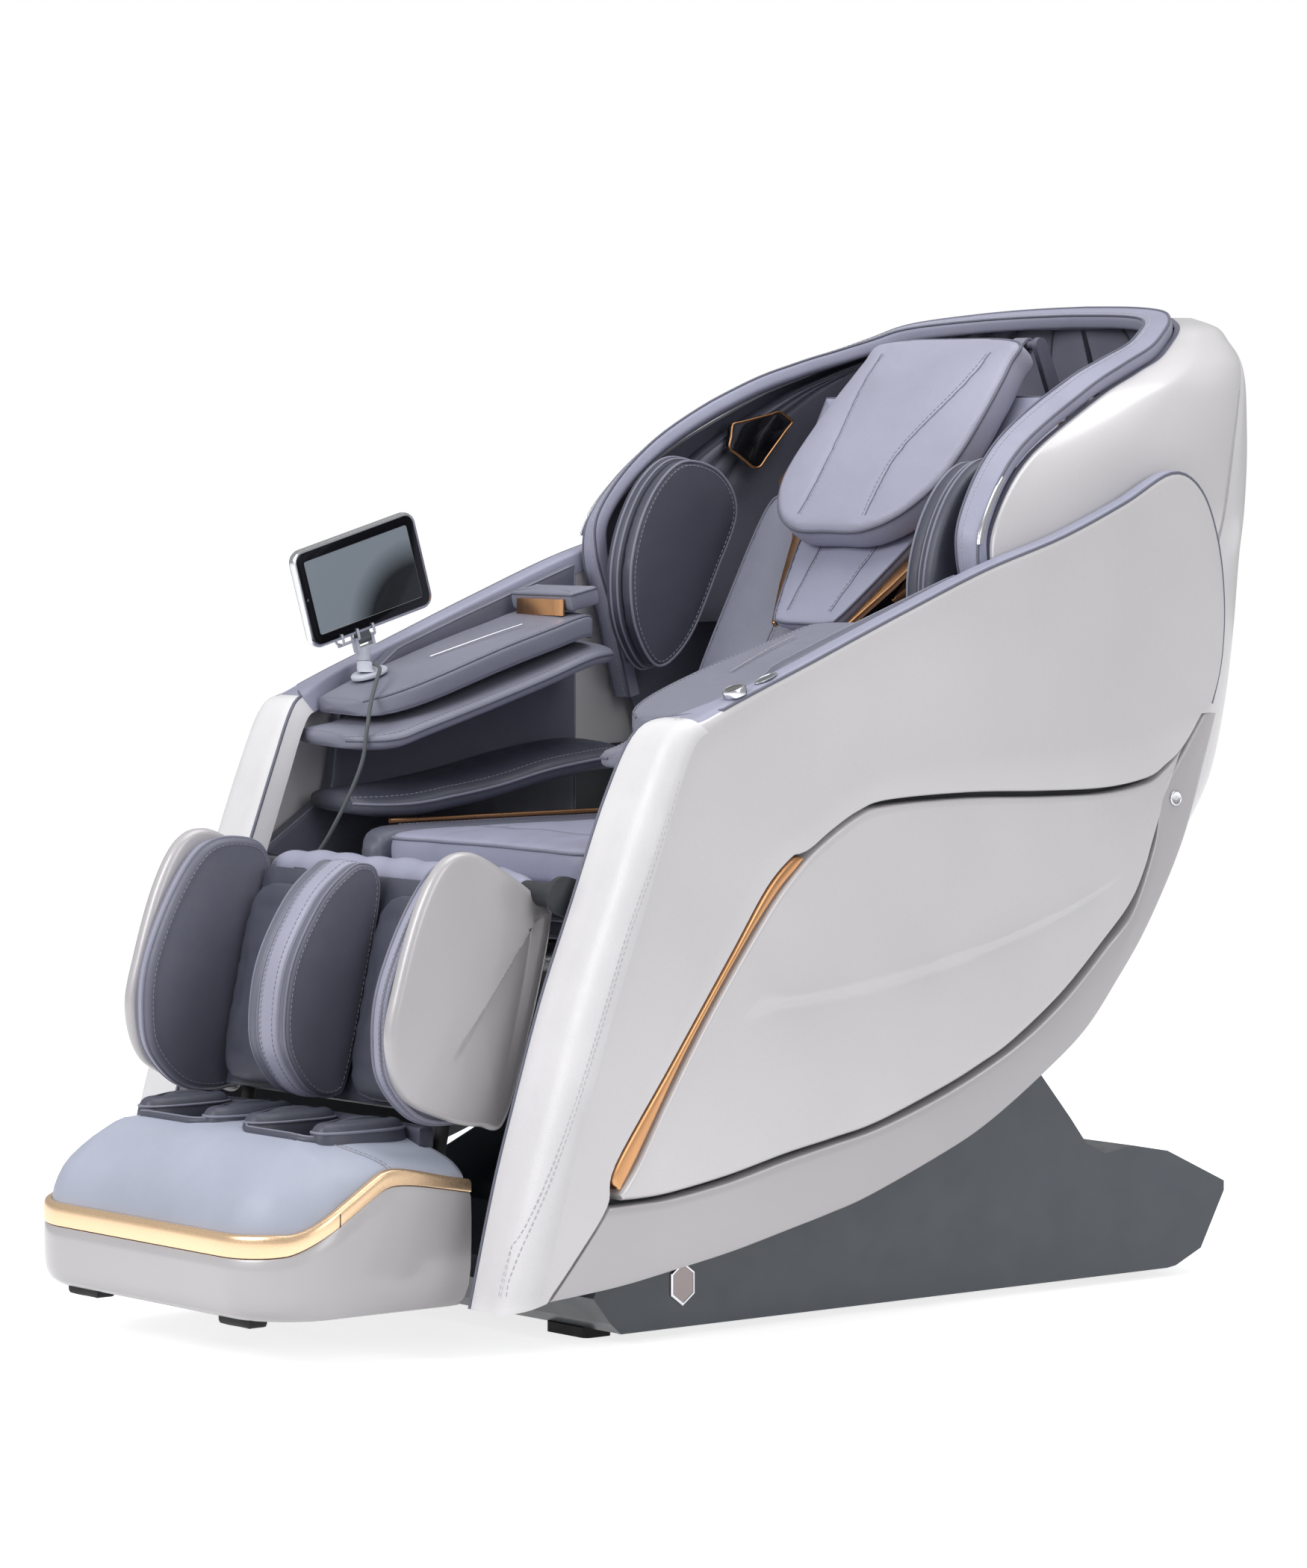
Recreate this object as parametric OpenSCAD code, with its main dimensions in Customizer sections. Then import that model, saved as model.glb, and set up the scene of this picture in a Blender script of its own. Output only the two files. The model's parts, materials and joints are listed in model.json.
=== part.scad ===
// Reclining massage chair with a sliding base, a lifting leg rest and a tablet on one arm.
// The chair faces -Y, +Z is up and the origin is on the floor under the middle of its box.

/* [Width] */
// Overall width across the arm shells
overall_w = 822; // [810:1:840]
// Thickness of an arm shell
shell_t = 30; // [26:1:34]
// Thickness of an arm lining
lining_t = 25; // [18:1:28]
// Width of the front of an arm, measured from its outer face
nose_w = 93; // [80:1:96]
// Gap between neighbouring covers
cover_gap = 2; // [1:0.5:3]
// Thickness of the carrier plate behind the facings
carrier_t = 4; // [3:0.5:5]
// Gap between parts that are seated on each other
seat_gap = 0.3; // [0.2:0.1:0.4]

/* [Seat] */
// Half width of the seat cushion between its bolsters
cushion_hw = 196; // [180:1:198]
// Thickness of the seat cushion
cushion_t = 46; // [36:1:52]
// Crown of the seat cushion
cushion_crown = 10; // [4:1:14]
// Width of a seat bolster
bolster_w = 50; // [36:1:56]
// Radius of the bolsters' piping
piping_r = 3; // [2:0.5:4]
// Thickness of each of the sewn layers at the front of the seat
layer_t = 22; // [16:1:24]
// Width of the seat frame over its side plates
frame_w = 616; // [604:2:620]
// Thickness of the frames' steel plates
plate_t = 8; // [6:1:10]
// Radius of the frames' cross tubes
tube_r = 14; // [10:1:16]
// Wall of the frames' cross tubes
tube_wall = 2.5; // [2:0.5:4]

/* [Arms] */
// Width of the tray on top of an arm
tray_w = 140; // [120:1:144]
// Thickness of the tray on top of an arm
tray_t = 30; // [24:1:34]
// Thickness of the flap pad that closes over the forearm
flap_t = 28; // [22:1:30]
// Thickness of the pad that the hand rests on
hand_t = 36; // [30:1:38]
// Radius of the control dial on the arm
dial_r = 14; // [11:0.5:14.5]
// Height of the control dial
dial_h = 9; // [6:1:12]

/* [Backrest] */
// Wall of the hood and of the back shell
hood_t = 12; // [8:1:14]
// Width of the padded rim of the hood
rim_w = 36; // [28:1:38]
// Thickness of the padded rim of the hood
rim_t = 20; // [14:1:24]
// Lean of the backrest from upright, at rest
back_lean = 30; // [30]
// Thickness of the back pads
back_pad_t = 44; // [34:1:50]
// Thickness of each shoulder pad
shoulder_t = 26; // [18:1:28]
// Thickness of the head pillow
pillow_t = 44; // [34:1:52]
// Crown of the head pillow
pillow_crown = 14; // [6:1:18]
// Distance between the two track rails
track_gauge = 300; // [280:2:310]
// Radius of a track rail
track_r = 11; // [8:1:12]
// Radius of a massage roller
roller_r = 24; // [18:1:28]
// Throw of the kneading arms
knead_throw = 46; // [36:1:50]

/* [Leg rest] */
// Half width of the leg rest over its side shells
leg_hw = 274; // [268:1:284]
// Thickness of a calf pad
calf_pad_t = 34; // [26:1:36]
// Width of the padded divider between the legs
divider_w = 84; // [70:1:92]
// Radius of the leg rest's hinge pins
leg_pin_r = 8; // [6:0.5:10]

/* [Footrest] */
// Half width of the footrest
foot_hw = 258; // [250:1:268]
// Wall of the footrest's shell
foot_wall = 5; // [4:0.5:7]
// Height of the gold band round the footrest
band_h = 18; // [12:1:22]
// Radius of a foot roller
sole_roller_r = 16; // [12:1:18]
// Radius of the shaft that the foot rollers share
sole_shaft_r = 5; // [4:0.5:6]

/* [Base] */
// Half width of the base cover
base_hw = 290; // [280:1:300]
// Wall of the base cover
base_wall = 6; // [4:0.5:8]
// Distance between the two slide rails
rail_gauge = 380; // [360:2:400]
// Height of the feet under the base
foot_h = 12; // [12:1:16]
// Radius of a transport wheel
wheel_r = 28; // [24:1:30]
// Width of a transport wheel
wheel_w = 22; // [16:1:24]
// Radius of the transport wheels' axle
axle_r = 6; // [4:0.5:8]

/* [Tablet] */
// Width of the tablet
tablet_w = 190; // [170:1:210]
// Height of the tablet
tablet_h = 122; // [110:1:135]
// Thickness of the tablet
tablet_t = 12; // [9:1:15]
// Corner radius of the tablet
tablet_r = 16; // [8:1:22]
// Diameter of the tablet's lead
lead_d = 5; // [4:0.5:6]

/* [Pivots] */
// Radius of the tilt and recline pivot pins
pivot_r = 10; // [8:0.5:12]
// Radial running clearance of every pin in its bore
run_gap = 0.06; // [0.03:0.01:0.1]
// Clearance between bodies that move past each other
move_gap = 3; // [2:0.5:4]
// Radius of an actuator tube
act_r = 20; // [16:1:22]
// Radius of an actuator rod
rod_r = 10; // [8:0.5:12]

/* [Hidden] */
$fn = 48;

half_w = overall_w / 2;
shell_in = half_w - shell_t;
nose_in = half_w - nose_w;
carrier_in = shell_in - seat_gap - carrier_t;
lining_out = carrier_in - seat_gap;
lining_in = lining_out - lining_t;
pad_out = lining_in - seat_gap;
back_hw = carrier_in - move_gap;
frame_hw = frame_w / 2;

// Pivot axes, as [y, z]
tilt_pivot = [178, 332];
recline_pivot = [105, 410];
leg_pivot = [-388, 515];
pillow_pivot = [514, 1138];

// ---- curves ----

// Catmull-Rom point between b and c
function curve_point(a, b, c, d, t) =
    0.5 * (2 * b + (c - a) * t + (2 * a - 5 * b + 4 * c - d) * t * t
        + (3 * b - a - 3 * c + d) * t * t * t);

// Smooth open line through p, with n steps to a span
function smooth_line(p, n) =
    let (last = len(p) - 1)
    [for (i = [0 : last - 1], k = [0 : n - 1])
        curve_point(p[max(i - 1, 0)], p[i], p[i + 1], p[min(i + 2, last)], k / n), p[last]];

// Smooth closed loop through p, with n steps to a span
function smooth_loop(p, n) =
    let (m = len(p))
    [for (i = [0 : m - 1], k = [0 : n - 1])
        curve_point(p[(i - 1 + m) % m], p[i], p[(i + 1) % m], p[(i + 2) % m], k / n)];

function unit(v) = v / norm(v);
function total(v) = v * [for (x = v) 1];
function mean(p) = [for (k = [0 : len(p[0]) - 1]) total([for (q = p) q[k]]) / len(p)];

// Signed area of a flat loop
function loop_area(p) =
    total([for (i = [0 : len(p) - 1]) let (q = p[(i + 1) % len(p)]) p[i][0] * q[1] - q[0] * p[i][1]]) / 2;

// A flat loop drawn in by d along its own normals
function drawn_in(p, d) =
    let (m = len(p), side = sign(loop_area(p)))
    [for (i = [0 : m - 1])
        let (t = unit(p[(i + 1) % m] - p[(i - 1 + m) % m]))
        p[i] + side * d * [-t[1], t[0]]];

// Superellipse of half sizes a and b, exponent e, with n points
function round_box(a, b, e, n) =
    [for (i = [0 : n - 1])
        let (c = cos(360 * (i + 0.5) / n), s = sin(360 * (i + 0.5) / n))
        [sign(c) * a * pow(abs(c), 2 / e), sign(s) * b * pow(abs(s), 2 / e)]];

// ---- solids from rings ----

function signed_volume(points, faces) =
    total([for (f = faces, i = [1 : len(f) - 2])
        points[f[0]] * cross(points[f[i]], points[f[i + 1]])]);

// Solid through rings that have equal numbers of points; fan closes its ends to a middle point,
// and strip closes them across a wall whose second half runs back along its first
module skin(rings, fan = true, strip = false) {
    n = len(rings[0]);
    m = len(rings);
    ring_points = [for (r = rings) each r];
    points = fan ? concat(ring_points, [mean(rings[0]), mean(rings[m - 1])]) : ring_points;
    sides = [for (k = [0 : m - 2], i = [0 : n - 1], half = [0, 1])
        let (a = k * n + i, b = k * n + (i + 1) % n)
        half == 0 ? [a, b, b + n] : [a, b + n, a + n]];
    caps = fan
        ? [for (i = [0 : n - 1], top = [0, 1])
            let (j = (i + 1) % n, k = (m - 1) * n)
            top == 0 ? [j, i, m * n] : [k + i, k + j, m * n + 1]]
        : strip
        ? [for (i = [0 : n / 2 - 2], top = [0, 1])
            let (j = n - 1 - i, k = (m - 1) * n)
            top == 0 ? [j, j - 1, i + 1, i] : [k + i, k + i + 1, k + j - 1, k + j]]
        : [[for (i = [n - 1 : -1 : 0]) i], [for (i = [0 : n - 1]) (m - 1) * n + i]];
    faces = concat(sides, caps);
    outward = signed_volume(points, faces) < 0;
    polyhedron(points, outward ? faces : [for (f = faces) [for (i = [len(f) - 1 : -1 : 0]) f[i]]]);
}

// Cushion on a flat loop: its sides draw in over rim, and its top rises by crown
module pad(loop, t, crown = 6, rim = 8, back_crown = 0) {
    middle = mean(loop);
    top = drawn_in(loop, rim);
    function at(p, w) = [for (q = p) [q[0], q[1], w]];
    function shrunk(p, s) = [for (q = p) middle + s * (q - middle)];
    skin(concat(
        back_crown > 0 ? [at(shrunk(top, 0.4), -back_crown)] : [],
        [at(top, 0), at(drawn_in(loop, rim * 0.25), t * 0.2), at(loop, t * 0.45),
            at(drawn_in(loop, rim * 0.25), t * 0.75), at(top, t)],
        [for (s = [0.72, 0.36]) at(shrunk(top, s), t + crown * (1 - s * s))]));
}

// Turns a flat drawing of [y, z] into a wall that starts at x and grows outwards along X
module on_side(x) {
    multmatrix([[0, 0, 1, x], [1, 0, 0, 0], [0, 1, 0, 0], [0, 0, 0, 1]]) children();
}

// Leans a flat drawing back with the backrest, with its own origin at [y, z]
module on_back(y, z, lean = back_lean) {
    translate([0, y, z]) rotate([90 - lean, 0, 0]) children();
}

module both_sides() {
    children();
    mirror([1, 0, 0]) children();
}

// Tube along X between x0 and x1, through [y, z]
module cross_tube(p, x0, x1, r = tube_r, wall = tube_wall) {
    translate([x0, p[0], p[1]]) rotate([0, 90, 0]) difference() {
        cylinder(h = x1 - x0, r = r);
        translate([0, 0, -1]) cylinder(h = x1 - x0 + 2, r = r - wall);
    }
}

// Solid pin along X between x0 and x1, through [y, z]
module pin_x(p, x0, x1, r) {
    translate([x0, p[0], p[1]]) rotate([0, 90, 0]) cylinder(h = x1 - x0, r = r);
}

// Flat bar between a and b with round ends of radii ra and rb
module link_2d(a, b, ra, rb) {
    along = atan2(b[1] - a[1], b[0] - a[0]);
    spread = acos((ra - rb) / norm(b - a));
    function edge(c, r, side) = c + r * [cos(along + side * spread), sin(along + side * spread)];
    translate(a) circle(r = ra);
    translate(b) circle(r = rb);
    polygon([edge(a, ra, 1), edge(a, ra, -1), edge(b, rb, -1), edge(b, rb, 1)]);
}

// ---- arm shells and what faces them ----

// Outer face of the chair's side at [y, z]
function side_x(p) =
    half_w - 14 * pow(max(0, p[0] - 120) / 420, 2) - 10 * pow(max(0, 330 - p[1]) / 260, 2);

// Free edge of the arm shell, from the toe of its front to its rear, as [y, z, width in, radius]
SHELL_EDGE = [[-532, 66, 1, 34], [-514, 140, 1, 34], [-495, 212, 1, 34], [-472, 285, 1, 34],
    [-433, 402, 1, 34], [-387, 514, 1, 32], [-342, 627, 0.96, 30], [-305, 700, 0.8, 26],
    [-265, 717, 0.4, 18], [-203, 741, 0.02, 12], [-120, 772, 0, 10], [-43, 802, 0, 10],
    [33, 831, 0, 10], [152, 875, 0, 10], [273, 911, 0, 10], [376, 950, 0, 10],
    [457, 985, 0, 10], [507, 965, 0, 10], [537, 905, 0, 10], [549, 830, 0, 10],
    [545, 760, 0, 10], [529, 708, 0, 8]];
// Its edge against the skirt, the strip and the leaf panel
SHELL_SEAM = [[-485, 78], [-445, 125], [-405, 178], [-395, 224], [-313, 337], [-230, 450],
    [-179, 520], [-143, 552], [-129, 556], [-113, 562], [-81, 582], [-43, 601], [2, 612],
    [127, 616], [247, 613], [347, 613], [417, 622], [447, 636], [469, 650], [487, 668],
    [499, 684], [505, 694]];
LEAF_TOP = [[-388, 190], [-361, 224], [-320, 292], [-255, 389], [-179, 488], [-142, 528],
    [-103, 560], [-43, 594], [2, 605], [127, 609], [247, 606], [347, 606], [417, 615],
    [447, 629], [467, 645.5], [480.5, 661]];
LEAF_BOTTOM = [[-383, 183], [-355, 183], [-312, 186], [-229, 199], [-146, 217], [-78, 229],
    [-9, 243], [93, 277], [147, 299], [196, 322], [275, 373], [344, 431], [388, 472],
    [412, 512], [424, 548], [431, 590]];
SKIRT_TOP = [[-401, 176], [-355, 177], [-312, 179], [-229, 191], [-146, 209], [-78, 222],
    [-7, 236], [96, 269], [199, 314], [279, 364], [348, 422], [393, 464], [429, 542],
    [441, 600], [479, 650], [513, 694]];
SKIRT_BOTTOM = [[-481, 78], [-386, 86], [-305, 98], [-221, 112], [-138, 130], [-80, 143],
    [-23, 158], [80, 195], [152, 226], [236, 275], [310, 325], [364, 381], [418, 446],
    [478, 542], [517, 640], [537, 695]];
STRIP_FRONT = [[-390, 196], [-392, 222], [-310, 336], [-227, 449], [-177, 517], [-143, 549],
    [-128, 553]];
STRIP_REAR = [[-385, 196], [-366, 224], [-296, 339], [-216, 449], [-163, 512], [-132, 540],
    [-123, 549]];

// Section of the arm shell from its free edge e to its seam s
function shell_section(e, s) =
    let (a = [e[0], e[1]], t = unit(s - a), l = norm(s - a), r = e[3],
        inner = shell_in - 2 - e[2] * (nose_w - shell_t - 2), wrap = min(28, l * 0.4),
        at = function(d) a + t * min(d, l))
    [for (q = [[0, inner, wrap], [0, inner, 5], [0, inner + 5, 0], [1, -r, 0],
            [1, -0.5 * r, 0.134 * r], [1, -0.134 * r, 0.5 * r], [1, 0, r], [1, 0, r + (l - r) * 0.35],
            [1, 0, r + (l - r) * 0.7], [1, 0, l - 3], [1, -3, l], [0, shell_in, l],
            [0, shell_in, wrap]])
        let (p = at(q[2])) [q[0] == 1 ? side_x(p) + q[1] : q[1], p[0], p[1]]];

module arm_shell() {
    steps = 2;
    edge = smooth_line(SHELL_EDGE, steps);
    seam = smooth_line(SHELL_SEAM, steps);
    skin([for (i = [0 : len(edge) - 1]) shell_section(edge[i], seam[i])], fan = false);
}

// Facing between two rails of [y, z]; its face stands proud of the shell by proud
module facing(rail_a, rail_b, steps, proud, bevel, crown = 0) {
    a = smooth_line(rail_a, steps);
    b = smooth_line(rail_b, steps);
    function at(i, f, drop) =
        let (p = a[i] + (b[i] - a[i]) * f)
        [side_x(p) + proud + drop, p[0], p[1]];
    skin([for (i = [0 : len(a) - 1])
        let (l = norm(b[i] - a[i]), f = min(0.3, bevel / l))
        [[shell_in, a[i][0], a[i][1]], at(i, 0, -bevel), at(i, f, 0), at(i, 0.5, crown),
            at(i, 1 - f, 0), at(i, 1, -bevel), [shell_in, b[i][0], b[i][1]]]], fan = false);
}

module arm_shells() { color("#d9d7d4") both_sides() arm_shell(); }
module leaf_panels() { color("#dcdad7") both_sides() facing(LEAF_TOP, LEAF_BOTTOM, 2, -3, 5, 3); }
module skirt_panels() { color("#cfcdca") both_sides() facing(SKIRT_TOP, SKIRT_BOTTOM, 2, -2, 4, 2); }
module copper_strips() { color("#b4703c") both_sides() facing(STRIP_FRONT, STRIP_REAR, 3, -5, 2); }

screw_cap_at = [462, 596];
screw_cap_r = 9;
module screw_caps() {
    color("#c9c7c4") both_sides() translate([side_x(screw_cap_at) + 0.2, screw_cap_at[0], screw_cap_at[1]])
        rotate([0, 90, 0]) cylinder(h = 2, r = screw_cap_r);
}

// Lining of the arm's inner side, as [y, z]
LINING = [[-184, 724], [-216, 692], [-228, 600], [-250, 582], [-338, 524], [-352, 500], [-330, 440],
    [-180, 420], [60, 420], [120, 470], [150, 560], [150, 866], [136, 862], [-36, 802],
    [-127, 768]];
module arm_linings() {
    color("#565b6a") both_sides() on_side(lining_in) linear_extrude(lining_t) polygon(LINING);
}

// Carrier plate behind the facings, as [y, z]
CARRIER = [[-462, 96], [-300, 118], [-138, 150], [80, 214], [236, 294], [350, 392], [420, 480],
    [480, 600], [505, 688], [440, 664], [300, 640], [-60, 628], [-168, 560], [-250, 450],
    [-330, 340], [-424, 212]];
module side_carriers() {
    color("#44474f") both_sides() on_side(carrier_in) linear_extrude(carrier_t) polygon(CARRIER);
}

// Soft bar along the arm: stations of [y, height of its top], hung from pad_out inwards
module arm_bar(stations, w, t, droop, e = 4) {
    line = smooth_line(stations, 2);
    last = len(line) - 1;
    skin([for (i = [0 : last])
        let (f = i / last, taper = 1 - 0.35 * pow(abs(2 * f - 1), 6), a = w / 2 * taper)
        [for (q = round_box(a, t / 2 * taper, e, 20))
            [pad_out - w / 2 + q[0] + (w / 2 - a), line[i][0],
                line[i][1] - t / 2 + q[1] - droop * pow((w / 2 - q[0]) / w, 2)]]]);
}

TRAY_LINE = [[-249, 717], [-170, 744], [-79, 774], [0, 797], [56, 812], [83, 806]];
FLAP_LINE = [[-282, 680], [-240, 684], [-200, 696], [-110, 722], [-18, 750], [60, 774], [122, 776]];
HAND_LINE = [[-262, 606], [-190, 608], [-90, 622], [0, 640], [90, 652], [148, 650]];
module arm_trays() { color("#8d91a6") both_sides() arm_bar(TRAY_LINE, tray_w, tray_t, 4); }
module arm_flap_pads() { color("#565b6a") both_sides() arm_bar(FLAP_LINE, tray_w + 12, flap_t, 8); }
module hand_pads() { color("#565b6a") both_sides() arm_bar(HAND_LINE, tray_w - 6, hand_t, 6); }

// ---- seat ----

seat_front = -250;
seat_rear = 182;
seat_top = 566;
cushion_z = seat_top - cushion_t - cushion_crown;
pan_t = 6;
pan_top = cushion_z - seat_gap;
pan_low = pan_top - pan_t;
pan_front = -188;
front_tube = [-178, 466];
ear_bend = [172, 430];
module seat_cushion() {
    half = (seat_front + seat_rear) / 2;
    right = [[0, seat_front - 8], [cushion_hw * 0.5, seat_front - 14], [cushion_hw, seat_front],
        [cushion_hw, half], [cushion_hw - 8, seat_rear], [0, seat_rear + 6]];
    left = [for (i = [4 : -1 : 1]) [-right[i][0], right[i][1]]];
    color("#9a9db3") translate([0, 0, cushion_z])
        pad(smooth_loop(concat(right, left), 3), cushion_t, cushion_crown, 9);
}

bolster_r = 26;
module seat_bolsters() {
    x = cushion_hw + cover_gap + 8 + bolster_w / 2;
    z = pan_top + seat_gap + bolster_r;
    color("#6f7386") both_sides() skin([for (s = [[-262, 0.6], [-240, 0.94], [-120, 1], [30, 1],
            [120, 0.96], [150, 0.7]])
        [for (q = round_box(bolster_w / 2 * s[1], bolster_r * s[1], 3, 16))
            [x + q[0], s[0], z + (s[1] - 1) * bolster_r + q[1]]]]);
    color("#b4703c") both_sides() translate([x, -232, z + bolster_r + piping_r + seat_gap])
        rotate([-90, 0, 0]) cylinder(h = 340, r = piping_r);
}

layer_step = layer_t + seat_gap;
layer_rear = front_tube[0] - tube_r - 7;
module seat_front_layers() {
    color("#8589a0") for (i = [0 : 2]) {
        front = seat_front - 8 + 14 * i;
        hw = cushion_hw + 30 - 12 * i;
        translate([0, 0, cushion_z - seat_gap - layer_t - i * layer_step])
            linear_extrude(layer_t) translate([-hw, front])
                offset(r = 12) translate([12, 12]) square([2 * hw - 24, layer_rear - front - 24]);
    }
}

box_at = [60, -60];
module control_box() {
    color("#2e3138") translate([box_at[0], box_at[1], pan_low - 46]) cube([150, 110, 46]);
}
pump_at = [-210, -60];
module air_pump() {
    color("#3a3d45") {
        translate([pump_at[0], pump_at[1], pan_low - 42]) cube([130, 90, 42]);
        translate([pump_at[0] + 65, pump_at[1] + 90, pan_low - 22]) rotate([-90, 0, 0])
            cylinder(h = 50, r = 20);
    }
}

// Inner faces of the plates that carry each pivot
plate_in = frame_hw - plate_t;
arm_in = plate_in - move_gap - plate_t;
tilt_ear_in = 240;
carriage_out = tilt_ear_in - move_gap;
act_x = 90;
act_pin_r = 8;
tilt_foot = [-30, 130];
tilt_head = [-190, 395];
recline_foot = [-150, 330];
recline_head = [150, 300];
leg_act_z = 418;

// Pair of ears that hold an actuator's pin between them, at x, from a to b
module actuator_ears(x, a, b, half_gap, r = 16) {
    for (side = [-1, 1])
        translate([x + side * (half_gap + 3) - 3, 0, 0]) on_side(0) linear_extrude(6) link_2d(a, b, r, r);
}

module seat_frame() {
    color("#3f434b") {
        // Side plates with the leg rest's and the backrest's pins
        both_sides() {
            on_side(plate_in) linear_extrude(plate_t) {
                polygon([[-230, 430], [-190, 405], [90, 385], [150, 385], [186, 420], [150, 470],
                    [90, pan_low], [-190, pan_low], [-260, 500]]);
                link_2d(leg_pivot, [-235, 462], 22, 26);
            }
            pin_x(recline_pivot, arm_in - 2, plate_in + 1, pivot_r);
            pin_x(leg_pivot, arm_in - 2, plate_in + 1, leg_pin_r);
            // Ears on the tilt pivot
            on_side(tilt_ear_in) linear_extrude(plate_t) difference() {
                union() {
                    link_2d(tilt_pivot, ear_bend, 24, 18);
                    link_2d(ear_bend, [92, pan_low - 10], 18, 13);
                }
                translate(tilt_pivot) circle(r = pivot_r + run_gap);
            }
            // Outriggers that carry the linings
            for (y = [-120, 20])
                translate([frame_hw - 1, y, 440]) cube([lining_in - seat_gap - frame_hw + 1, 40, 30]);
        }
        cross_tube([62, 436], -plate_in - 1, plate_in + 1);
        cross_tube(front_tube, -plate_in - 1, plate_in + 1);
        translate([-plate_in - 1, pan_front, pan_low]) cube([2 * plate_in + 2, 300, pan_t]);
        actuator_ears(act_x, tilt_head, front_tube, act_half);
        actuator_ears(-act_x, recline_foot, front_tube, act_half);
        translate([act_x, 0, 0]) pin_x(tilt_head, -act_half - 6, act_half + 6, act_pin_r);
        translate([-act_x, 0, 0]) pin_x(recline_foot, -act_half - 6, act_half + 6, act_pin_r);
    }
}

// ---- actuators ----

act_half = 15;
open_gap = 4;

// Tube from foot towards head, with an eye on the foot's pin
module actuator_tube(foot, head, len) {
    a = atan2(head[1] - foot[1], head[0] - foot[0]);
    translate([0, foot[0], foot[1]]) rotate([a - 90, 0, 0]) {
        difference() {
            union() {
                translate([0, 0, 22]) cylinder(h = len - 22, r = act_r);
                translate([1 - act_half, -15, 0]) cube([2 * act_half - 2, 30, 24]);
                translate([1 - act_half, 0, 0]) rotate([0, 90, 0]) cylinder(h = 2 * act_half - 2, r = 15);
            }
            translate([-act_half, 0, 0]) rotate([0, 90, 0])
                cylinder(h = 2 * act_half, r = act_pin_r + run_gap);
            translate([0, 0, 40]) cylinder(h = len, r = rod_r + 0.5);
        }
    }
}

// Rod that runs in the tube and ends in a loose eye round the head's pin
module actuator_rod(foot, head, start) {
    a = atan2(head[1] - foot[1], head[0] - foot[0]);
    l = norm(head - foot);
    translate([0, foot[0], foot[1]]) rotate([a - 90, 0, 0]) difference() {
        union() {
            translate([0, 0, start]) cylinder(h = l - start - 8, r = rod_r);
            translate([1 - act_half, 0, l]) rotate([0, 90, 0])
                cylinder(h = 2 * act_half - 2, r = act_pin_r + open_gap + 6);
        }
        translate([-act_half, 0, l]) rotate([0, 90, 0])
            cylinder(h = 2 * act_half, r = act_pin_r + open_gap);
    }
}

module tilt_actuator_tube() {
    color("#c4c7cc") translate([act_x, 0, 0]) actuator_tube(tilt_foot, tilt_head, 230);
}
module tilt_actuator_rod() {
    color("#e2e4e8") translate([act_x, 0, 0]) actuator_rod(tilt_foot, tilt_head, 90);
}
module recline_actuator_tube() {
    color("#c4c7cc") translate([-act_x, 0, 0]) actuator_tube(recline_foot, recline_head, 215);
}
module recline_actuator_rod() {
    color("#e2e4e8") translate([-act_x, 0, 0]) actuator_rod(recline_foot, recline_head, 100);
}

// ---- base ----

BASE = [[-294, 12], [-309, 25], [-334, 56], [-322, 80], [-260, 106], [-120, 152], [20, 214],
    [140, 272], [230, 300], [300, 300], [351, 262], [399, 207], [424, 176], [456, 161],
    [501, 167], [560, 156], [656, 112], [656, 100], [617, 32], [575, 14], [560, 12]];
opening_y = [-210, 396];
module base_cover() {
    color("#5f6b7a") difference() {
        on_side(-base_hw) linear_extrude(2 * base_hw) polygon(BASE);
        on_side(base_wall - base_hw) linear_extrude(2 * (base_hw - base_wall)) difference() {
            offset(delta = -base_wall) polygon(concat([[-294, 0], [575, 0]], [for (i = [len(BASE) - 3 : -1 : 1]) BASE[i]]));
        }
        translate([base_wall - base_hw, opening_y[0], 40])
            cube([2 * (base_hw - base_wall), opening_y[1] - opening_y[0], 400]);
        // Slots that the transport wheels come through
        both_sides() translate([wheel_x - wheel_w / 2 - 4, axle_at[0] - wheel_r - 4, 0])
            cube([wheel_w + 8, 2 * wheel_r + 10, 40]);
    }
}

rail_hw = rail_gauge / 2;
rail_z = [52, 76];
rail_w = 20;
frame_bar = 30;
bar_rear = 498;
motor_y = 400;
motor_l = 90;
module base_frame() {
    color("#3f434b") {
        both_sides() translate([rail_hw - frame_bar / 2, -290, foot_h])
            cube([frame_bar, axle_at[0] - axle_r - 6 + 290, rail_z[0] - foot_h]);
        for (y = [-290, 120, bar_rear])
            translate([-base_hw + base_wall + seat_gap, y, foot_h + 6])
                cube([2 * (base_hw - base_wall - seat_gap), 30, 26]);
        // Plate that holds the slide motor
        translate([-32, motor_y + motor_l + seat_gap, foot_h + 10])
            cube([64, bar_rear - motor_y - motor_l + 2, 90]);
        // Stand for the front end of the drive screw
        translate([-12, -290, foot_h + 6]) cube([24, 96, 20]);
        difference() {
            translate([-12, screw_y + 6, foot_h + 6]) cube([24, 12, screw_z - foot_h + 8]);
            translate([0, screw_y, screw_z]) rotate([-90, 0, 0]) cylinder(h = 30, r = screw_r + seat_gap);
        }
        // Brackets of the transport axle
        both_sides() translate([wheel_x - wheel_w / 2 - 10, bar_rear + 28, 20]) difference() {
            cube([6, 52, 40]);
            translate([-1, axle_at[0] - bar_rear - 28, axle_at[1] - 20]) rotate([0, 90, 0])
                cylinder(h = 8, r = axle_r + run_gap);
        }
    }
}
module slide_rails() {
    color("#c4c7cc") both_sides() translate([rail_hw - rail_w / 2, -280, rail_z[0]])
        cube([rail_w, 800, rail_z[1] - rail_z[0]]);
}
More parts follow.
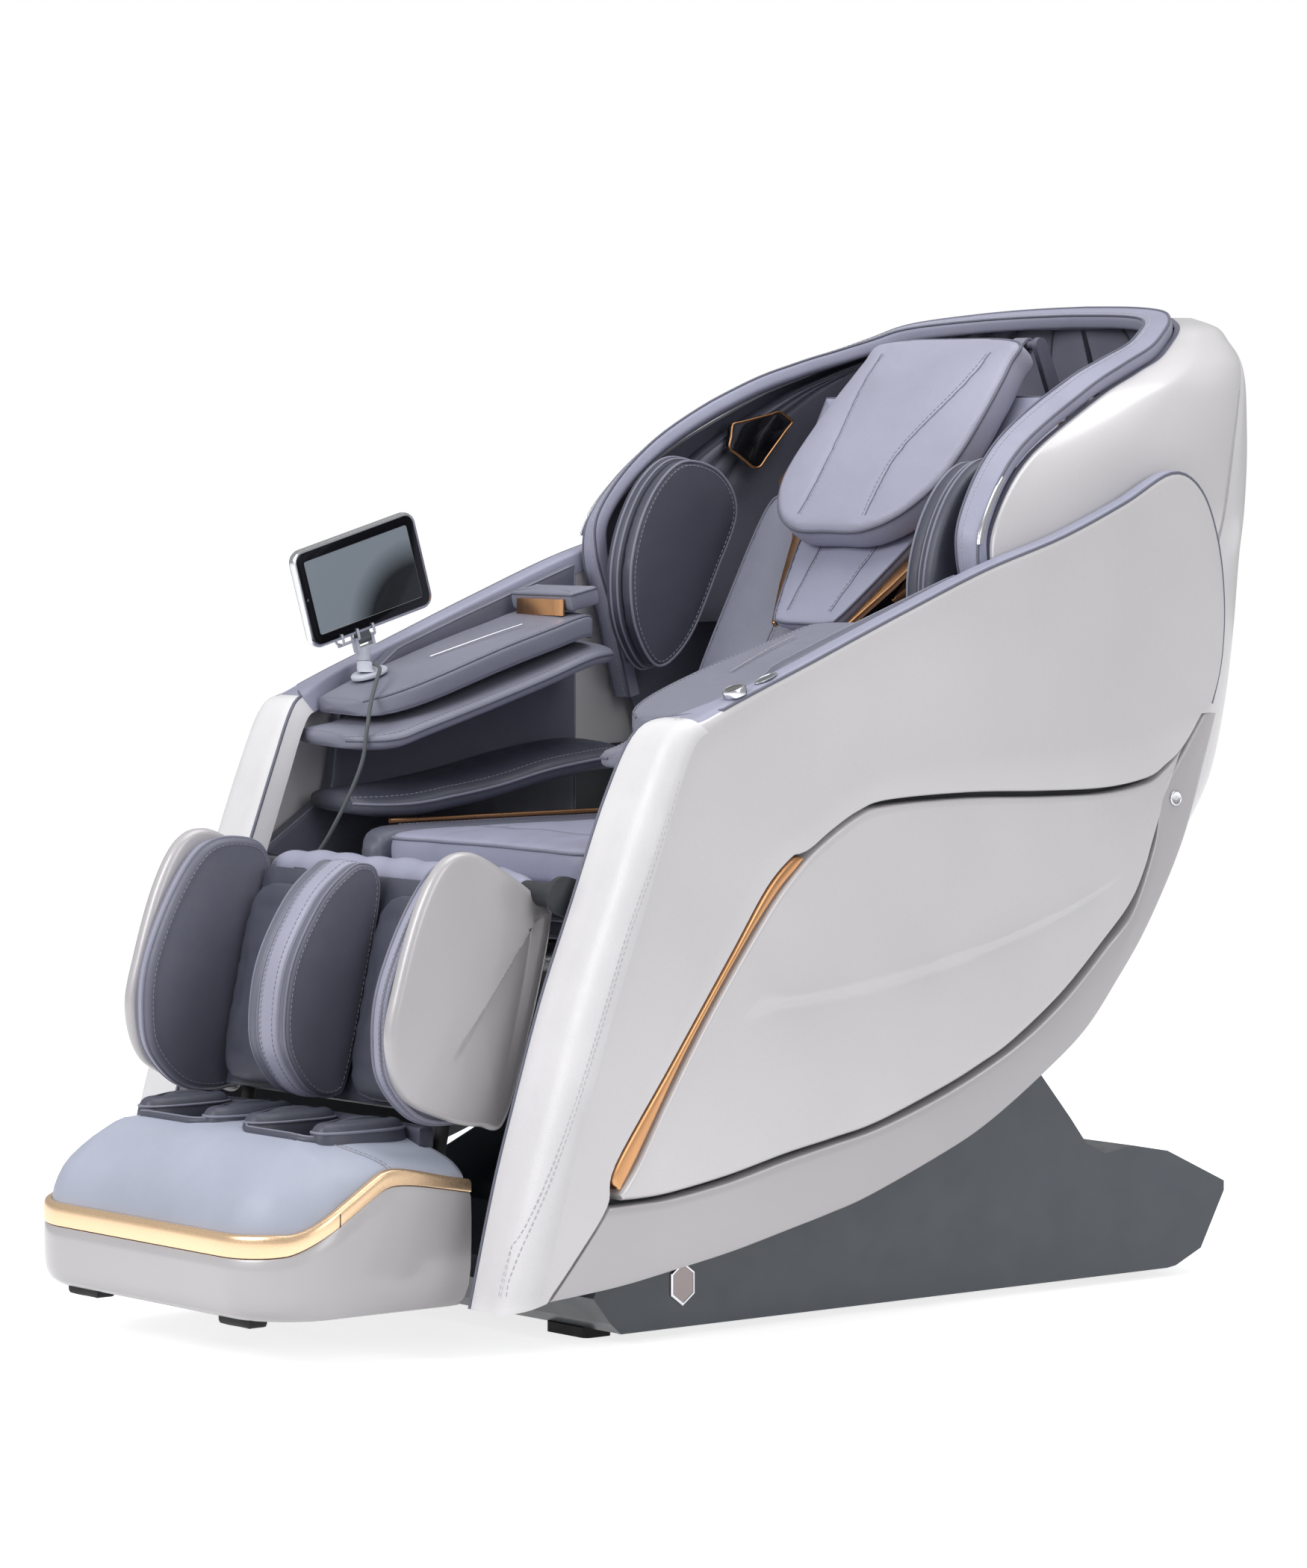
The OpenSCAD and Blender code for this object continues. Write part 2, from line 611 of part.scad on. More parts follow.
module base_feet() {
    color("#1d1e21") both_sides() for (y = [-276, 520])
        translate([rail_hw, y, 0]) linear_extrude(foot_h) offset(r = 8) square([60, 24], center = true);
}
badge_at = [-205, 62];
module badge_plates() {
    color("#8d8488") both_sides() translate([base_hw, badge_at[0], badge_at[1]])
        rotate([0, 90, 0]) linear_extrude(2.5) scale([1.28, 1]) rotate(0) circle(r = 20, $fn = 6);
}
module power_box() {
    color("#24262b") difference() {
        translate([-60, 512, foot_h + 32 + seat_gap]) cube([120, box_rear - 512, 60]);
        // Inlet socket and switch pocket, open to the rear
        translate([-44, box_rear - 18, 60]) cube([27, 30, 19]);
        translate([switch_x - 15, switch_y - 6, switch_z - 11]) cube([30, 30, 22]);
        pin_x([switch_y, switch_z], switch_x - 18, switch_x + 18, 1.5 + run_gap);
    }
}
box_rear = 602;
switch_x = 24;
switch_y = box_rear - 5;
switch_z = 70;
switch_tilt = 7;
module power_switch() {
    color("#111216") {
        on_side(switch_x - 14) linear_extrude(28) translate([switch_y, switch_z]) rotate(-switch_tilt)
            polygon([[-3, -8], [5, -8.5], [3, 0], [5, 8.5], [-3, 8]]);
        pin_x([switch_y, switch_z], switch_x - 17, switch_x + 17, 1.5);
    }
}
wheel_x = base_hw - 44;
axle_at = [560, 36];
module transport_axle() {
    color("#1d1e21") both_sides() translate([wheel_x - wheel_w / 2, axle_at[0], axle_at[1]])
        rotate([0, 90, 0]) cylinder(h = wheel_w, r = wheel_r);
    color("#c4c7cc") pin_x(axle_at, -wheel_x, wheel_x, axle_r);
}
screw_r = 9;
screw_y = -212;
screw_z = 100;
module slide_screw_motor() {
    color("#c4c7cc") translate([0, screw_y, screw_z]) rotate([-90, 0, 0])
        cylinder(h = motor_y - screw_y, r = screw_r);
    color("#2e3138") translate([-35, motor_y, screw_z - 35]) cube([70, motor_l, 70]);
}

carriage_tube = 6;
module carriage_frame() {
    color("#4b5059") {
        both_sides() {
            on_side(carriage_out - plate_t) linear_extrude(plate_t) {
                polygon([[-70, 96], [330, 96], [330, 130], [215, 200], [200, 330], [156, 330], [120, 200], [-70, 130]]);
                translate(tilt_pivot) circle(r = 26);
            }
            pin_x(tilt_pivot, carriage_out - 1, tilt_ear_in + plate_t + 1, pivot_r);
            // Shoes on the slide rails
            for (y = [-70, 270]) difference() {
                translate([rail_hw - rail_w / 2 - 6, y, rail_z[0] + 4]) cube([rail_w + 12 + 28, 60, 44]);
                translate([rail_hw - rail_w / 2 - 0.5, y - 1, rail_z[0]])
                    cube([rail_w + 1, 62, rail_z[1] - rail_z[0] + 0.5]);
            }
        }
        for (y = [carriage_tube, 300]) cross_tube([y, 128], -carriage_out + 1, carriage_out - 1);
        // Nut block on the drive screw
        difference() {
            translate([-24, 100, screw_z - 24]) cube([48, 40, 48]);
            translate([0, 99, screw_z]) rotate([-90, 0, 0]) cylinder(h = 42, r = screw_r + 0.5);
        }
        translate([-carriage_out + 1, 110, screw_z + 20]) cube([2 * carriage_out - 2, 20, 12]);
        actuator_ears(act_x, tilt_foot, [carriage_tube, 128], act_half);
        translate([act_x, 0, 0]) pin_x(tilt_foot, -act_half - 6, act_half + 6, act_pin_r);
    }
}

// ---- backrest ----

// Levels of the hood: [z, front edge y, front edge x, widest y, half width, rear y];
// the half widths are for a hood that is hood_full wide, and scale with back_hw
hood_full = 376;
HOOD = [[540, 290, 366, 340, 368, 640], [610, 262, 372, 334, 374, 696], [700, 232, 374, 330, 376, 728],
    [790, 207, 374, 335, 376, 744], [878, 183, 374, 345, 376, 753],
    [935, 199, 367, 380, 376, 755], [1006, 267, 348, 425, 371, 753],
    [1073, 389, 328, 500, 352, 746], [1104, 466, 312, 550, 334, 740],
    [1124, 524, 296, 590, 312, 734], [1142, 569, 272, 620, 284, 728],
    [1160, 610, 242, 650, 250, 722], [1172, 663, 174, 685, 178, 716]];
hood_top = 1180;
hood_k = back_hw / hood_full;
hood_rows = smooth_line(HOOD, 2);
function hood_back_y(z) = lookup(z, [for (r = hood_rows) [r[0], r[5]]]);

// How far behind the hood's front edge its wall starts at row k, to stay clear of the rim
function edge_back(k) =
    let (a = hood_rows[max(k - 1, 0)], b = hood_rows[min(k + 1, last_row)],
        t = unit([b[2] - a[2], b[1] - a[1], b[0] - a[0]]))
    min(34, rim_back / sqrt(1 - t[1] * t[1]));

// Point of the hood's right half at row k: w runs from 0 at the front edge to 1 at the middle
// of the back; inset is how far inside the outer face, and back is how far behind its start
function hood_point(k, w, inset, back) =
    let (r = hood_rows[k], a = r[4] * hood_k - inset, xf = r[2] * hood_k - inset,
        start = r[1] + edge_back(k), yf = start + back,
        yc = min(r[5] - 16, max(r[3], start + 24)), b = max(2, r[5] - inset - yc))
    w < 0.4
        ? let (f = 1 - w / 0.4) [a - (a - xf) * f * f, yc - max(0, yc - yf) * f, r[0]]
        : let (c = cos((w - 0.4) * 150), s = sin((w - 0.4) * 150))
            [a * pow(abs(c), 2 / 3), yc + b * pow(abs(s), 2 / 3), r[0]];

// Wall of the hood between w0 and w1, and between insets i0 and i1, over rows k0 to k1
module hood_wall(w0, w1, i0, i1, n, k0, k1, back) {
    skin([for (k = [k0 : k1]) concat(
        [for (i = [0 : n]) hood_point(k, w0 + (w1 - w0) * i / n, i0, back)],
        [for (i = [n : -1 : 0]) hood_point(k, w0 + (w1 - w0) * i / n, i1, back)])],
        fan = false, strip = true);
}

hood_seam = 0.57;
rim_back = rim_t / 2;
last_row = len(hood_rows) - 1;
module hood_sides() {
    color("#d9d7d4") both_sides() hood_wall(0, hood_seam, 0, hood_t, 8, 0, last_row, 0);
}
module back_shell() {
    n = 9;
    function arc(k, inset) = [for (i = [0 : n])
        hood_point(k, hood_seam + 0.012 + (0.988 - hood_seam) * i / n, inset, 0)];
    function mirrored(p) = [for (i = [len(p) - 2 : -1 : 0]) [-p[i][0], p[i][1], p[i][2]]];
    color("#cfcdca") skin([for (k = [0 : last_row])
        let (outer = arc(k, 0), inner = arc(k, hood_t))
        concat(outer, mirrored(outer),
            [for (i = [0 : n]) [-inner[i][0], inner[i][1], inner[i][2]]],
            [for (i = [n - 1 : -1 : 0]) inner[i]])], fan = false, strip = true);
}

// Rim along the hood's front edge, from one arm over the head to the other
rim_half = smooth_line(concat([for (r = HOOD) if (r[0] > 650) [r[2] * hood_k, r[1], r[0]]],
    [[92, 690, hood_top - 2], [0, 697, hood_top]]), 2);
module hood_rim() {
    half = len(rim_half);
    line = concat(rim_half, [for (i = [half - 2 : -1 : 0]) [-rim_half[i][0], rim_half[i][1], rim_half[i][2]]]);
    last = len(line) - 1;
    color("#8d91a6") skin([for (i = [0 : last])
        let (t = unit(line[min(i + 1, last)] - line[max(i - 1, 0)]),
            over = min(1, max(0, (line[i][2] - 1050) / 130)),
            inward = unit(cross(cross(t, [-line[i][0], -60 - 240 * over, 160 - 260 * over]), t)),
            up = unit(cross(inward, t)),
            flat = up[1] < 0 ? up : -up)
        [for (q = round_box(rim_w / 2, rim_t / 2, 4, 8))
            line[i] + inward * (rim_w / 2 + 1 + q[0]) + flat * q[1]]], fan = false);
}

lining_pad_t = 24;
post_z = 997;
// Soft lining inside the hood
lining_row = 6;
module hood_lining() {
    color("#6f7386") difference() {
        both_sides() hood_wall(0.1, 0.999, hood_t + 1.8, hood_t + lining_pad_t, 10, lining_row, last_row - 2, 20);
        translate([-18, 560, post_z - 3]) cube([36, 300, 36]);
        // Room for the back frame's side plates
        both_sides() on_side(arm_in - seat_gap) linear_extrude(plate_t + 2 * seat_gap)
            link_2d(tube_at(tube_low), tube_at(tube_high), 22 + seat_gap, 18 + seat_gap);
        both_sides() on_side(speaker_in) linear_extrude(speaker_t + seat_gap)
            offset(delta = seat_gap) polygon(SPEAKER);
    }
}

back_at = [300, 520];
rail_depth = 40;
mech_z = 38;
cloth_z = 110;
cloth_t = 6;
module back_cloth() {
    right = [[60, 20], [112, 60], [128, 200], [124, 400], [112, 576]];
    left = [for (i = [4 : -1 : 0]) [-right[i][0], right[i][1]]];
    color("#24262c") on_back(back_at[0], back_at[1]) translate([0, 0, cloth_z])
        linear_extrude(cloth_t) polygon(concat(right, left));
}

back_pad_yaw = 8;
module back_pads() {
    loop = [[2, 60], [60, 22], [128, 40], [150, 130], [156, 260], [142, 380], [100, 430],
        [46, 400], [22, 320], [14, 200]];
    color("#7f849b") both_sides() on_back(back_at[0], back_at[1])
        translate([66, 0, cloth_z + cloth_t + seat_gap - 10 * sin(back_pad_yaw)]) rotate([0, -back_pad_yaw, 0])
            pad(smooth_loop(loop, 3), back_pad_t - 10, 6, 8);
}

module back_chevrons() {
    color("#b4703c") both_sides() on_back(back_at[0], back_at[1])
        translate([0, 0, cloth_z + cloth_t + seat_gap]) linear_extrude(8)
            polygon([[62, 268], [70, 262], [78, 330], [62, 372], [50, 356]]);
}

neck_t = 18;
module neck_panel() {
    right = [[0, -204], [56, -200], [60, -150], [60, -60], [56, 10], [0, 20]];
    left = [for (i = [4 : -1 : 1]) [-right[i][0], right[i][1]]];
    color("#8589a0") {
        on_back(pillow_mid[0], pillow_mid[1], pillow_lean) translate([0, 0, -neck_t - 5 - seat_gap])
            pad(smooth_loop(concat(right, left), 3), neck_t, 5, 5);
        on_back(back_at[0], back_at[1]) translate([-34, 296, cloth_z + cloth_t + seat_gap])
            cube([68, 40, 36]);
    }
}

SHOULDER = [[250, 996], [206, 968], [174, 914], [160, 850], [170, 782], [206, 738], [256, 772],
    [302, 856], [334, 930], [308, 980]];
shoulder_step = shoulder_t + seat_gap;
shoulder_in = back_hw - hood_t - lining_pad_t - 4.8 - 3 * shoulder_step;
module shoulder_pads() {
    color("#4f5464") both_sides() {
        on_side(shoulder_in + shoulder_t) mirror([0, 0, 1])
            pad(smooth_loop(SHOULDER, 2), shoulder_t - 3, 3, 6);
        on_side(shoulder_in + shoulder_step)
            pad(smooth_loop(drawn_in(SHOULDER, -3), 2), shoulder_t, 0.2, 6);
        on_side(shoulder_in + 2 * shoulder_step)
            pad(smooth_loop([for (p = drawn_in(SHOULDER, 30)) p - [4, 26]], 2), shoulder_t, 0.2, 6);
    }
}

// Half width of the hood's front at the speaker panels, before it is scaled
speaker_seat = 344;
speaker_in = speaker_seat * hood_k - hood_t - lining_pad_t - 3.9;
speaker_t = 10;
SPEAKER = [[356, 1010], [362, 1042], [440, 1058], [466, 1046], [404, 980]];
module speaker_panels() {
    color("#15161a") both_sides() on_side(speaker_in) linear_extrude(speaker_t)
        offset(r = 6) offset(delta = -6) polygon(SPEAKER);
}

// Head pillow, hung from its hinge at the top of the hood's lining
PILLOW = [[0, -160], [62, -158], [112, -132], [142, -84], [148, -30], [136, 40], [118, 110], [104, 148], [0, 154]];
pillow_mid = [391, 1006];
pillow_lean = 41;
module head_pillow() {
    left = [for (i = [7 : -1 : 1]) [-PILLOW[i][0], PILLOW[i][1]]];
    color("#a9acc0") on_back(pillow_mid[0], pillow_mid[1], pillow_lean)
        pad(smooth_loop(concat(PILLOW, left), 2), pillow_t, pillow_crown, 10);
    // Tabs that hang it on its rod
    color("#7f849b") both_sides() on_side(62) linear_extrude(24) difference() {
        link_2d(pillow_pivot, tab_foot, 9, 8);
        translate(pillow_pivot) circle(r = pillow_rod_r + run_gap);
    }
}
tab_foot = [490, 1112];
pillow_rod_r = 5;

// Cross tubes of the back frame, up the back
tube_low = 60;
tube_high = 560;
tube_depth = rail_depth - track_r - tube_r - seat_gap;
// Middle of a cross tube behind the track rails, y up the back, as [y, z]
function tube_at(y) = back_at + y * [sin(back_lean), cos(back_lean)]
    + tube_depth * [-cos(back_lean), sin(back_lean)];
module back_frame() {
    tubes = [tube_at(tube_low), tube_at(tube_high)];
    color("#3f434b") {
        cross_tube(recline_pivot, -arm_in - 1, arm_in + 1);
        both_sides() difference() {
            on_side(arm_in) linear_extrude(plate_t) union() {
                link_2d(recline_pivot, tubes[0], 28, 22);
                link_2d(tubes[0], tubes[1], 22, 18);
            }
            translate([arm_in - 1, recline_pivot[0], recline_pivot[1]]) rotate([0, 90, 0])
                cylinder(h = plate_t + 2, r = pivot_r + run_gap);
        }
        for (t = tubes) cross_tube(t, -arm_in - 1, arm_in + 1);
        // Post that carries the back shell
        translate([-15, tubes[1][0] + 6, post_z])
            cube([30, hood_back_y(post_z + 30) - hood_t - seat_gap - tubes[1][0] - 6, 30]);
        // Posts under the back cloth
        for (y = [tube_low, tube_high]) both_sides() on_back(back_at[0], back_at[1])
            translate([82, y - 6, tube_depth]) cube([12, 12, cloth_z - seat_gap - tube_depth]);
        // Rod that the pillow hangs on
        pin_x(pillow_pivot, -108, 108, pillow_rod_r);
        both_sides() on_side(100) linear_extrude(8) link_2d(tubes[1], pillow_pivot, 12, 9);
        // Recline lever
        actuator_ears(-act_x, recline_pivot, recline_head, act_half);
        translate([-act_x, 0, 0]) pin_x(recline_head, -act_half - 6, act_half + 6, act_pin_r);
    }
}

module track_rails() {
    color("#c4c7cc") both_sides() on_back(back_at[0], back_at[1])
        translate([track_gauge / 2, 30, rail_depth]) rotate([-90, 0, 0]) cylinder(h = 580, r = track_r);
}

mech_rest = 172;
knead_x = 60;
mech_back = mech_z - knead_throw - roller_r - 12;
module massage_carriage() {
    color("#5a5f68") on_back(back_at[0], back_at[1]) translate([0, mech_rest, 0]) difference() {
        union() {
            for (s = [-1, 1]) {
                translate([s * track_gauge / 2, -30, rail_depth]) rotate([-90, 0, 0])
                    cylinder(h = 60, r = track_r + 7);
                translate([s * (track_gauge / 2 - 28) - 8, -26, mech_z - 12]) cube([16, 52, 24]);
                translate([s * (track_gauge / 2 - 18) - 6, -26, mech_z - 12]) cube([12, 52, 24]);
                translate([s * (track_gauge / 2 - 28) - 8, -26, mech_back]) cube([16, 52, mech_z - mech_back]);
            }
            translate([-track_gauge / 2 + 28, -26, mech_back]) cube([track_gauge - 56, 52, 6]);
        }
        for (s = [-1, 1]) translate([s * track_gauge / 2, -31, rail_depth]) rotate([-90, 0, 0])
            cylinder(h = 62, r = track_r + 0.5);
        translate([-track_gauge / 2 + 6, 0, mech_z]) rotate([0, 90, 0])
            cylinder(h = track_gauge - 12, r = 8 + run_gap);
    }
}
module kneading_arms() {
    color("#2e3138") on_back(back_at[0], back_at[1]) translate([0, mech_rest, mech_z]) {
        translate([-track_gauge / 2 + 24, 0, 0]) rotate([0, 90, 0]) cylinder(h = track_gauge - 48, r = 8);
        for (s = [-1, 1]) {
            translate([s * knead_x - 5, 0, 0]) rotate([0, 90, 0]) linear_extrude(10) difference() {
                link_2d([0, -knead_throw], [0, knead_throw], 11, 11);
                circle(r = 8);
            }
            for (e = [-1, 1]) translate([s * knead_x - 16, e * knead_throw, 0]) rotate([0, 90, 0])
                difference() {
                    cylinder(h = 32, r = roller_r);
                    translate([0, 0, 10.7]) cylinder(h = 10.6, r = roller_r + 1);
                }
        }
    }
}

// ---- leg rest ----

leg_lean = 13;
module on_leg() {
    translate([0, leg_pivot[0], leg_pivot[1]]) rotate([-leg_lean, 0, 0]) children();
}
guide_x = 190;
guide_r = 8;
crank_r = 110;
crank_angle = -50;
crank_pin = [leg_pivot[0] + crank_r * cos(crank_angle), leg_pivot[1] + crank_r * sin(crank_angle)];
module leg_frame() {
    color("#3f434b") {
        difference() {
            union() {
                cross_tube(leg_pivot, -arm_in + 2, arm_in - 2, 14);
                both_sides() pin_x(leg_pivot, arm_in - 14, plate_in - 1, 14);
            }
            both_sides() pin_x(leg_pivot, arm_in - 15, plate_in, leg_pin_r + run_gap);
        }
        translate([-5, 0, 0]) on_side(0) linear_extrude(10) difference() {
            link_2d(leg_pivot, crank_pin, 18, 13);
            translate(leg_pivot) circle(r = 13);
        }
        pin_x(crank_pin, -13, 13, act_pin_r);
        on_leg() {
            both_sides() {
                translate([guide_x - 40, -30, -262]) cube([20, 18, 262]);
                translate([guide_x, -21, -262]) difference() {
                    union() {
                        cylinder(h = 200, r = guide_r + 5);
                        translate([-30, -9, 0]) cube([22, 18, 30]);
                        translate([-30, -9, 160]) cube([22, 18, 30]);
                    }
                    translate([0, 0, -1]) cylinder(h = 202, r = guide_r + 0.5);
                }
            }
            translate([20 - guide_x, -30, -262]) cube([2 * guide_x - 40, 18, 24]);
        }
    }
}

module leg_actuator_tube() {
    color("#c4c7cc") translate([0, 0, leg_act_z]) {
        difference() {
            translate([0, -100, 0]) rotate([90, 0, 0]) cylinder(h = 186, r = act_r);
            translate([0, -110, 0]) rotate([90, 0, 0]) cylinder(h = 190, r = rod_r + 0.5);
        }
        translate([-16, -162, act_r - 4]) cube([32, 54, pan_low - seat_gap - leg_act_z - act_r + 4]);
    }
}
slot_h = 2 * (act_pin_r + 3);
module leg_actuator_rod() {
    color("#e2e4e8") {
        translate([0, -116, leg_act_z]) rotate([90, 0, 0])
            cylinder(h = -116 - crank_pin[0] - act_pin_r - 12, r = rod_r);
        // Slotted head round the crank's pin
        for (s = [-1, 1]) translate([s * 10 - 3, 0, 0]) on_side(0) linear_extrude(6) difference() {
            translate([crank_pin[0] - 22, leg_act_z - 36]) square([46, 72]);
            translate([crank_pin[0] - act_pin_r - open_gap, leg_act_z - 29])
                square([2 * (act_pin_r + open_gap), 58]);
        }
        translate([-13, crank_pin[0] + act_pin_r + open_gap + 8, leg_act_z - 12]) cube([26, 8, 20]);
    }
}

CALF_SHELL = [[-486, 566], [-440, 546], [-378, 503], [-371, 478], [-398, 370], [-436, 262],
    [-470, 258], [-516, 268], [-576, 298], [-597, 358], [-584, 423], [-556, 504], [-524, 554]];
CALF_PAD = [[-462, 556], [-420, 538], [-414, 470], [-448, 290], [-480, 262], [-540, 268],
    [-584, 310], [-594, 360], [-586, 420], [-552, 494], [-510, 546]];
calf_shell_w = 30;
calf_in = leg_hw - calf_shell_w - 0.8 - calf_pad_t;
calf_back = -44.3;
module calf_shells() {
    color("#d9d7d4") {
        both_sides() difference() {
            on_side(leg_hw - calf_shell_w) pad(smooth_loop(CALF_SHELL, 2), calf_shell_w - 7, 6, 7);
            pin_x(leg_pivot, 200, 300, 14 + seat_gap);
        }
        on_leg() translate([-calf_in + 1, calf_back, -262])
            cube([2 * calf_in - 2, 10, 244]);
    }
}
module calf_pads() {
    color("#565b6a") {
        both_sides() on_side(leg_hw - calf_shell_w - 0.8) mirror([0, 0, 1])
            pad(smooth_loop(CALF_PAD, 2), calf_pad_t - 6, 6, 8);
        on_leg() both_sides() translate([(divider_w / 2 + calf_in) / 2, calf_back - seat_gap, -140])
            rotate([90, 0, 0]) pad(round_box(calf_channel / 2 - 3, 118, 5, 20), 16, 8, 6);
    }
}
calf_channel = calf_in - divider_w / 2;
module leg_divider() {
    loop = [[-468, 540], [-447, 528], [-447, 480], [-487, 306], [-510, 276], [-545, 286],
        [-574, 330], [-576, 384], [-562, 440], [-526, 500], [-490, 532]];
    color("#6f7386") both_sides() on_side(11 + seat_gap) pad(smooth_loop(loop, 2), divider_w / 2 - 15, 3.5, 8);
    color("#a9acc0") {
        on_side(-11) linear_extrude(22) polygon(drawn_in(smooth_loop(loop, 2), -3));
        on_leg() translate([-9, calf_back - 20, -180]) cube([18, 20 - seat_gap, 120]);
    }
}

// ---- footrest ----

foot_low = 56;
roller_at = [-560, 106];
foot_front = -755;
foot_rear = -482;
foot_corner = 96;
// Height of the band's lower edge, by y
function band_z(y) = lookup(y, [[foot_front, 126], [-718, 132], [-660, 160], [-622, 186],
    [-596, 198], [-560, 200], [foot_rear, 184]]);
// Plan of the footrest, drawn in by d
function foot_plan(d) =
    let (w = foot_hw - d, f = foot_front + d, r = foot_corner - d)
    concat([[w, foot_rear - d * 0.4], [w, -560], [w, -620]],
        [for (a = [0 : 15 : 90]) [w - r + r * cos(a), f + r - r * sin(a)]],
        [for (a = [90 : 15 : 180]) [-w + r + r * cos(a), f + r - r * sin(a)]],
        [[-w, -620], [-w, -560], [-w, foot_rear - d * 0.4]]);
module foot_shell() {
    rim = foot_plan(0);
    function ring(d, f) =
        let (q = foot_plan(d))
        [for (i = [0 : len(q) - 1]) [q[i][0], q[i][1], foot_low + (band_z(rim[i][1]) - foot_low) * f]];
    color("#cfcdca") {
        skin([ring(26, 0), ring(8, 0.1), ring(1, 0.35), ring(0, 0.7), ring(2, 1),
            ring(2 + foot_wall, 1), ring(2 + foot_wall, 0.7), ring(8 + foot_wall, 0.2), ring(26, 0.12)]);
        // Rods of the extension slide
        on_leg() both_sides() translate([guide_x, -21, -400]) cylinder(h = 336, r = guide_r);
        for (x = [-guide_x, guide_x]) translate([x - 12, -516, foot_low + 10]) cube([24, 32, 62]);
        // Bars under the sole pads
        for (y = [-602, -528])
            translate([3 - foot_hw, y, sole_z - seat_gap - 10]) cube([2 * foot_hw - 6, 10, 10]);
        // Bearing blocks of the foot rollers
        for (x = [-228, 0, 228]) translate([x - 6, roller_at[0] - 14, foot_low + 8]) difference() {
            cube([12, 28, 56]);
            translate([-1, 14, roller_at[1] - foot_low - 8]) rotate([0, 90, 0])
                cylinder(h = 14, r = sole_shaft_r + run_gap);
        }
    }
}
module foot_band() {
    line = foot_plan(0);
    inner = foot_plan(9);
    color("#c99a68") skin([for (i = [0 : len(line) - 1])
        let (z = band_z(line[i][1]) + 2 * seat_gap)
        [[line[i][0], line[i][1], z], [line[i][0], line[i][1], z + band_h * 0.75],
            [line[i][0] + (inner[i][0] - line[i][0]) * 0.4, line[i][1] + (inner[i][1] - line[i][1]) * 0.4, z + band_h],
            [inner[i][0], inner[i][1], z + band_h], [inner[i][0], inner[i][1], z]]], fan = false);
}
well_x = [36, 174];
sole_z = 126;
module foot_pads() {
    rim = foot_plan(0);
    color("#8589a0") difference() {
        skin([for (s = [[9.3, 2], [9.3, band_h * 0.8], [13, band_h + 14], [26, band_h + 26], [60, band_h + 34]])
            let (q = foot_plan(s[0])) [for (i = [0 : len(q) - 1]) [q[i][0], q[i][1], band_z(rim[i][1]) + s[1]]]]);
        both_sides() translate([well_x[0], -640, 60]) cube([well_x[1] - well_x[0], 200, 260]);
        translate([-300, -512, 60]) cube([600, 60, 260]);
    }
    // Sole pads over the rollers
    color("#565b6a") both_sides() translate([well_x[0] - 1, -641, sole_z])
        cube([well_x[1] - well_x[0] + 2, 128, 12]);
}
module foot_rollers() {
    color("#2e3138") both_sides() for (x = [44, 88, 132]) pin_x(roller_at, x, x + 36, sole_roller_r);
    color("#c4c7cc") pin_x(roller_at, -236, 236, sole_shaft_r);
}

// ---- arm dial and tablet ----

dial_at = [-214, 737.4];
dial_lean = 20.8;
dial_x = shell_in + 14.5;
module arm_dial() {
    color("#c4c7cc") translate([dial_x, dial_at[0], dial_at[1]]) rotate([dial_lean, 0, 0])
        cylinder(h = dial_h, r = dial_r);
}

tablet_x = -342;
tablet_mid = [-193, 852];
tablet_roll = 16;
hinge_u = -17;
hinge_drop = 9;
hinge_pin_r = 3;
hinge_at = tablet_mid + hinge_u * [cos(tablet_roll), sin(tablet_roll)]
    - (tablet_h / 2 + hinge_drop) * [-sin(tablet_roll), cos(tablet_roll)];
stand_foot = [-196, 736.8];
stand_lean = 18.9;
stand_top = hinge_at[1] - 26;
spigot_r = 5;
module tablet_stand() {
    color("#8d91a6") {
        translate([tablet_x + 22, stand_foot[0], stand_foot[1]]) rotate([stand_lean, 0, 0])
            cylinder(h = 5, r = 23);
        hull() {
            translate([tablet_x + 22, stand_foot[0], stand_foot[1] + 2]) cylinder(h = 4, r = 15, $fn = 24);
            translate([tablet_x, hinge_at[0], stand_top - 4]) cylinder(h = 4, r = 9, $fn = 24);
        }
        translate([tablet_x, hinge_at[0], stand_top - 1]) cylinder(h = 11, r = spigot_r);
    }
}
// Turns along the tablet's lower edge, about the hinge
module on_hinge() {
    translate([tablet_x, hinge_at[0], hinge_at[1]]) rotate([tablet_roll, 0, 0]) children();
}
module tablet_yoke() {
    color("#2e3138") {
        difference() {
            union() {
                translate([tablet_x, hinge_at[0], stand_top + seat_gap]) cylinder(h = 15, r = 9);
                on_hinge() for (y = [-14, 10]) translate([-5, y, -14]) cube([10, 4, 18]);
                on_hinge() translate([-5, -14, -14]) cube([10, 28, 5]);
            }
            translate([tablet_x, hinge_at[0], stand_top - 1]) cylinder(h = 12, r = spigot_r + run_gap);
        }
        on_hinge() rotate([-90, 0, 0]) translate([0, 0, -12]) cylinder(h = 24, r = hinge_pin_r);
    }
}
module tablet() {
    color("#2a2d33") {
        translate([tablet_x, tablet_mid[0], tablet_mid[1]]) rotate([tablet_roll, 0, 0])
            rotate([90, 0, 90]) translate([0, 0, -tablet_t / 2]) linear_extrude(tablet_t)
                offset(r = tablet_r) square([tablet_w - 2 * tablet_r, tablet_h - 2 * tablet_r], center = true);
        on_hinge() difference() {
            union() {
                translate([-5, -9, 0]) cube([10, 18, hinge_drop + 1]);
                rotate([-90, 0, 0]) translate([0, 0, -9]) cylinder(h = 18, r = 5.5);
            }
            rotate([-90, 0, 0]) translate([0, 0, -10]) cylinder(h = 20, r = hinge_pin_r + run_gap);
        }
    }
}

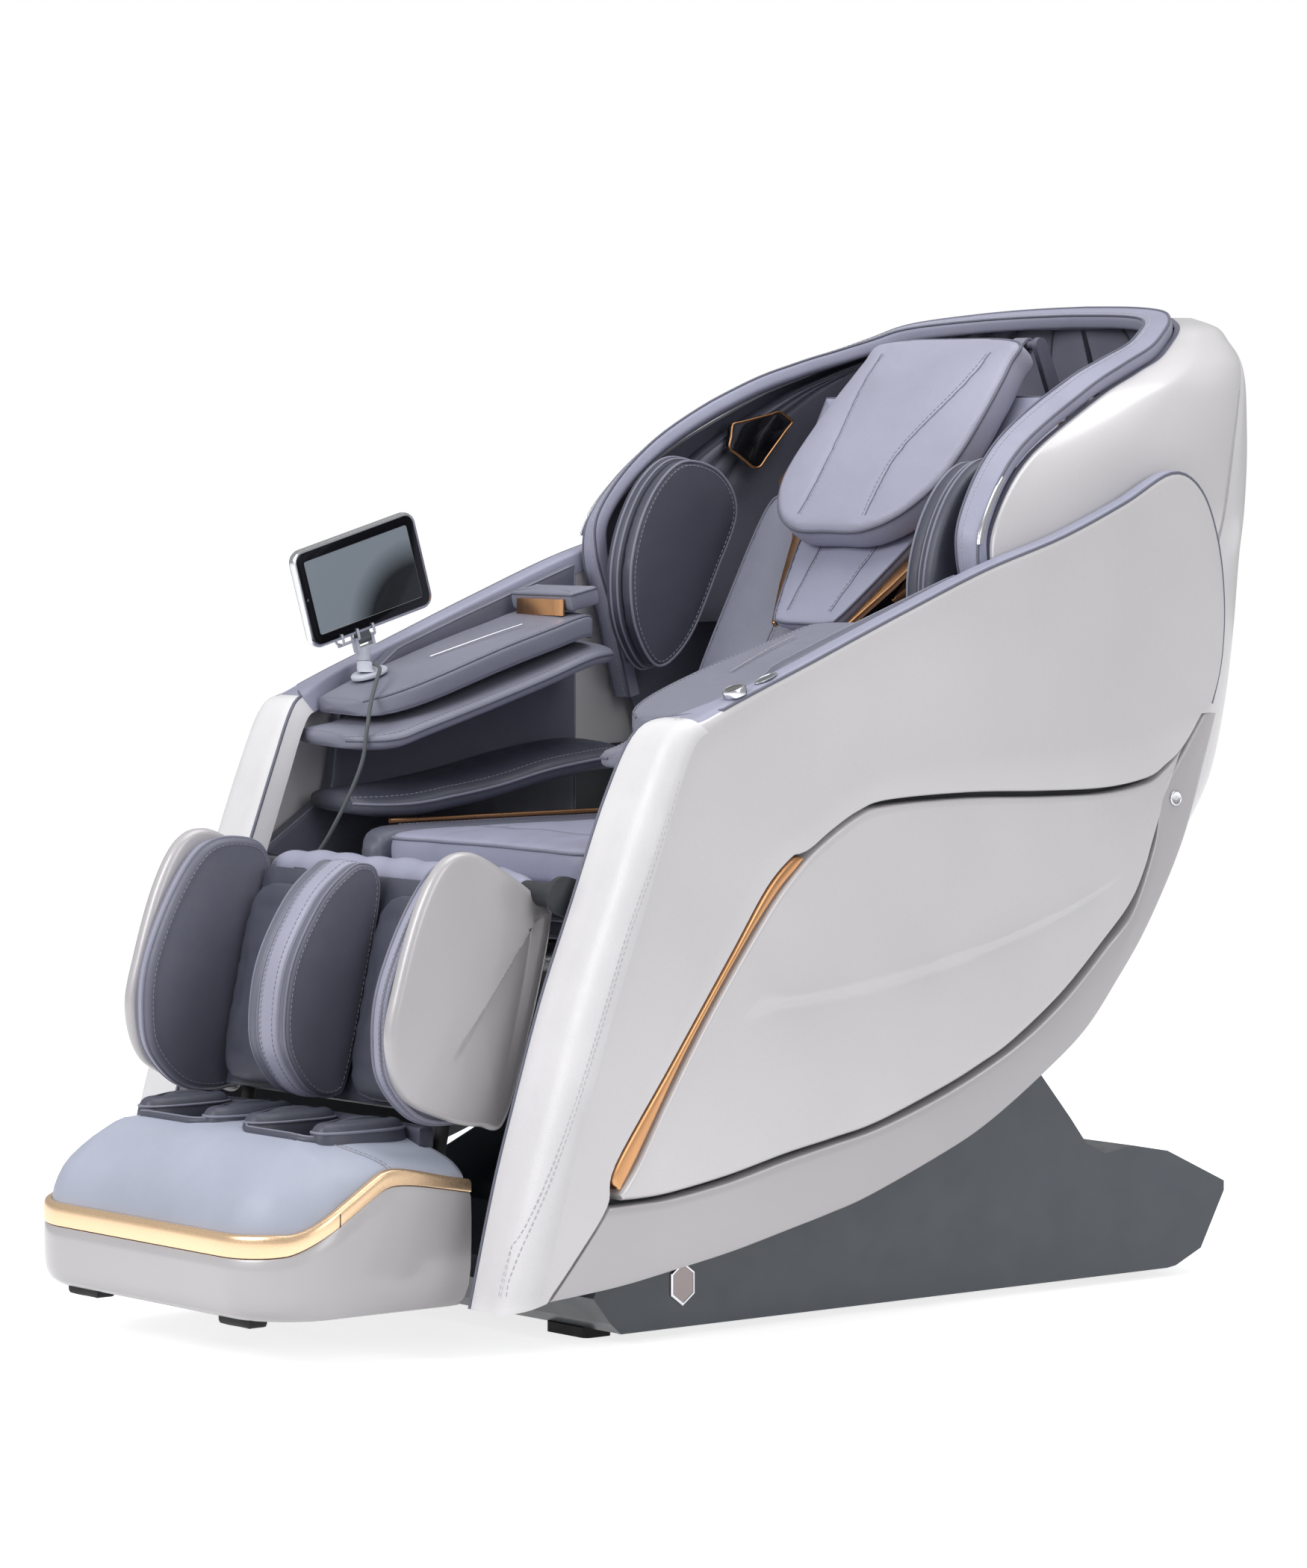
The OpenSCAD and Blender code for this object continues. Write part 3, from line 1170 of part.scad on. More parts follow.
// Route of the tablet's lead, from the stand to the socket in the seat's side
LEAD = [[-317, -192, 749.5], [-313, -193, 749.5], [-300, -198, 748], [-278, -212, 744],
    [-256, -234, 730], [-238, -255, 706], [-225, -270, 676], [-221, -279, 642],
    [-224, -292, 608], [-234, -306, 572], [-252, -316, 538], [-276, -322, 514],
    [-plate_in + seat_gap, -323, 506]];
module tablet_lead() {
    line = smooth_line(LEAD, 5);
    last = len(line) - 1;
    color("#1d1e21") skin([for (i = [0 : last])
        let (t = unit(line[min(i + 1, last)] - line[max(i - 1, 0)]),
            side = unit(cross(t, [1, 0, 0])), up = cross(t, side))
        [for (a = [0 : 45 : 315]) line[i] + lead_d / 2 * (cos(a) * side + sin(a) * up)]]);
}

base_cover();
base_frame();
slide_rails();
base_feet();
badge_plates();
power_box();
power_switch();
transport_axle();
slide_screw_motor();
carriage_frame();
tilt_actuator_tube();
tilt_actuator_rod();
recline_actuator_tube();
recline_actuator_rod();
seat_frame();
seat_cushion();
seat_bolsters();
seat_front_layers();
control_box();
air_pump();
arm_shells();
side_carriers();
leaf_panels();
skirt_panels();
copper_strips();
screw_caps();
arm_linings();
arm_trays();
arm_flap_pads();
hand_pads();
arm_dial();
tablet_stand();
tablet_yoke();
tablet();
tablet_lead();
back_frame();
track_rails();
hood_sides();
back_shell();
hood_rim();
hood_lining();
back_pads();
back_cloth();
back_chevrons();
neck_panel();
shoulder_pads();
speaker_panels();
head_pillow();
massage_carriage();
kneading_arms();
leg_frame();
leg_actuator_tube();
leg_actuator_rod();
calf_shells();
calf_pads();
leg_divider();
foot_shell();
foot_band();
foot_pads();
foot_rollers();
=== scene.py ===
"""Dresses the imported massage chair: shells, leather, trims, cushions, tablet, floor and light."""

from __future__ import annotations

import json
import logging
import math
from dataclasses import dataclass, field
from enum import Enum
from typing import Callable, ClassVar, Iterable, Sequence

import bmesh
import bpy
import numpy as np
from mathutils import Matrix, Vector
from mathutils.bvhtree import BVHTree

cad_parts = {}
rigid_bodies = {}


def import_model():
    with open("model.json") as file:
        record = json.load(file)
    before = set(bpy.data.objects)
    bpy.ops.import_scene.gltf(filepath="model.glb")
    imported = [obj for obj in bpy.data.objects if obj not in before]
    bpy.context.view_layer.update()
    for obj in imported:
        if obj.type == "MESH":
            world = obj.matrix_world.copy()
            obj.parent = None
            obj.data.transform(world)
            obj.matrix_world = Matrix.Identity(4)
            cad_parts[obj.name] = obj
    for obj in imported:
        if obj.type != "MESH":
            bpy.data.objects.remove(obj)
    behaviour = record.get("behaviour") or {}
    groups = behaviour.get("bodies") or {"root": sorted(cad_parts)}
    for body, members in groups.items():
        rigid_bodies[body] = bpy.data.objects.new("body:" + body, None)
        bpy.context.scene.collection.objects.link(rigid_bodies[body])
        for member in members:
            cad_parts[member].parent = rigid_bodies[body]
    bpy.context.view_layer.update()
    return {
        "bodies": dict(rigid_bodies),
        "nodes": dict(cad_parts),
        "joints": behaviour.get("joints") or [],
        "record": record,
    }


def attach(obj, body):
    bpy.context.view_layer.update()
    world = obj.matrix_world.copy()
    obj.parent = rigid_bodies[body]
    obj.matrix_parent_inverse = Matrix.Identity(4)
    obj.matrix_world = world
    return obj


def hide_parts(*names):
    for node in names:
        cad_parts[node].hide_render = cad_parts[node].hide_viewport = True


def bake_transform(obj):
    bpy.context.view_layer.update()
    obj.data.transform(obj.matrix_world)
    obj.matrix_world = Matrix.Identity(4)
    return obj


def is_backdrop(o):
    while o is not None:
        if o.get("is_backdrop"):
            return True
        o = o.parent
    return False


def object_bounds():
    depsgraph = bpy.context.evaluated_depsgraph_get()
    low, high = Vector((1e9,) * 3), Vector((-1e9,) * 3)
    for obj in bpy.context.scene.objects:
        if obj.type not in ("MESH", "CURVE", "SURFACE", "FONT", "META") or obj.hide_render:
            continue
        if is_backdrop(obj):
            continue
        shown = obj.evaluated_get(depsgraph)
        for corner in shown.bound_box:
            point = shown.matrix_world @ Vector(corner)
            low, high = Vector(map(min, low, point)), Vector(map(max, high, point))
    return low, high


LOG = logging.getLogger("massage_chair")
MM = 0.001
Points = np.ndarray
Socket = bpy.types.NodeSocket
TINY = 1e-9
WELD_M = 2e-6
STITCH_SHARE = 0.62
TUBE_START = (0.31, 0.2, 0.93)
NODE_SHARP = 32
RGB = Triple = tuple[float, float, float]


# ---- curves


def smooth_line(points: Sequence, steps: int, closed: bool = False) -> Points:
    """Smooth line through the points, by the Catmull-Rom rule.

    Args:
        points: the points that it passes through.
        steps: stations to a span.
        closed: whether it returns to its first point.

    Returns:
        The stations; an open line ends with its last point.
    """
    p = np.asarray(points, float)
    count = len(p)
    made = []
    for i in range(count if closed else count - 1):
        near = [k % count if closed else min(max(k, 0), count - 1) for k in range(i - 1, i + 3)]
        a, b, c, d = p[near]
        bend, twist = 2 * a - 5 * b + 4 * c - d, 3 * b - a - 3 * c + d
        for t in (k / steps for k in range(steps)):
            made.append(0.5 * (2 * b + (c - a) * t + bend * t * t + twist * t**3))
    return np.array(made if closed else [*made, p[-1]])


def smooth_loop(points: Sequence, steps: int) -> Points:
    """Smooth closed loop through the points, without a repeated first one."""
    return smooth_line(points, steps, closed=True)


def unit(v: Points) -> Points:
    """Rows of v at length 1."""
    v = np.asarray(v, float)
    return v / np.maximum(np.linalg.norm(v, axis=-1, keepdims=True), TINY)


def drawn_in(loop: Points, d: float) -> Points:
    """A flat loop drawn in by d along its own normals.

    Args:
        loop: the loop, as rows of two numbers.
        d: how far in; negative is out.

    Returns:
        The new loop.
    """
    t = unit(np.roll(loop, -1, 0) - np.roll(loop, 1, 0))
    nxt = np.roll(loop, -1, 0)
    side = math.copysign(1, float(np.sum(loop[:, 0] * nxt[:, 1] - nxt[:, 0] * loop[:, 1])))
    return loop + side * d * np.stack([-t[:, 1], t[:, 0]], 1)


def resampled(path: Points, gap: float, closed: bool = False) -> Points:
    """A path with its stations an even gap apart.

    Args:
        path: rows of points.
        gap: wanted spacing in millimetres.
        closed: whether the path returns to its start.

    Returns:
        The new stations.
    """
    p = np.vstack([path, path[:1]]) if closed else np.asarray(path, float)
    s = np.concatenate([[0], np.cumsum(np.linalg.norm(np.diff(p, axis=0), axis=1))])
    n = max(2, round(s[-1] / gap))
    at = np.linspace(0, s[-1], n + (0 if closed else 1), endpoint=not closed)
    return np.stack([np.interp(at, s, p[:, k]) for k in range(p.shape[1])], 1)


def ease(x: float | Points, a: float, b: float) -> float | Points:
    """Smooth step of x from 0 at a to 1 at b."""
    f = np.clip((np.asarray(x, float) - a) / (b - a), 0, 1)
    return f * f * (3 - 2 * f)


def raised(flat: Points, height: float | Points) -> Points:
    """Flat points with a height, or one for each, as their third number."""
    return np.column_stack([flat, np.full(len(flat), height)])


def scaled(ring: Points, k: float) -> Points:
    """A ring made k times as large about its middle."""
    return ring.mean(0) + (ring - ring.mean(0)) * k


# ---- flat outlines


def even(points: Sequence, gap: float) -> Points:
    """Closed outline with straight sides and its stations an even gap apart."""
    return resampled(np.array(points, float), gap, True)


def both_halves(right: Sequence) -> list:
    """An outline's right half followed by the mirror image of it."""
    return [*right, *[(-x, y) for x, y in right[::-1] if x]]


def oblong(x0: float, x1: float, y0: float, y1: float, gap: float) -> Points:
    """Outline of a rectangle from its four sides and the gap between stations."""
    return even([(x0, y0), (x1, y0), (x1, y1), (x0, y1)], gap)


def rounded(x0: float, x1: float, y0: float, y1: float, r: float, step: int = 15) -> Points:
    """Outline of a rectangle with corners of radius r.

    Args:
        x0: its left side.
        x1: its right side.
        y0: its lower side.
        y1: its upper side.
        r: radius of its corners.
        step: degrees from one point of a corner to the next.

    Returns:
        The outline, which starts at the lower right.
    """
    turns = ((x1 - r, y0 + r, -90), (x1 - r, y1 - r, 0), (x0 + r, y1 - r, 90), (x0 + r, y0 + r, 180))
    angles = [(x, y, math.radians(a)) for x, y, start in turns for a in range(start, start + 91, step)]
    return np.array([(x + r * math.cos(a), y + r * math.sin(a)) for x, y, a in angles])


def oval(count: int, a: float, b: float, power: float = 1, turn: float = 0) -> Points:
    """Oval outline, squared off by a power below 1.

    Args:
        count: its number of points.
        a: half its width.
        b: half its height.
        power: 1 for a true oval, less for squarer corners.
        turn: angle of its first point in radians.

    Returns:
        The outline.
    """
    q = np.linspace(0, 2 * math.pi, count, endpoint=False) + turn
    c, s = np.cos(q), np.sin(q)
    return np.stack([a * np.sign(c) * np.abs(c) ** power, b * np.sign(s) * np.abs(s) ** power], 1)


def folds(p: Points, depth: float, width: float) -> Points:
    """Depth of a sewn fold at signed distances from its line."""
    return depth * np.exp(-((p / width) ** 2))


# ---- placing


@dataclass(frozen=True)
class Placement:
    """Where a local drawing lies in the chair, in millimetres."""

    origin: Triple
    u: Triple
    v: Triple
    w: Triple

    def at(self, points: Sequence, height: float = 0) -> Points:
        """Local points in the chair's frame: rows of three numbers, or of two at a height.

        Args:
            points: rows of three numbers, or of two.
            height: third number of rows of two.

        Returns:
            The points in the chair's frame.
        """
        p = np.atleast_2d(np.asarray(points, float))
        if p.shape[1] == 2:
            p = raised(p, height)
        return np.asarray(self.origin) + p @ np.array([self.u, self.v, self.w], float)

    def turned(self, profile: Sequence, sides: int) -> list[Points]:
        """Round rings about w, one for each (radius, height) of a profile."""
        return [self.at(oval(sides, r, r), h) for r, h in profile]

    @staticmethod
    def flat(x: float, y: float, z: float, lean: float = 0) -> "Placement":
        """A drawing of (x, y) seen from above, its rear raised by lean degrees."""
        s, c = math.sin(math.radians(lean)), math.cos(math.radians(lean))
        return Placement((x, y, z), (1, 0, 0), (0, c, s), (0, -s, c))

    @staticmethod
    def side(x: float, outward: bool = True) -> "Placement":
        """A drawing of (y, z) on the plane at x, which grows out of the chair or into it."""
        return Placement((x, 0, 0), (0, 1, 0), (0, 0, 1), (1 if outward else -1, 0, 0))

    @staticmethod
    def back(y: float, z: float, lean: float = 30, x: float = 0, yaw: float = 0) -> "Placement":
        """A drawing that leans back with the backrest, turned to the middle by yaw degrees.

        Args:
            y: its origin from front to rear.
            z: its origin's height.
            lean: degrees that it leans back.
            x: its origin from side to side.
            yaw: degrees that it is turned.

        Returns:
            The placement.
        """
        s, c = math.sin(math.radians(lean)), math.cos(math.radians(lean))
        n = np.array([0, -c, s])
        a, b = math.cos(math.radians(yaw)), math.sin(math.radians(yaw))
        u = a * np.array([1, 0, 0]) + b * n
        w = -b * np.array([1, 0, 0]) + a * n
        return Placement((x, y, z), tuple(u), (0, s, c), tuple(w))

    def moved(self, u: float = 0, v: float = 0, w: float = 0) -> "Placement":
        """The same placement with its origin moved along its own directions."""
        return Placement(tuple(self.at([[u, v, w]])[0]), self.u, self.v, self.w)


HALF_WIDTH = 411
LEG_PIVOT = (-388.0, 515.0)
LEG = Placement((0, *LEG_PIVOT), (1, 0, 0), (0, 0.97437, -0.22495), (0, 0.22495, 0.97437))


# ---- finishes


class Wiring:
    """Short hand for a node tree."""

    def __init__(self, tree: bpy.types.NodeTree) -> None:
        """Keeps the tree's nodes and links."""
        self.nodes, self.links = tree.nodes, tree.links

    def put(self, value: object, socket: Socket) -> None:
        """Links an output to an input socket, or sets a plain value on it."""
        if isinstance(value, Socket):
            self.links.new(value, socket)
        else:
            socket.default_value = value

    def maths(self, operation: str, *values: object) -> Socket:
        """Result of a sum on values or output sockets.

        Args:
            operation: the sum's name in Blender.
            values: plain values or output sockets.

        Returns:
            The output socket.
        """
        made = self.nodes.new("ShaderNodeMath")
        made.operation = operation
        for value, socket in zip(values, made.inputs):
            self.put(value, socket)
        return made.outputs[0]

    def node(self, kind: str, **sockets: object) -> bpy.types.Node:
        """A node with its inputs set or linked.

        Args:
            kind: Blender's name of the node, without ShaderNode.
            sockets: values or output sockets by input name, with _ for a space.

        Returns:
            The new node.
        """
        made = self.nodes.new(f"ShaderNode{kind}")
        for key, value in sockets.items():
            self.put(value, made.inputs[key.replace("_", " ")])
        return made


class Painter(Wiring):
    """Short hand for a material with one Principled shader."""

    def __init__(self, name: str) -> None:
        """Starts a material with object coordinates.

        Args:
            name: the material's name.
        """
        self.material = bpy.data.materials.new(name)
        self.material.use_nodes = True
        super().__init__(self.material.node_tree)
        self.shader = self.nodes["Principled BSDF"]
        self.place = self.nodes.new("ShaderNodeTexCoord").outputs["Object"]

    def noise(self, scale: float, detail: float = 3, stretch: RGB = (1, 1, 1)) -> Socket:
        """Noise over the surface, by its scale per metre and how much it is stretched."""
        place = self.node("Mapping", Vector=self.place, Scale=stretch).outputs["Vector"]
        return self.node("TexNoise", Vector=place, Scale=scale, Detail=detail).outputs["Fac"]

    def span(
        self, value: Socket, low: float, high: float, start: float = 0.3, end: float = 0.7
    ) -> Socket:
        """A value that goes from low to high while another goes from start to end."""
        ends = {"From_Min": start, "From_Max": end, "To_Min": low, "To_Max": high}
        return self.node("MapRange", Value=value, **ends).outputs["Result"]

    def tint(self, value: Socket, dark: RGB, light: RGB) -> Socket:
        """A colour between two that follows a value.

        Args:
            value: what it follows, 0 to 1.
            dark: colour at 0.
            light: colour at 1.

        Returns:
            The output socket.
        """
        made = self.nodes.new("ShaderNodeMix")
        made.data_type = "RGBA"
        self.links.new(value, made.inputs["Factor"])
        made.inputs[6].default_value, made.inputs[7].default_value = (*dark, 1), (*light, 1)
        return made.outputs[2]

    def bump(
        self, height: Socket, depth: float, under: Socket | None = None
    ) -> Socket:
        """A bumped normal of a real depth in metres, over another one if given.

        Args:
            height: the relief.
            depth: its depth.
            under: the normal below it.

        Returns:
            The output socket.
        """
        made = self.node("Bump", Height=height, Distance=depth, Strength=1.0)
        if under is not None:
            self.links.new(under, made.inputs["Normal"])
        return made.outputs["Normal"]

    def set(self, **sockets: object) -> None:
        """Sets or links inputs of the Principled shader."""
        for key, value in sockets.items():
            self.put(value, self.shader.inputs[key.replace("_", " ")])


@dataclass(frozen=True)
class Finish:
    """What all finishes share: a name and a colour."""

    name: str
    tone: RGB

    def shade(self, k: float) -> RGB:
        """The colour made k times as bright."""
        return tuple(min(1.0, c * k) for c in self.tone)

    def paint(self, p: Painter) -> None:
        """Fills in the material; each kind has its own."""
        raise NotImplementedError

    def material(self) -> bpy.types.Material:
        """The finish's material, made once.

        Returns:
            The material.
        """
        found = bpy.data.materials.get(self.name)
        if found is None:
            p = Painter(self.name)
            self.paint(p)
            found = p.material
        return found


@dataclass(frozen=True)
class Lacquer(Finish):
    """Pearl lacquer over moulded plastic."""

    flake: float = 0.05
    rough: float = 0.3
    coat: float = 0.5

    def paint(self, p: Painter) -> None:
        """Fine flakes, a faint drift of tone and a clear coat.

        Args:
            p: the material in the making.
        """
        flakes = p.noise(2600, 1)
        drift = p.span(p.noise(3.5, 2), 0.0, 1.0)
        p.set(
            Base_Color=p.tint(drift, self.shade(1 - self.flake), self.shade(1 + self.flake)),
            Roughness=p.span(flakes, self.rough - 0.04, self.rough + 0.06),
            Metallic=0.12,
            Coat_Weight=self.coat,
            Coat_Roughness=0.12,
            Normal=p.bump(p.noise(9, 2), 0.0004, p.bump(flakes, 0.000012)),
        )


@dataclass(frozen=True)
class Leather(Finish):
    """Soft leather with a pebbled grain, gentle creases and a painted highlight on convex edges and high
    spots.
    """

    grain: float = 750
    crease: float = 0.0012
    rough: float = 0.48

    def paint(self, p: Painter) -> None:
        """Grain cells under slow creases, with convex edges and high spots painted lighter as a highlight.

        Args:
            p: the material in the making.
        """
        cells = p.node("TexVoronoi", Vector=p.place, Scale=self.grain).outputs["Distance"]
        slow = p.noise(16, 3)
        normal = p.bump(slow, self.crease, p.bump(cells, 0.00016))
        # Painted highlight: convex edges and high spots, found by pointiness, are made lighter.
        edge = p.span(p.node("NewGeometry").outputs["Pointiness"], 0.0, 1.0, 0.49, 0.56)
        drift = p.maths("ADD", p.span(p.noise(7, 4), 0.0, 0.6), p.span(edge, 0.0, 0.4, 0.0, 1.0))
        p.set(
            Base_Color=p.tint(drift, self.shade(0.92), self.shade(1.12)),
            Roughness=p.span(p.noise(40, 3), self.rough - 0.06, self.rough + 0.1),
            Coat_Weight=0.08,
            Coat_Roughness=0.35,
            Normal=normal,
        )


@dataclass(frozen=True)
class Metal(Finish):
    """Coated or brushed metal."""

    rough: float = 0.3
    brush: RGB = (1, 1, 1)
    metallic: float = 1.0

    def paint(self, p: Painter) -> None:
        """Fine brushing along one direction, with slightly duller patches.

        Args:
            p: the material in the making.
        """
        lines = p.noise(600, 2, self.brush)
        p.set(
            Base_Color=p.tint(p.span(p.noise(5, 2), 0, 1), self.shade(0.95), self.shade(1.04)),
            Metallic=self.metallic,
            Roughness=p.span(lines, self.rough - 0.04, self.rough + 0.06),
            Normal=p.bump(lines, 0.000006),
        )


@dataclass(frozen=True)
class Moulded(Finish):
    """Moulded plastic or rubber with a spark-eroded texture."""

    rough: float = 0.5
    texture: float = 0.00006
    coat: float = 0.0

    def paint(self, p: Painter) -> None:
        """Even fine texture with dust-dulled patches.

        Args:
            p: the material in the making.
        """
        fine = p.noise(1500, 2)
        p.set(
            Base_Color=p.tint(p.span(p.noise(11, 4), 0, 1), self.shade(0.93), self.shade(1.07)),
            Roughness=p.span(p.noise(30, 3), self.rough - 0.05, self.rough + 0.07),
            Coat_Weight=self.coat,
            Coat_Roughness=0.08,
            Normal=p.bump(fine, self.texture),
        )


@dataclass(frozen=True)
class Woven(Finish):
    """Close-woven cloth."""

    pitch: float = 0.0016

    def paint(self, p: Painter) -> None:
        """Two crossing sets of threads.

        Args:
            p: the material in the making.
        """
        waves = []
        for direction in ("X", "Z"):
            wave = p.node("TexWave", Vector=p.place, Scale=1 / (self.pitch * 6.283), Distortion=0.4)
            wave.bands_direction = direction
            waves.append(wave.outputs["Fac"])
        cross = p.maths("MULTIPLY", *waves)
        p.set(
            Base_Color=p.tint(cross, self.shade(0.7), self.shade(1.2)),
            Roughness=0.85,
            Normal=p.bump(cross, 0.0002),
        )


@dataclass(frozen=True)
class Display(Finish):
    """Unlit glass over a display, with a painted reflection that darkens it round one point and leaves it
    lighter away from it.
    """

    # corner, reach and dark place the painted reflection: its middle, the distances over which it fades out,
    # and how dark it is.
    corner: RGB = (0, 0, 0)
    reach: tuple[float, float] = (8.0, 9.0)
    dark: float = 0.7

    def paint(self, p: Painter) -> None:
        """Painted reflection, a slow gradient to a curved dark patch round one point, under a mirror-smooth
        coat.

        Args:
            p: the material in the making.
        """
        # Painted reflection: the colour grows darker towards the corner point.
        far = p.node("VectorMath")
        far.operation = "DISTANCE"
        p.put(p.place, far.inputs[0])
        p.put(self.corner, far.inputs[1])
        reflection_fade = p.span(far.outputs["Value"], 0, 1, *self.reach)
        p.set(
            Base_Color=p.tint(reflection_fade, self.shade(self.dark), self.shade(1.15)),
            Roughness=p.span(p.noise(60, 2), 0.08, 0.14),
            Coat_Weight=1.0,
            Coat_Roughness=0.03,
            Normal=p.bump(p.noise(8, 1), 0.00002),
        )


PEARL = Lacquer("pearl_lacquer", (0.68, 0.665, 0.68))
# Every Leather finish paints a highlight on its convex edges and high spots.
PEARL_LEATHER = Leather("pearl_leather", (0.74, 0.73, 0.75), crease=0.0006, rough=0.4)
PEARL_REAR = Lacquer("rear_lacquer", (0.51, 0.495, 0.51), rough=0.36)
PEARL_BACK = Lacquer("back_lacquer", (0.74, 0.725, 0.745), rough=0.34)
PAD_LAVENDER = Leather("footrest_leather", (0.39, 0.42, 0.515), crease=0.0008)
LAVENDER = Leather("lavender_leather", (0.31, 0.316, 0.42))
PALE_LAVENDER = Leather("pillow_leather", (0.34, 0.343, 0.44))
SLATE = Leather("slate_leather", (0.062, 0.067, 0.095))
CALF_SLATE = Leather("calf_leather", (0.135, 0.14, 0.185))
SMOKE = Leather("smoke_leather", (0.125, 0.13, 0.175))
ASH = Leather("ash_leather", (0.20, 0.205, 0.265))
COPPER = Metal("copper_trim", (0.60, 0.32, 0.155), rough=0.3, brush=(1, 0.06, 0.06))
ROSE_GOLD = Metal("rose_gold_trim", (0.92, 0.66, 0.42), rough=0.3, metallic=0.85)
SILVER = Metal("silver_trim", (0.70, 0.71, 0.74), rough=0.2)
STEEL = Metal("plated_steel", (0.56, 0.57, 0.59), rough=0.28, brush=(0.06, 1, 1))
FRAME_PAINT = Moulded("frame_paint", (0.035, 0.038, 0.045), rough=0.42)
BASE_PLASTIC = Moulded("base_plastic", (0.056, 0.069, 0.087), rough=0.34, coat=0.3)
BLACK_PLASTIC = Moulded("black_plastic", (0.012, 0.012, 0.014), rough=0.45)
RUBBER = Moulded("black_rubber", (0.010, 0.010, 0.011), rough=0.7, texture=0.0001)
PIANO_BLACK = Display("speaker_glass", (0.006, 0.006, 0.008))
# The tablet's glass carries a painted reflection of the arm: dark round (-0.336, -0.105, 0.795) and lighter
# away from it.
SCREEN = Display("tablet_glass", (0.24, 0.275, 0.31), (-0.336, -0.105, 0.795), (0.075, 0.11), 0.1)
GREY_PLASTIC = Moulded("grey_plastic", (0.30, 0.31, 0.38), rough=0.4)
THREAD = Moulded("sewing_thread", (0.30, 0.30, 0.36), rough=0.8)
PALE_THREAD = Moulded("pale_thread", (0.50, 0.49, 0.52), rough=0.8)
BACK_CLOTH = Woven("back_cloth_weave", (0.016, 0.017, 0.021))
SHADOW_GAP = Moulded("shadow_gap", (0.006, 0.006, 0.008), rough=0.8)
BADGE = Metal("badge_metal", (0.30, 0.26, 0.26), rough=0.34)


# ---- mesh making


def placed(name: str, data: bpy.types.ID) -> bpy.types.Object:
    """A new object in the scene that shows some data."""
    item = bpy.data.objects.new(name, data)
    bpy.context.collection.objects.link(item)
    return item


def mesh_of(name: str, points: Points, faces: Sequence) -> bpy.types.Mesh:
    """A mesh from points in millimetres."""
    mesh = bpy.data.meshes.new(name)
    mesh.from_pydata((np.asarray(points) * MM).tolist(), [], faces)
    return mesh


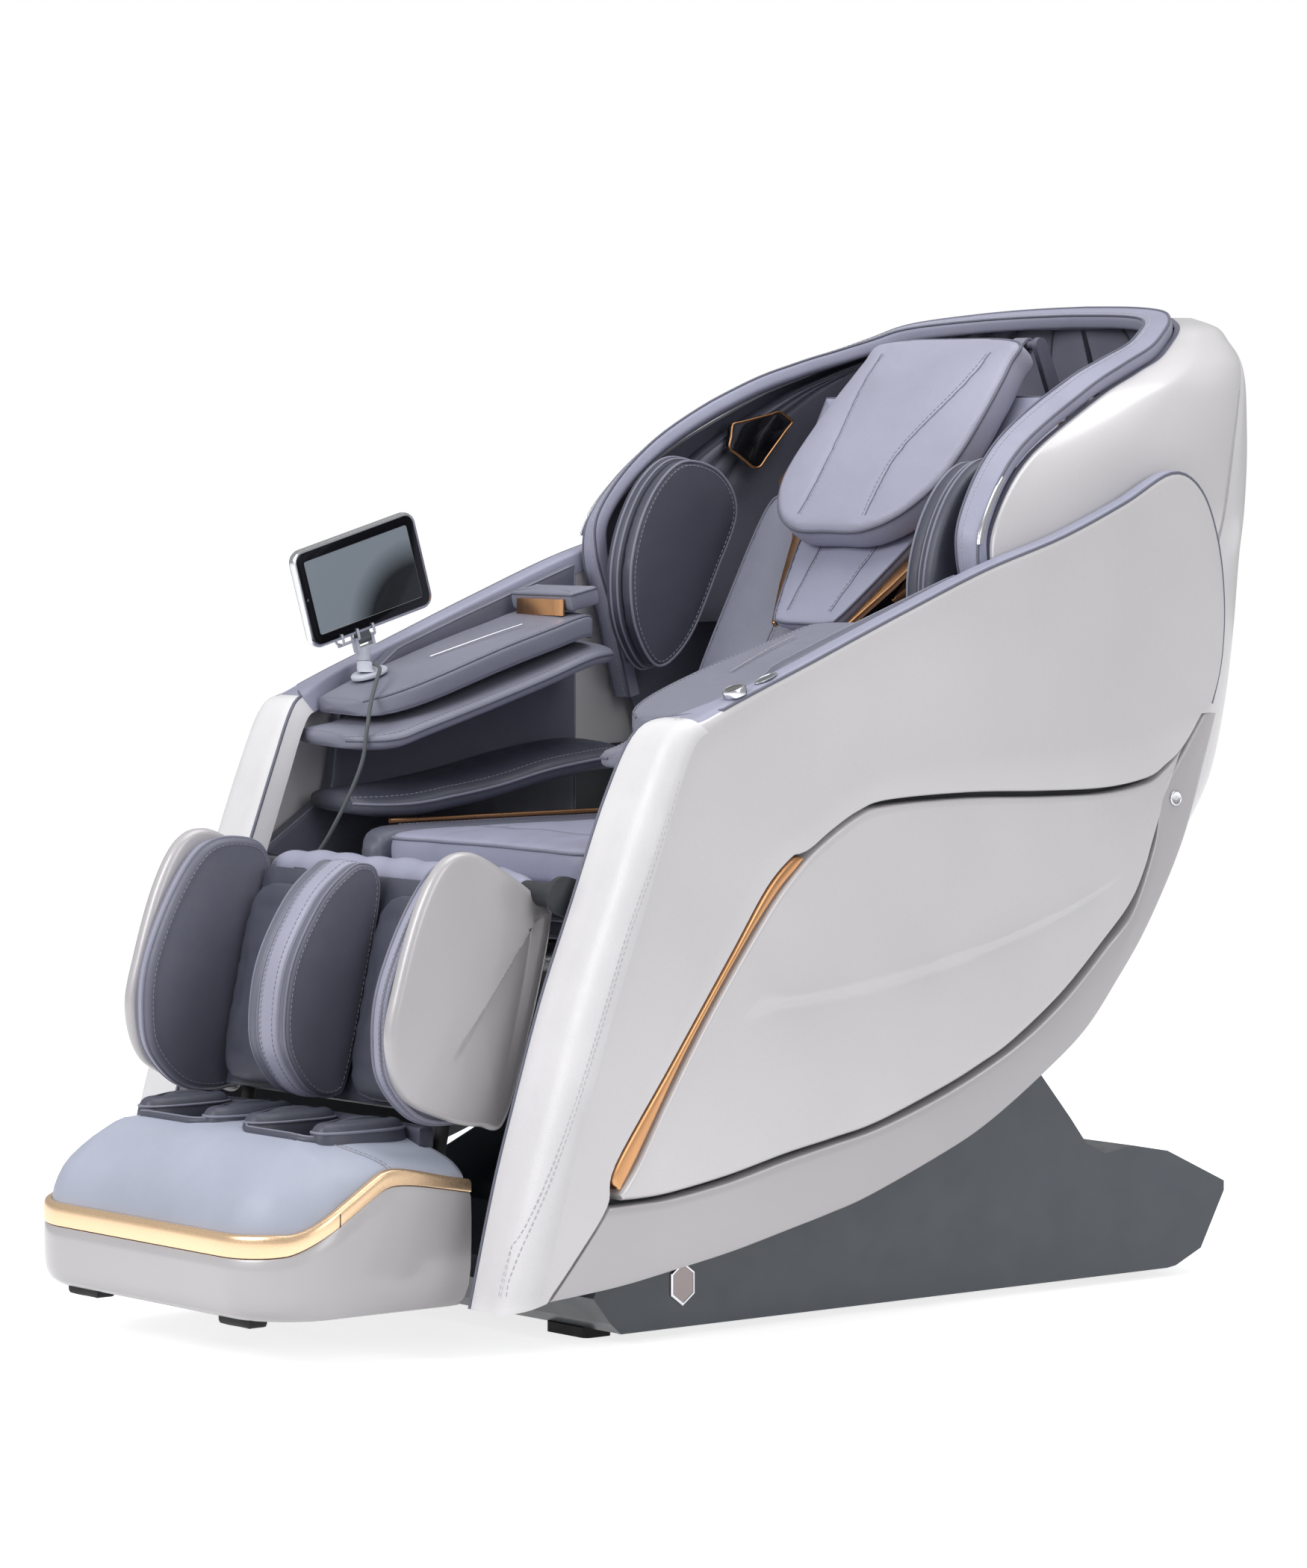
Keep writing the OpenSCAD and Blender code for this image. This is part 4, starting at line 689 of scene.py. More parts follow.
@dataclass
class Piece:
    """Collects surfaces, in millimetres, and turns them into one object."""

    name: str
    finishes: list[Finish]
    points: list[Points] = field(default_factory=list)
    faces: list[tuple[int, ...]] = field(default_factory=list)
    tags: list[int] = field(default_factory=list)
    count: int = 0

    def add(self, points: Points, faces: Iterable[Sequence[int]], tag: int = 0) -> None:
        """Adds a surface that is already made.

        Args:
            points: its points.
            faces: its faces.
            tag: the finish's number.
        """
        for f in faces:
            self.faces.append(tuple(i + self.count for i in f))
            self.tags.append(tag)
        self.points.append(np.asarray(points, float))
        self.count += len(points)

    def skin(
        self,
        rings: Sequence[Points],
        tag: int | Callable[[int, int], int] = 0,
        caps: bool = True,
        closed: bool = True,
    ) -> None:
        """Adds a surface through rings of equal length.

        Args:
            rings: the rings, in order.
            tag: the finish's number, or a function of ring and column.
            caps: whether the first and last rings are closed.
            closed: whether each ring returns to its start.
        """
        n, m = len(rings[0]), len(rings)
        points = np.vstack(rings)
        pick = tag if callable(tag) else (lambda _k, _i: tag)
        columns = n if closed else n - 1
        base = self.count
        for k in range(m - 1):
            for i in range(columns):
                j = (i + 1) % n
                this, after = base + k * n, base + (k + 1) * n
                self.faces.append((this + i, this + j, after + j, after + i))
                self.tags.append(pick(k, i))
        if caps:
            last = base + (m - 1) * n
            points = np.vstack([points, np.mean(rings[0], 0), np.mean(rings[-1], 0)])
            for i in range(n):
                j = (i + 1) % n
                self.faces.append((base + j, base + i, base + m * n))
                self.tags.append(pick(0, i))
                self.faces.append((last + i, last + j, base + m * n + 1))
                self.tags.append(pick(m - 2, i))
        self.points.append(points)
        self.count += len(points)

    def tube(self, path: Points, radius: float, tag: int = 0, sides: int = 8, closed: bool = False) -> None:
        """Adds a tube along a path.

        Args:
            path: its middle line.
            radius: its radius.
            tag: the finish's number.
            sides: how many sides its section has.
            closed: whether the path returns to its start.
        """
        p = np.asarray(path, float)
        t = unit(np.roll(p, -1, 0) - np.roll(p, 1, 0)) if closed else unit(np.gradient(p, axis=0))
        side = unit(np.cross(t[0], TUBE_START))
        section = oval(sides, radius, radius)
        rings = []
        for middle, along in zip(p, t):
            side = unit(side - along * float(np.dot(side, along)))
            across = np.cross(along, side)
            rings.append(middle + np.outer(section[:, 0], side) + np.outer(section[:, 1], across))
        if closed:
            rings.append(rings[0])
        self.skin(rings, tag, caps=not closed)

    def stitches(
        self, path: Points, tag: int, pitch: float = 6.5, radius: float = 0.55, closed: bool = False
    ) -> None:
        """Adds a row of sewn stitches along a path.

        Args:
            path: the line of the seam.
            tag: the finish's number.
            pitch: distance from one stitch to the next.
            radius: thickness of the thread.
            closed: whether the seam returns to its start.
        """
        p = resampled(path, pitch, closed)
        ends = np.vstack([p[1:], p[:1]]) if closed else p[1:]
        for a, b in zip(p if closed else p[:-1], ends):
            stitch = (b - a) * STITCH_SHARE
            self.tube(np.array([a, a + stitch / 2, a + stitch]), radius, tag, 5)

    def mirrored(self) -> None:
        """Adds the mirror image of everything so far on the chair's other side."""
        points = np.vstack(self.points) * np.array([-1.0, 1.0, 1.0])
        n = self.count
        faces, tags = list(self.faces), list(self.tags)
        self.points.append(points)
        self.count += len(points)
        for f, t in zip(faces, tags):
            self.faces.append(tuple(i + n for i in reversed(f)))
            self.tags.append(t)

    def make(
        self,
        body: str,
        replaces: Sequence[str] = (),
        sharp: float = 80,
    ) -> bpy.types.Object:
        """Makes the object, sets it on its body and hides the nodes that it replaces.

        Args:
            body: the body that it rides on; empty for none.
            replaces: nodes that it stands for.
            sharp: angle in degrees above which an edge stays crisp.

        Returns:
            The new object.
        """
        mesh = mesh_of(self.name, np.vstack(self.points), self.faces)
        bm = bmesh.new()
        bm.from_mesh(mesh)
        for f, t in zip(bm.faces, self.tags):
            f.material_index = t
            f.smooth = True
        bmesh.ops.remove_doubles(bm, verts=bm.verts, dist=WELD_M)
        bmesh.ops.recalc_face_normals(bm, faces=bm.faces)
        for e in bm.edges:
            e.smooth = not (len(e.link_faces) == 2 and e.calc_face_angle(0) > math.radians(sharp))
        bm.to_mesh(mesh)
        bm.free()
        made = placed(self.name, mesh)
        for finish in self.finishes:
            mesh.materials.append(finish.material())
        if body:
            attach(made, body)
        if replaces:
            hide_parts(*replaces)
        LOG.info("%s: %d faces on %s", self.name, len(mesh.polygons), body)
        return made


def block(lo: Triple, hi: Triple, chamfer: float = 1.2) -> tuple[Points, list]:
    """A block with chamfered upright edges.

    Args:
        lo: its lowest corner.
        hi: its highest corner.
        chamfer: size of the chamfers.

    Returns:
        Its points and faces.
    """
    (x0, y0, z0), (x1, y1, z1), c = lo, hi, chamfer
    plan = [(x0 + c, y0), (x1 - c, y0), (x1, y0 + c), (x1, y1 - c)]
    plan += [(x1 - c, y1), (x0 + c, y1), (x0, y1 - c), (x0, y0 + c)]
    points = np.array([(x, y, z) for z in (z0, z1) for x, y in plan])
    walls = [[i, (i + 1) % 8, 8 + (i + 1) % 8, 8 + i] for i in range(8)]
    return points, [list(range(7, -1, -1)), list(range(8, 16)), *walls]


@dataclass(frozen=True)
class Stuffing:
    """Swells a closed cover with cloth under pressure, in millimetres."""

    reach: float = 8
    voxel: float = 6
    pressure: float = 4
    frames: int = 20

    def swell(
        self, points: Points, faces: Sequence, held: Callable[[Points], Points]
    ) -> tuple[Points, list]:
        """Blows the cover up while its seams and back stay put.

        Args:
            points: points of the closed cover.
            faces: its faces.
            held: tells for rows of points which of them stay put.

        Returns:
            The swollen cover's points and faces.
        """
        scene = bpy.context.scene
        item = placed("cover", mesh_of("cover", points, faces))
        grid = item.modifiers.new("Grid", "REMESH")
        grid.mode, grid.voxel_size = "VOXEL", self.voxel * MM
        item.data = self.evaluated(item)
        item.modifiers.clear()
        rest = self.coordinates(item.data)
        stay = np.nonzero(held(rest / MM))[0]
        item.vertex_groups.new(name="held").add([int(i) for i in stay], 1.0, "REPLACE")
        cloth = item.modifiers.new("Cloth", "CLOTH")
        cloth.settings.use_pressure = True
        cloth.settings.uniform_pressure_force = self.pressure
        cloth.settings.effector_weights.gravity = 0
        cloth.settings.vertex_group_mass = "held"
        cloth.point_cache.frame_start, cloth.point_cache.frame_end = 1, self.frames
        for frame in range(1, self.frames + 1):
            scene.frame_set(frame)
        shift = self.coordinates(self.evaluated(item)) - rest
        far = np.linalg.norm(shift, axis=1, keepdims=True)
        shift *= np.minimum(1, self.reach * MM / np.maximum(far, TINY))
        item.modifiers.clear()
        item.data.vertices.foreach_set("co", (rest + shift).ravel())
        level = item.modifiers.new("Level", "SUBSURF")
        level.levels = level.render_levels = 1
        done = self.evaluated(item)
        made = self.coordinates(done) / MM, [tuple(f.vertices) for f in done.polygons]
        bpy.data.objects.remove(item)
        scene.frame_set(1)
        return made

    @staticmethod
    def evaluated(item: bpy.types.Object) -> bpy.types.Mesh:
        """The object's mesh with its modifiers worked out."""
        graph = bpy.context.evaluated_depsgraph_get()
        return bpy.data.meshes.new_from_object(item.evaluated_get(graph))

    @staticmethod
    def coordinates(mesh: bpy.types.Mesh) -> Points:
        """The mesh's points as rows."""
        flat = np.empty(len(mesh.vertices) * 3)
        mesh.vertices.foreach_get("co", flat)
        return flat.reshape(-1, 3)


@dataclass
class Cushion:
    """A stuffed form on a flat loop: round sides, a crowned face, piping and sewn lines."""

    loop: Points
    thickness: float
    crown: float
    rim: float
    where: Placement
    dent: Callable[[Points], Points] | None = None
    centre: tuple[float, float] | None = None
    stuffing: Stuffing | None = None
    welt: float = 50
    cover: BVHTree | None = None

    def middle(self) -> Points:
        """The point that the face closes on."""
        return np.asarray(self.centre if self.centre else self.loop.mean(0), float)

    def lip(self, angle: float) -> Points:
        """Ring on the round side, at an angle from -90 at the back to 90 at the face.

        Args:
            angle: place on the side in degrees.

        Returns:
            The ring, in the form's own directions.
        """
        a = math.radians(angle)
        c, s = abs(math.cos(a)) ** 0.6, math.copysign(abs(math.sin(a)) ** 0.8, math.sin(a))
        ring = drawn_in(self.loop, self.rim * (1 - c))
        return raised(ring, self.thickness * (0.5 + 0.5 * s))

    def face(self, s: float) -> Points:
        """Ring on the face, at share s of the way out from its middle.

        Args:
            s: share of the way, 1 at the rim.

        Returns:
            The ring, in the form's own directions.
        """
        top = drawn_in(self.loop, self.rim)
        flat = self.middle() + s * (top - self.middle())
        made = raised(flat, self.thickness + self.crown * (1 - s**2.2))
        if self.dent is not None:
            made[:, 2] -= self.dent(flat) * min(1.0, (1 - s) * 8)
        return made

    def build(
        self, piece: Piece, tag: int | Callable[[int, int], int] = 0, sides: int = 9, rings: int = 12
    ) -> None:
        """Adds the form to a piece, swollen by its stuffing where it has some.

        Args:
            piece: the piece that it becomes part of.
            tag: the finish's number, or a function of ring and column.
            sides: number of rings on the round side.
            rings: number of rings on the face.
        """
        stack = [self.where.at(self.lip(a)) for a in np.linspace(-90, 90, sides)]
        stack += [self.where.at(self.face(s)) for s in np.linspace(1, 0.04, rings)[1:]]
        form = Piece("form", [])
        form.skin(stack, tag)
        points, faces = np.vstack(form.points), form.faces
        if self.stuffing is not None:
            points, faces = self.stuffing.swell(points, faces, self.held)
            piece.add(points, faces, tag if isinstance(tag, int) else 0)
        else:
            piece.skin(stack, tag)
        self.cover = BVHTree.FromPolygons(points.tolist(), faces)

    def held(self, points: Points) -> Points:
        """Which points the back, the welt and the sewn channels keep where they are.

        Args:
            points: points of the cover.

        Returns:
            True for each point that stays.
        """
        axes = np.array([self.where.u, self.where.v, self.where.w], float)
        local = (points - np.asarray(self.where.origin)) @ axes.T
        ring = self.lip(self.welt)
        gaps = np.linalg.norm(local[:, None, :2] - ring[None, ::2, :2], axis=2)
        near = np.min(gaps, axis=1) < 4.5
        stays = (local[:, 2] < ring[0, 2]) | near
        if self.dent is not None:
            depth = self.dent(local[:, :2])
            stays |= depth > 0.45 * max(float(depth.max()), 1e-6)
        return stays

    def laid(self, flat: Sequence, lift: float = 0.3) -> Points:
        """A flat line laid on the face, so far above it.

        Args:
            flat: the line, as rows of two.
            lift: height above the face.

        Returns:
            The line's points in the chair's frame.
        """
        w = np.asarray(self.where.w, float)
        made = []
        for u, v in resampled(np.asarray(flat, float), 4):
            start = self.where.at([[u, v, self.thickness + self.crown + 60]])[0]
            hit = self.cover.ray_cast(Vector(start), Vector(-w))[0]
            if hit is not None:
                made.append(np.array(hit) + w * lift)
        return np.array(made)

    def seam(self, piece: Piece, flat: Sequence, aside: float = 4.5) -> None:
        """A sewn seam along a flat line: a fold in finish 1 and stitches in finish 2 beside it.

        Args:
            piece: the piece that it becomes part of.
            flat: points of the line.
            aside: distance of the stitches from the fold.
        """
        line = smooth_line(flat, 8)
        piece.tube(self.laid(line, 0.0), 1.0, 1, 6)
        t = unit(np.gradient(line, axis=0))
        piece.stitches(self.laid(line + aside * np.stack([-t[:, 1], t[:, 0]], 1)), 2, radius=0.5)

    def piping(self, piece: Piece, tag: int, radius: float, angle: float) -> None:
        """Adds a piping cord round its edge."""
        piece.tube(self.where.at(self.lip(angle)), radius, tag, 8, closed=True)

    def sewn(self, piece: Piece, tag: int, inset: float) -> None:
        """Adds a row of stitches round its face.

        Args:
            piece: the piece that it becomes part of.
            tag: the thread's number.
            inset: distance in from the rim.
        """
        ring = drawn_in(self.loop, self.rim + inset)
        path = self.laid(np.vstack([ring, ring[:1]]))
        if len(path) > 3:
            piece.stitches(path, tag, radius=0.5)


# ---- arms


class Assembly:
    """A part of the chair whose pieces are made in a fixed order."""

    order: ClassVar[tuple[str, ...]] = ()

    def build(self) -> None:
        """Makes every piece, by the methods that the order names."""
        for step in self.order:
            getattr(self, step)()


def side_x(y: float, z: float) -> float:
    """Outer face of the chair's side at (y, z), drawn in towards the rear and the foot."""
    rear, foot = max(0, y - 120) / 420, max(0, 330 - z) / 260
    return HALF_WIDTH - 14 * rear**2 - 10 * foot**2


@dataclass
class Arms(Assembly):
    """Outer shells of the arms and everything that faces or lines them."""

    order = ("shells", "facings", "linings", "tray", "soft_bars", "screw_caps", "control_ring", "dial")
    shell_in: float = 381
    nose_w: float = 93
    shell_t: float = 30
    lining_in: float = 351.4
    lining_t: float = 25
    tray_w: float = 140
    edge: tuple = (
        (-532, 66, 1, 34), (-514, 140, 1, 34), (-495, 212, 1, 34), (-472, 285, 1, 34), (-433, 402, 1, 34),
        (-387, 514, 1, 32), (-342, 627, 0.96, 30), (-305, 700, 0.8, 26), (-265, 717, 0.4, 18),
        (-203, 741, 0.02, 12), (-120, 772, 0, 10), (-43, 802, 0, 10), (33, 831, 0, 10), (152, 875, 0, 10),
        (273, 911, 0, 10), (376, 950, 0, 10), (457, 985, 0, 10), (507, 965, 0, 10), (537, 905, 0, 10),
        (549, 830, 0, 10), (545, 760, 0, 10), (529, 708, 0, 8),
    )
    seam: tuple = (
        (-485, 78), (-445, 125), (-405, 178), (-395, 224), (-313, 337), (-230, 450), (-179, 520), (-143, 552),
        (-129, 556), (-113, 562), (-81, 582), (-43, 601), (2, 612), (127, 616), (247, 613), (347, 613),
        (417, 622), (447, 636), (469, 650), (487, 668), (499, 684), (505, 694),
    )
    leaf_top: tuple = (
        (-388, 190), (-361, 224), (-320, 292), (-255, 389), (-179, 488), (-142, 528), (-103, 560), (-43, 594),
        (2, 605), (127, 609), (247, 606), (347, 606), (417, 615), (447, 629), (467, 645.5), (480.5, 661),
    )
    leaf_bottom: tuple = (
        (-383, 183), (-355, 183), (-312, 186), (-229, 199), (-146, 217), (-78, 229), (-9, 243), (93, 277),
        (147, 299), (196, 322), (275, 373), (344, 431), (388, 472), (412, 512), (424, 548), (431, 590),
    )
    skirt_top: tuple = (
        (-401, 176), (-355, 177), (-312, 179), (-229, 191), (-146, 209), (-78, 222), (-7, 236), (96, 269),
        (199, 314), (279, 364), (348, 422), (393, 464), (429, 542), (441, 600), (479, 650), (513, 694),
    )
    skirt_bottom: tuple = (
        (-481, 78), (-386, 86), (-305, 98), (-221, 112), (-138, 130), (-80, 143), (-23, 158), (80, 195),
        (152, 226), (236, 275), (310, 325), (364, 381), (418, 446), (478, 542), (517, 640), (537, 695),
    )
    strip_front: tuple = (
        (-390, 196), (-392, 222), (-310, 336), (-227, 449), (-177, 517), (-143, 549), (-128, 553),
    )
    strip_rear: tuple = (
        (-385, 196), (-366, 224), (-296, 339), (-216, 449), (-163, 512), (-132, 540), (-123, 549),
    )
    crease: tuple = ((-210, 389), (-112, 393), (-11, 404), (90, 422), (194, 446), (299, 478), (375, 511))
    sewn_seam: tuple = (
        (-286, 715), (-315, 627), (-347, 549), (-379, 478), (-419, 376), (-457, 278), (-505, 160),
        (-522, 110), (-528, 84),
    )
    lining: tuple = (
        (-184, 724), (-216, 692), (-228, 600), (-250, 582), (-338, 524), (-352, 500), (-330, 440),
        (-180, 420), (60, 420), (120, 470), (150, 560), (150, 866), (136, 862), (-36, 802), (-127, 768),
    )
    tray_line: tuple = ((-249, 717), (-170, 744), (-79, 774), (0, 797), (56, 812), (83, 806))
    flap_line: tuple = (
        (-282, 680), (-240, 684), (-200, 696), (-110, 722), (-18, 750), (60, 774), (122, 776),
    )
    hand_line: tuple = ((-262, 606), (-190, 608), (-90, 622), (0, 640), (90, 652), (148, 650))
    bar_ends: tuple = ((0.0, 0.25), (0.45, 0.7), (0.8, 0.9))
    nose_r: float = 33
    cap_at: tuple[float, float] = (462, 596)
    cap_profile: tuple = ((9, 0.2), (9, 1.4), (8.5, 2.0), (7.6, 2.2), (7.0, 1.8), (2, 1.8))
    ring_at: Triple = (395.5, -170.0, 755.2)
    dial_at: Triple = (395.5, -214.0, 737.4)
    dial_lean: float = 20.8
    dial_profile: tuple = ((13.4, 0), (13.8, 1), (13.8, 7), (13, 8.4), (11.5, 9), (10.5, 8.6), (3, 8.8))

    def section(self, e: Points, s: Points) -> Points:
        """Section of the shell.

        Args:
            e: its free edge, as y, z, share of the nose's width and radius.
            s: its seam, as (y, z).

        Returns:
            The section's points.
        """
        a, span = e[:2], s - e[:2]
        length = float(np.linalg.norm(span))
        t, r = span / length, float(e[3])
        inner = self.shell_in - 2 - e[2] * (self.nose_w - self.shell_t - 2)
        wrap = min(28.0, length * 0.4)
        hem = ((inner, wrap), (inner, 5), (inner + 1.5, 1.5), (inner + 5, 0))
        rows = [(False, *row) for row in hem]
        rows += [(False, inner + 5 + (side_x(*a) - r - inner - 5) * f, 0) for f in (0.33, 0.66)]
        for turn in map(math.radians, range(0, 91, 15)):
            rows.append((True, -r * (1 - math.sin(turn)), r * (1 - math.cos(turn))))
        rows += [(True, 0, r + (length - r) * f) for f in (0.12, 0.24, 0.36, 0.48, 0.6, 0.72, 0.84)]
        rows += [(True, drop, length - back) for drop, back in ((0, 4), (-0.6, 2), (-2.5, 0.5), (-5, 0))]
        rows += [(False, self.shell_in, length), (False, self.shell_in, wrap)]
        made = []
        for outside, value, d in rows:
            y, z = a + t * min(d, length)
            made.append(((side_x(y, z) + value) if outside else value, y, z))
        return np.array(made)

    def shells(self) -> None:
        """The arm shells: leather-covered fronts and top edges, lacquered sides."""
        steps = 6
        edge, seam = smooth_line(self.edge, steps), smooth_line(self.seam, steps)
        edge[:, 2] = np.clip(edge[:, 2], 0, 1)
        piece = Piece("arm_shell_covers", [PEARL, PEARL_LEATHER, LAVENDER, SMOKE, PALE_THREAD])
        turn = next(i for i, e in enumerate(edge) if e[2] < 0.55)

        def tag(k: int, i: int) -> int:
            """Leather on the front and on the top edge, lacquer on the side."""
            if k < turn:
                return 1 if i < 12 else 0
            return 2 if i < 9 else 0

        rings = [self.section(edge[i], seam[i]) for i in range(len(edge))]
        piece.skin(rings, tag)
        front = [r[2] + np.array([-0.6, -0.6, 0]) for r in rings[: turn + 1]]
        top = [r[9] + np.array([0, 0, 0.4]) for r in rings[turn + 4 :]]
        path = resampled(np.array(front + top), 12)
        piece.tube(path, 2.0, 3, 8)
        seam_line = smooth_line(self.sewn_seam, 12)
        for shift in (-1.8, 1.8):
            line = np.array([(self.surface_x(y + shift, z, edge) + 0.15, y + shift, z) for y, z in seam_line])
            piece.stitches(line, 4, pitch=7.5, radius=0.5)
        piece.mirrored()
        piece.make("seat", ["arm_shells"], sharp=50)

    def surface_x(self, y: float, z: float, edge: Points) -> float:
        """Outer face at (y, z), rounded off near the free edge.

        Args:
            y: place from front to rear.
            z: height.
            edge: stations of the free edge.

        Returns:
            The face's x.
        """
        near = float(np.interp(z, edge[:60, 1], edge[:60, 0]))
        d, r = (y - near) * 0.92, self.nose_r
        if d >= r:
            return side_x(y, z)
        d = max(0.0, d)
        return side_x(y, z) - r * (1 - math.sqrt(max(0.0, 1 - ((r - d) / r) ** 2)))

    def facing(
        self,
        rails: tuple,
        steps: int,
        rows: int,
        proud: float,
        bevel: float,
        relief: Callable[[float, float], float] | None = None,
    ) -> list[Points]:
        """Rings of a facing between two rails.

        Args:
            rails: the two rails, as rows of (y, z).
            steps: stations to a span.
            rows: rows across its face.
            proud: how far its face stands out of the shell's.
            bevel: size of its rounded edge.
            relief: extra height of its face at (y, z).

        Returns:
            The rings, along the rails.
        """
        crown = 1.3 if relief else 1.5
        rings = []
        for p, q in zip(*(smooth_line(rail, steps) for rail in rails)):
            f = min(0.3, bevel / max(float(np.linalg.norm(q - p)), 1))
            edge = [(0, -bevel), (f * 0.13, -bevel * 0.5), (f * 0.5, -bevel * 0.13)]
            shares = np.linspace(f, 1 - f, rows)
            face = [(share, crown * math.sin(math.pi * share)) for share in shares]
            ring = [(self.shell_in, *p)]
            for share, rise in [*edge, *face, *[(1 - s, drop) for s, drop in edge[::-1]]]:
                y, z = p + (q - p) * share
                extra = relief(y, z) if relief and rise >= 0 else 0
                ring.append((side_x(y, z) + proud + rise + extra, y, z))
            rings.append(np.array([*ring, (self.shell_in, *q)]))
        return rings

    def crease_relief(self, y: float, z: float) -> float:
        """Pressed crease across the leaf panel: a crisp step that fades out below it.

        Args:
            y: place from front to rear.
            z: height.

        Returns:
            Height of the relief.
        """
        line = smooth_line(self.crease, 4)
        if not line[0, 0] <= y <= line[-1, 0]:
            return 0.0
        gap = z - float(np.interp(y, line[:, 0], line[:, 1]))
        ends = float(ease(y, line[0, 0], line[0, 0] + 30) * (1 - ease(y, line[-1, 0] - 60, line[-1, 0])))
        if gap > 0:
            return 1.6 * ends * math.exp(-gap / 26)
        return ends * (1.6 - 3.8 * float(ease(-gap, 0, 4.5))) * math.exp(gap / 55)

    def facings(self) -> None:
        """Leaf panels with their crease, skirts, and copper strips."""
        leaf, skirt = (self.leaf_top, self.leaf_bottom), (self.skirt_top, self.skirt_bottom)
        for name, node, slot, finish, sharp, rings in (
            ("leaf_panel_covers", "leaf_panels", "pearl", PEARL, 60,
             self.facing(leaf, 8, 70, -3, 5, self.crease_relief)),
            ("skirt_covers", "skirt_panels", "pearl_rear", PEARL_REAR, 60, self.facing(skirt, 8, 12, -2, 4)),
            ("copper_trims", "copper_strips", "copper", COPPER, 45,
             self.facing((self.strip_front, self.strip_rear), 10, 6, -5, 2)),
        ):
            piece = Piece(name, [finish])
            piece.skin(rings)
            piece.mirrored()
            piece.make("seat", [node], sharp=sharp)

    def bar(
        self, stations: Sequence, w: float, t: float, droop: float, power: float, lobes: float = 0.0
    ) -> list[Points]:
        """Rings of a soft bar that lies along the arm.

        Args:
            stations: (y, height of its top) along it.
            w: its width.
            t: its thickness.
            droop: how much its inner edge hangs down.
            power: squareness of its section.
            lobes: depth of folds along it.

        Returns:
            The rings, with three smaller ones at each end.
        """
        line = smooth_line(stations, 5)
        sides = 40
        c, s = oval(sides, 1, 1, turn=math.pi / sides).T
        inner = np.maximum(0, -c) * (0.3 + 0.7 * np.maximum(0, s))
        rings = []
        for i, (y, top) in enumerate(line):
            f = i / (len(line) - 1)
            taper = 1 - 0.35 * abs(2 * f - 1) ** 6
            u, v = oval(sides, w / 2 * taper, t / 2 * taper, 2 / power, math.pi / sides).T
            fold = lobes * abs(math.sin(f * math.pi * 3 + 0.5)) * inner
            x = self.lining_in - 0.3 - w / 2 * taper + u + fold * 0.8
            z = top - t / 2 + v - droop * ((w / 2 - u) / w) ** 2 - fold * 0.5
            rings.append(np.column_stack([x, np.full(sides, y), z]))

        def end(ring: Points, f: float, g: float, way: int) -> Points:
            """A smaller ring beyond an end of the bar."""
            return scaled(ring, 0.3 + 0.7 * g) + [0, way * 6 * (1 - f) * (1 - g), 0]

        head = [end(rings[0], f, g, -1) for f, g in self.bar_ends]
        return [*head, *rings, *[end(rings[-1], f, g, 1) for f, g in self.bar_ends[::-1]]]

    @staticmethod
    def along(rings: list[Points], column: int, shift: Sequence) -> Points:
        """Line along a bar at one column of its rings, moved by a shift."""
        return np.array([ring[column] for ring in rings[3:-3]]) + shift

    def tray(self) -> None:
        """Trays on the arms, with a pale streak, and a copper rest on the far one."""
        piece = Piece("arm_tray_covers", [ASH, SMOKE, COPPER, THREAD, SILVER])
        rings = self.bar(self.tray_line, self.tray_w, 30, 4, 7)
        piece.skin(rings)
        piece.tube(resampled(self.along(rings, 16, (-0.4, 0, 0.4)), 8), 1.5, 1)
        piece.tube(resampled(self.along(rings, 23, (-0.4, 0, -0.2)), 8), 1.5, 1)
        piece.stitches(self.along(rings, 14, (0, 0, 0.3)), 3)
        piece.tube(smooth_line([(286, -130, 758.6), (268, -60, 781.5), (258, -10, 796)], 10), 0.9, 4, 6)
        piece.mirrored()
        slope = Placement((0, 0, 802), (1, 0, 0), (0, 0.978, 0.21), (0, -0.21, 0.978))
        rest = Cushion(oblong(-341, -221, 42, 84, 7), 24, 2, 6, slope, centre=(-281, 63))
        rest.build(piece, 0, 9, 4)
        rest.piping(piece, 1, 1.5, 40)
        piece.add(*block((-326, 33, 806), (-234, 38.5, 826), 1.5), tag=2)
        piece.make("seat", ["arm_trays"], sharp=70)

    def soft_bars(self) -> None:
        """Flap pads under the trays and hand pads below them, with their stitching."""
        flap, hand = (self.tray_w + 12, 28, 8, 3.2), (self.tray_w - 6, 36, 6, 3, 7)
        for name, node, cover, line, size, cord, sewn in (
            ("arm_flap_covers", "arm_flap_pads", [ASH, SMOKE, THREAD], self.flap_line, flap, 1.7, 16),
            ("hand_pad_covers", "hand_pads", [SLATE, ASH, THREAD], self.hand_line, hand, 1.8, 15),
        ):
            piece = Piece(name, cover)
            rings = self.bar(line, *size)
            piece.skin(rings)
            piece.tube(resampled(self.along(rings, 19, (-0.5, 0, 0)), 8), cord, 1)
            piece.stitches(self.along(rings, sewn, (0, 0, 0.3)), 2)
            piece.mirrored()
            piece.make("seat", [node])

    def linings(self) -> None:
        """Padded linings of the arms' inner sides, with two sewn lines."""
        piece = Piece("arm_lining_covers", [SMOKE, ASH])

        def channels(p: Points) -> Points:
            """Depth of the slanted and the upright sewn line."""
            slanted = (p[:, 0] + 150) * 0.35 - (p[:, 1] - 560)
            return folds(slanted, 2.5, 2.4) + folds(p[:, 0] + 236, 2.5, 2.4)

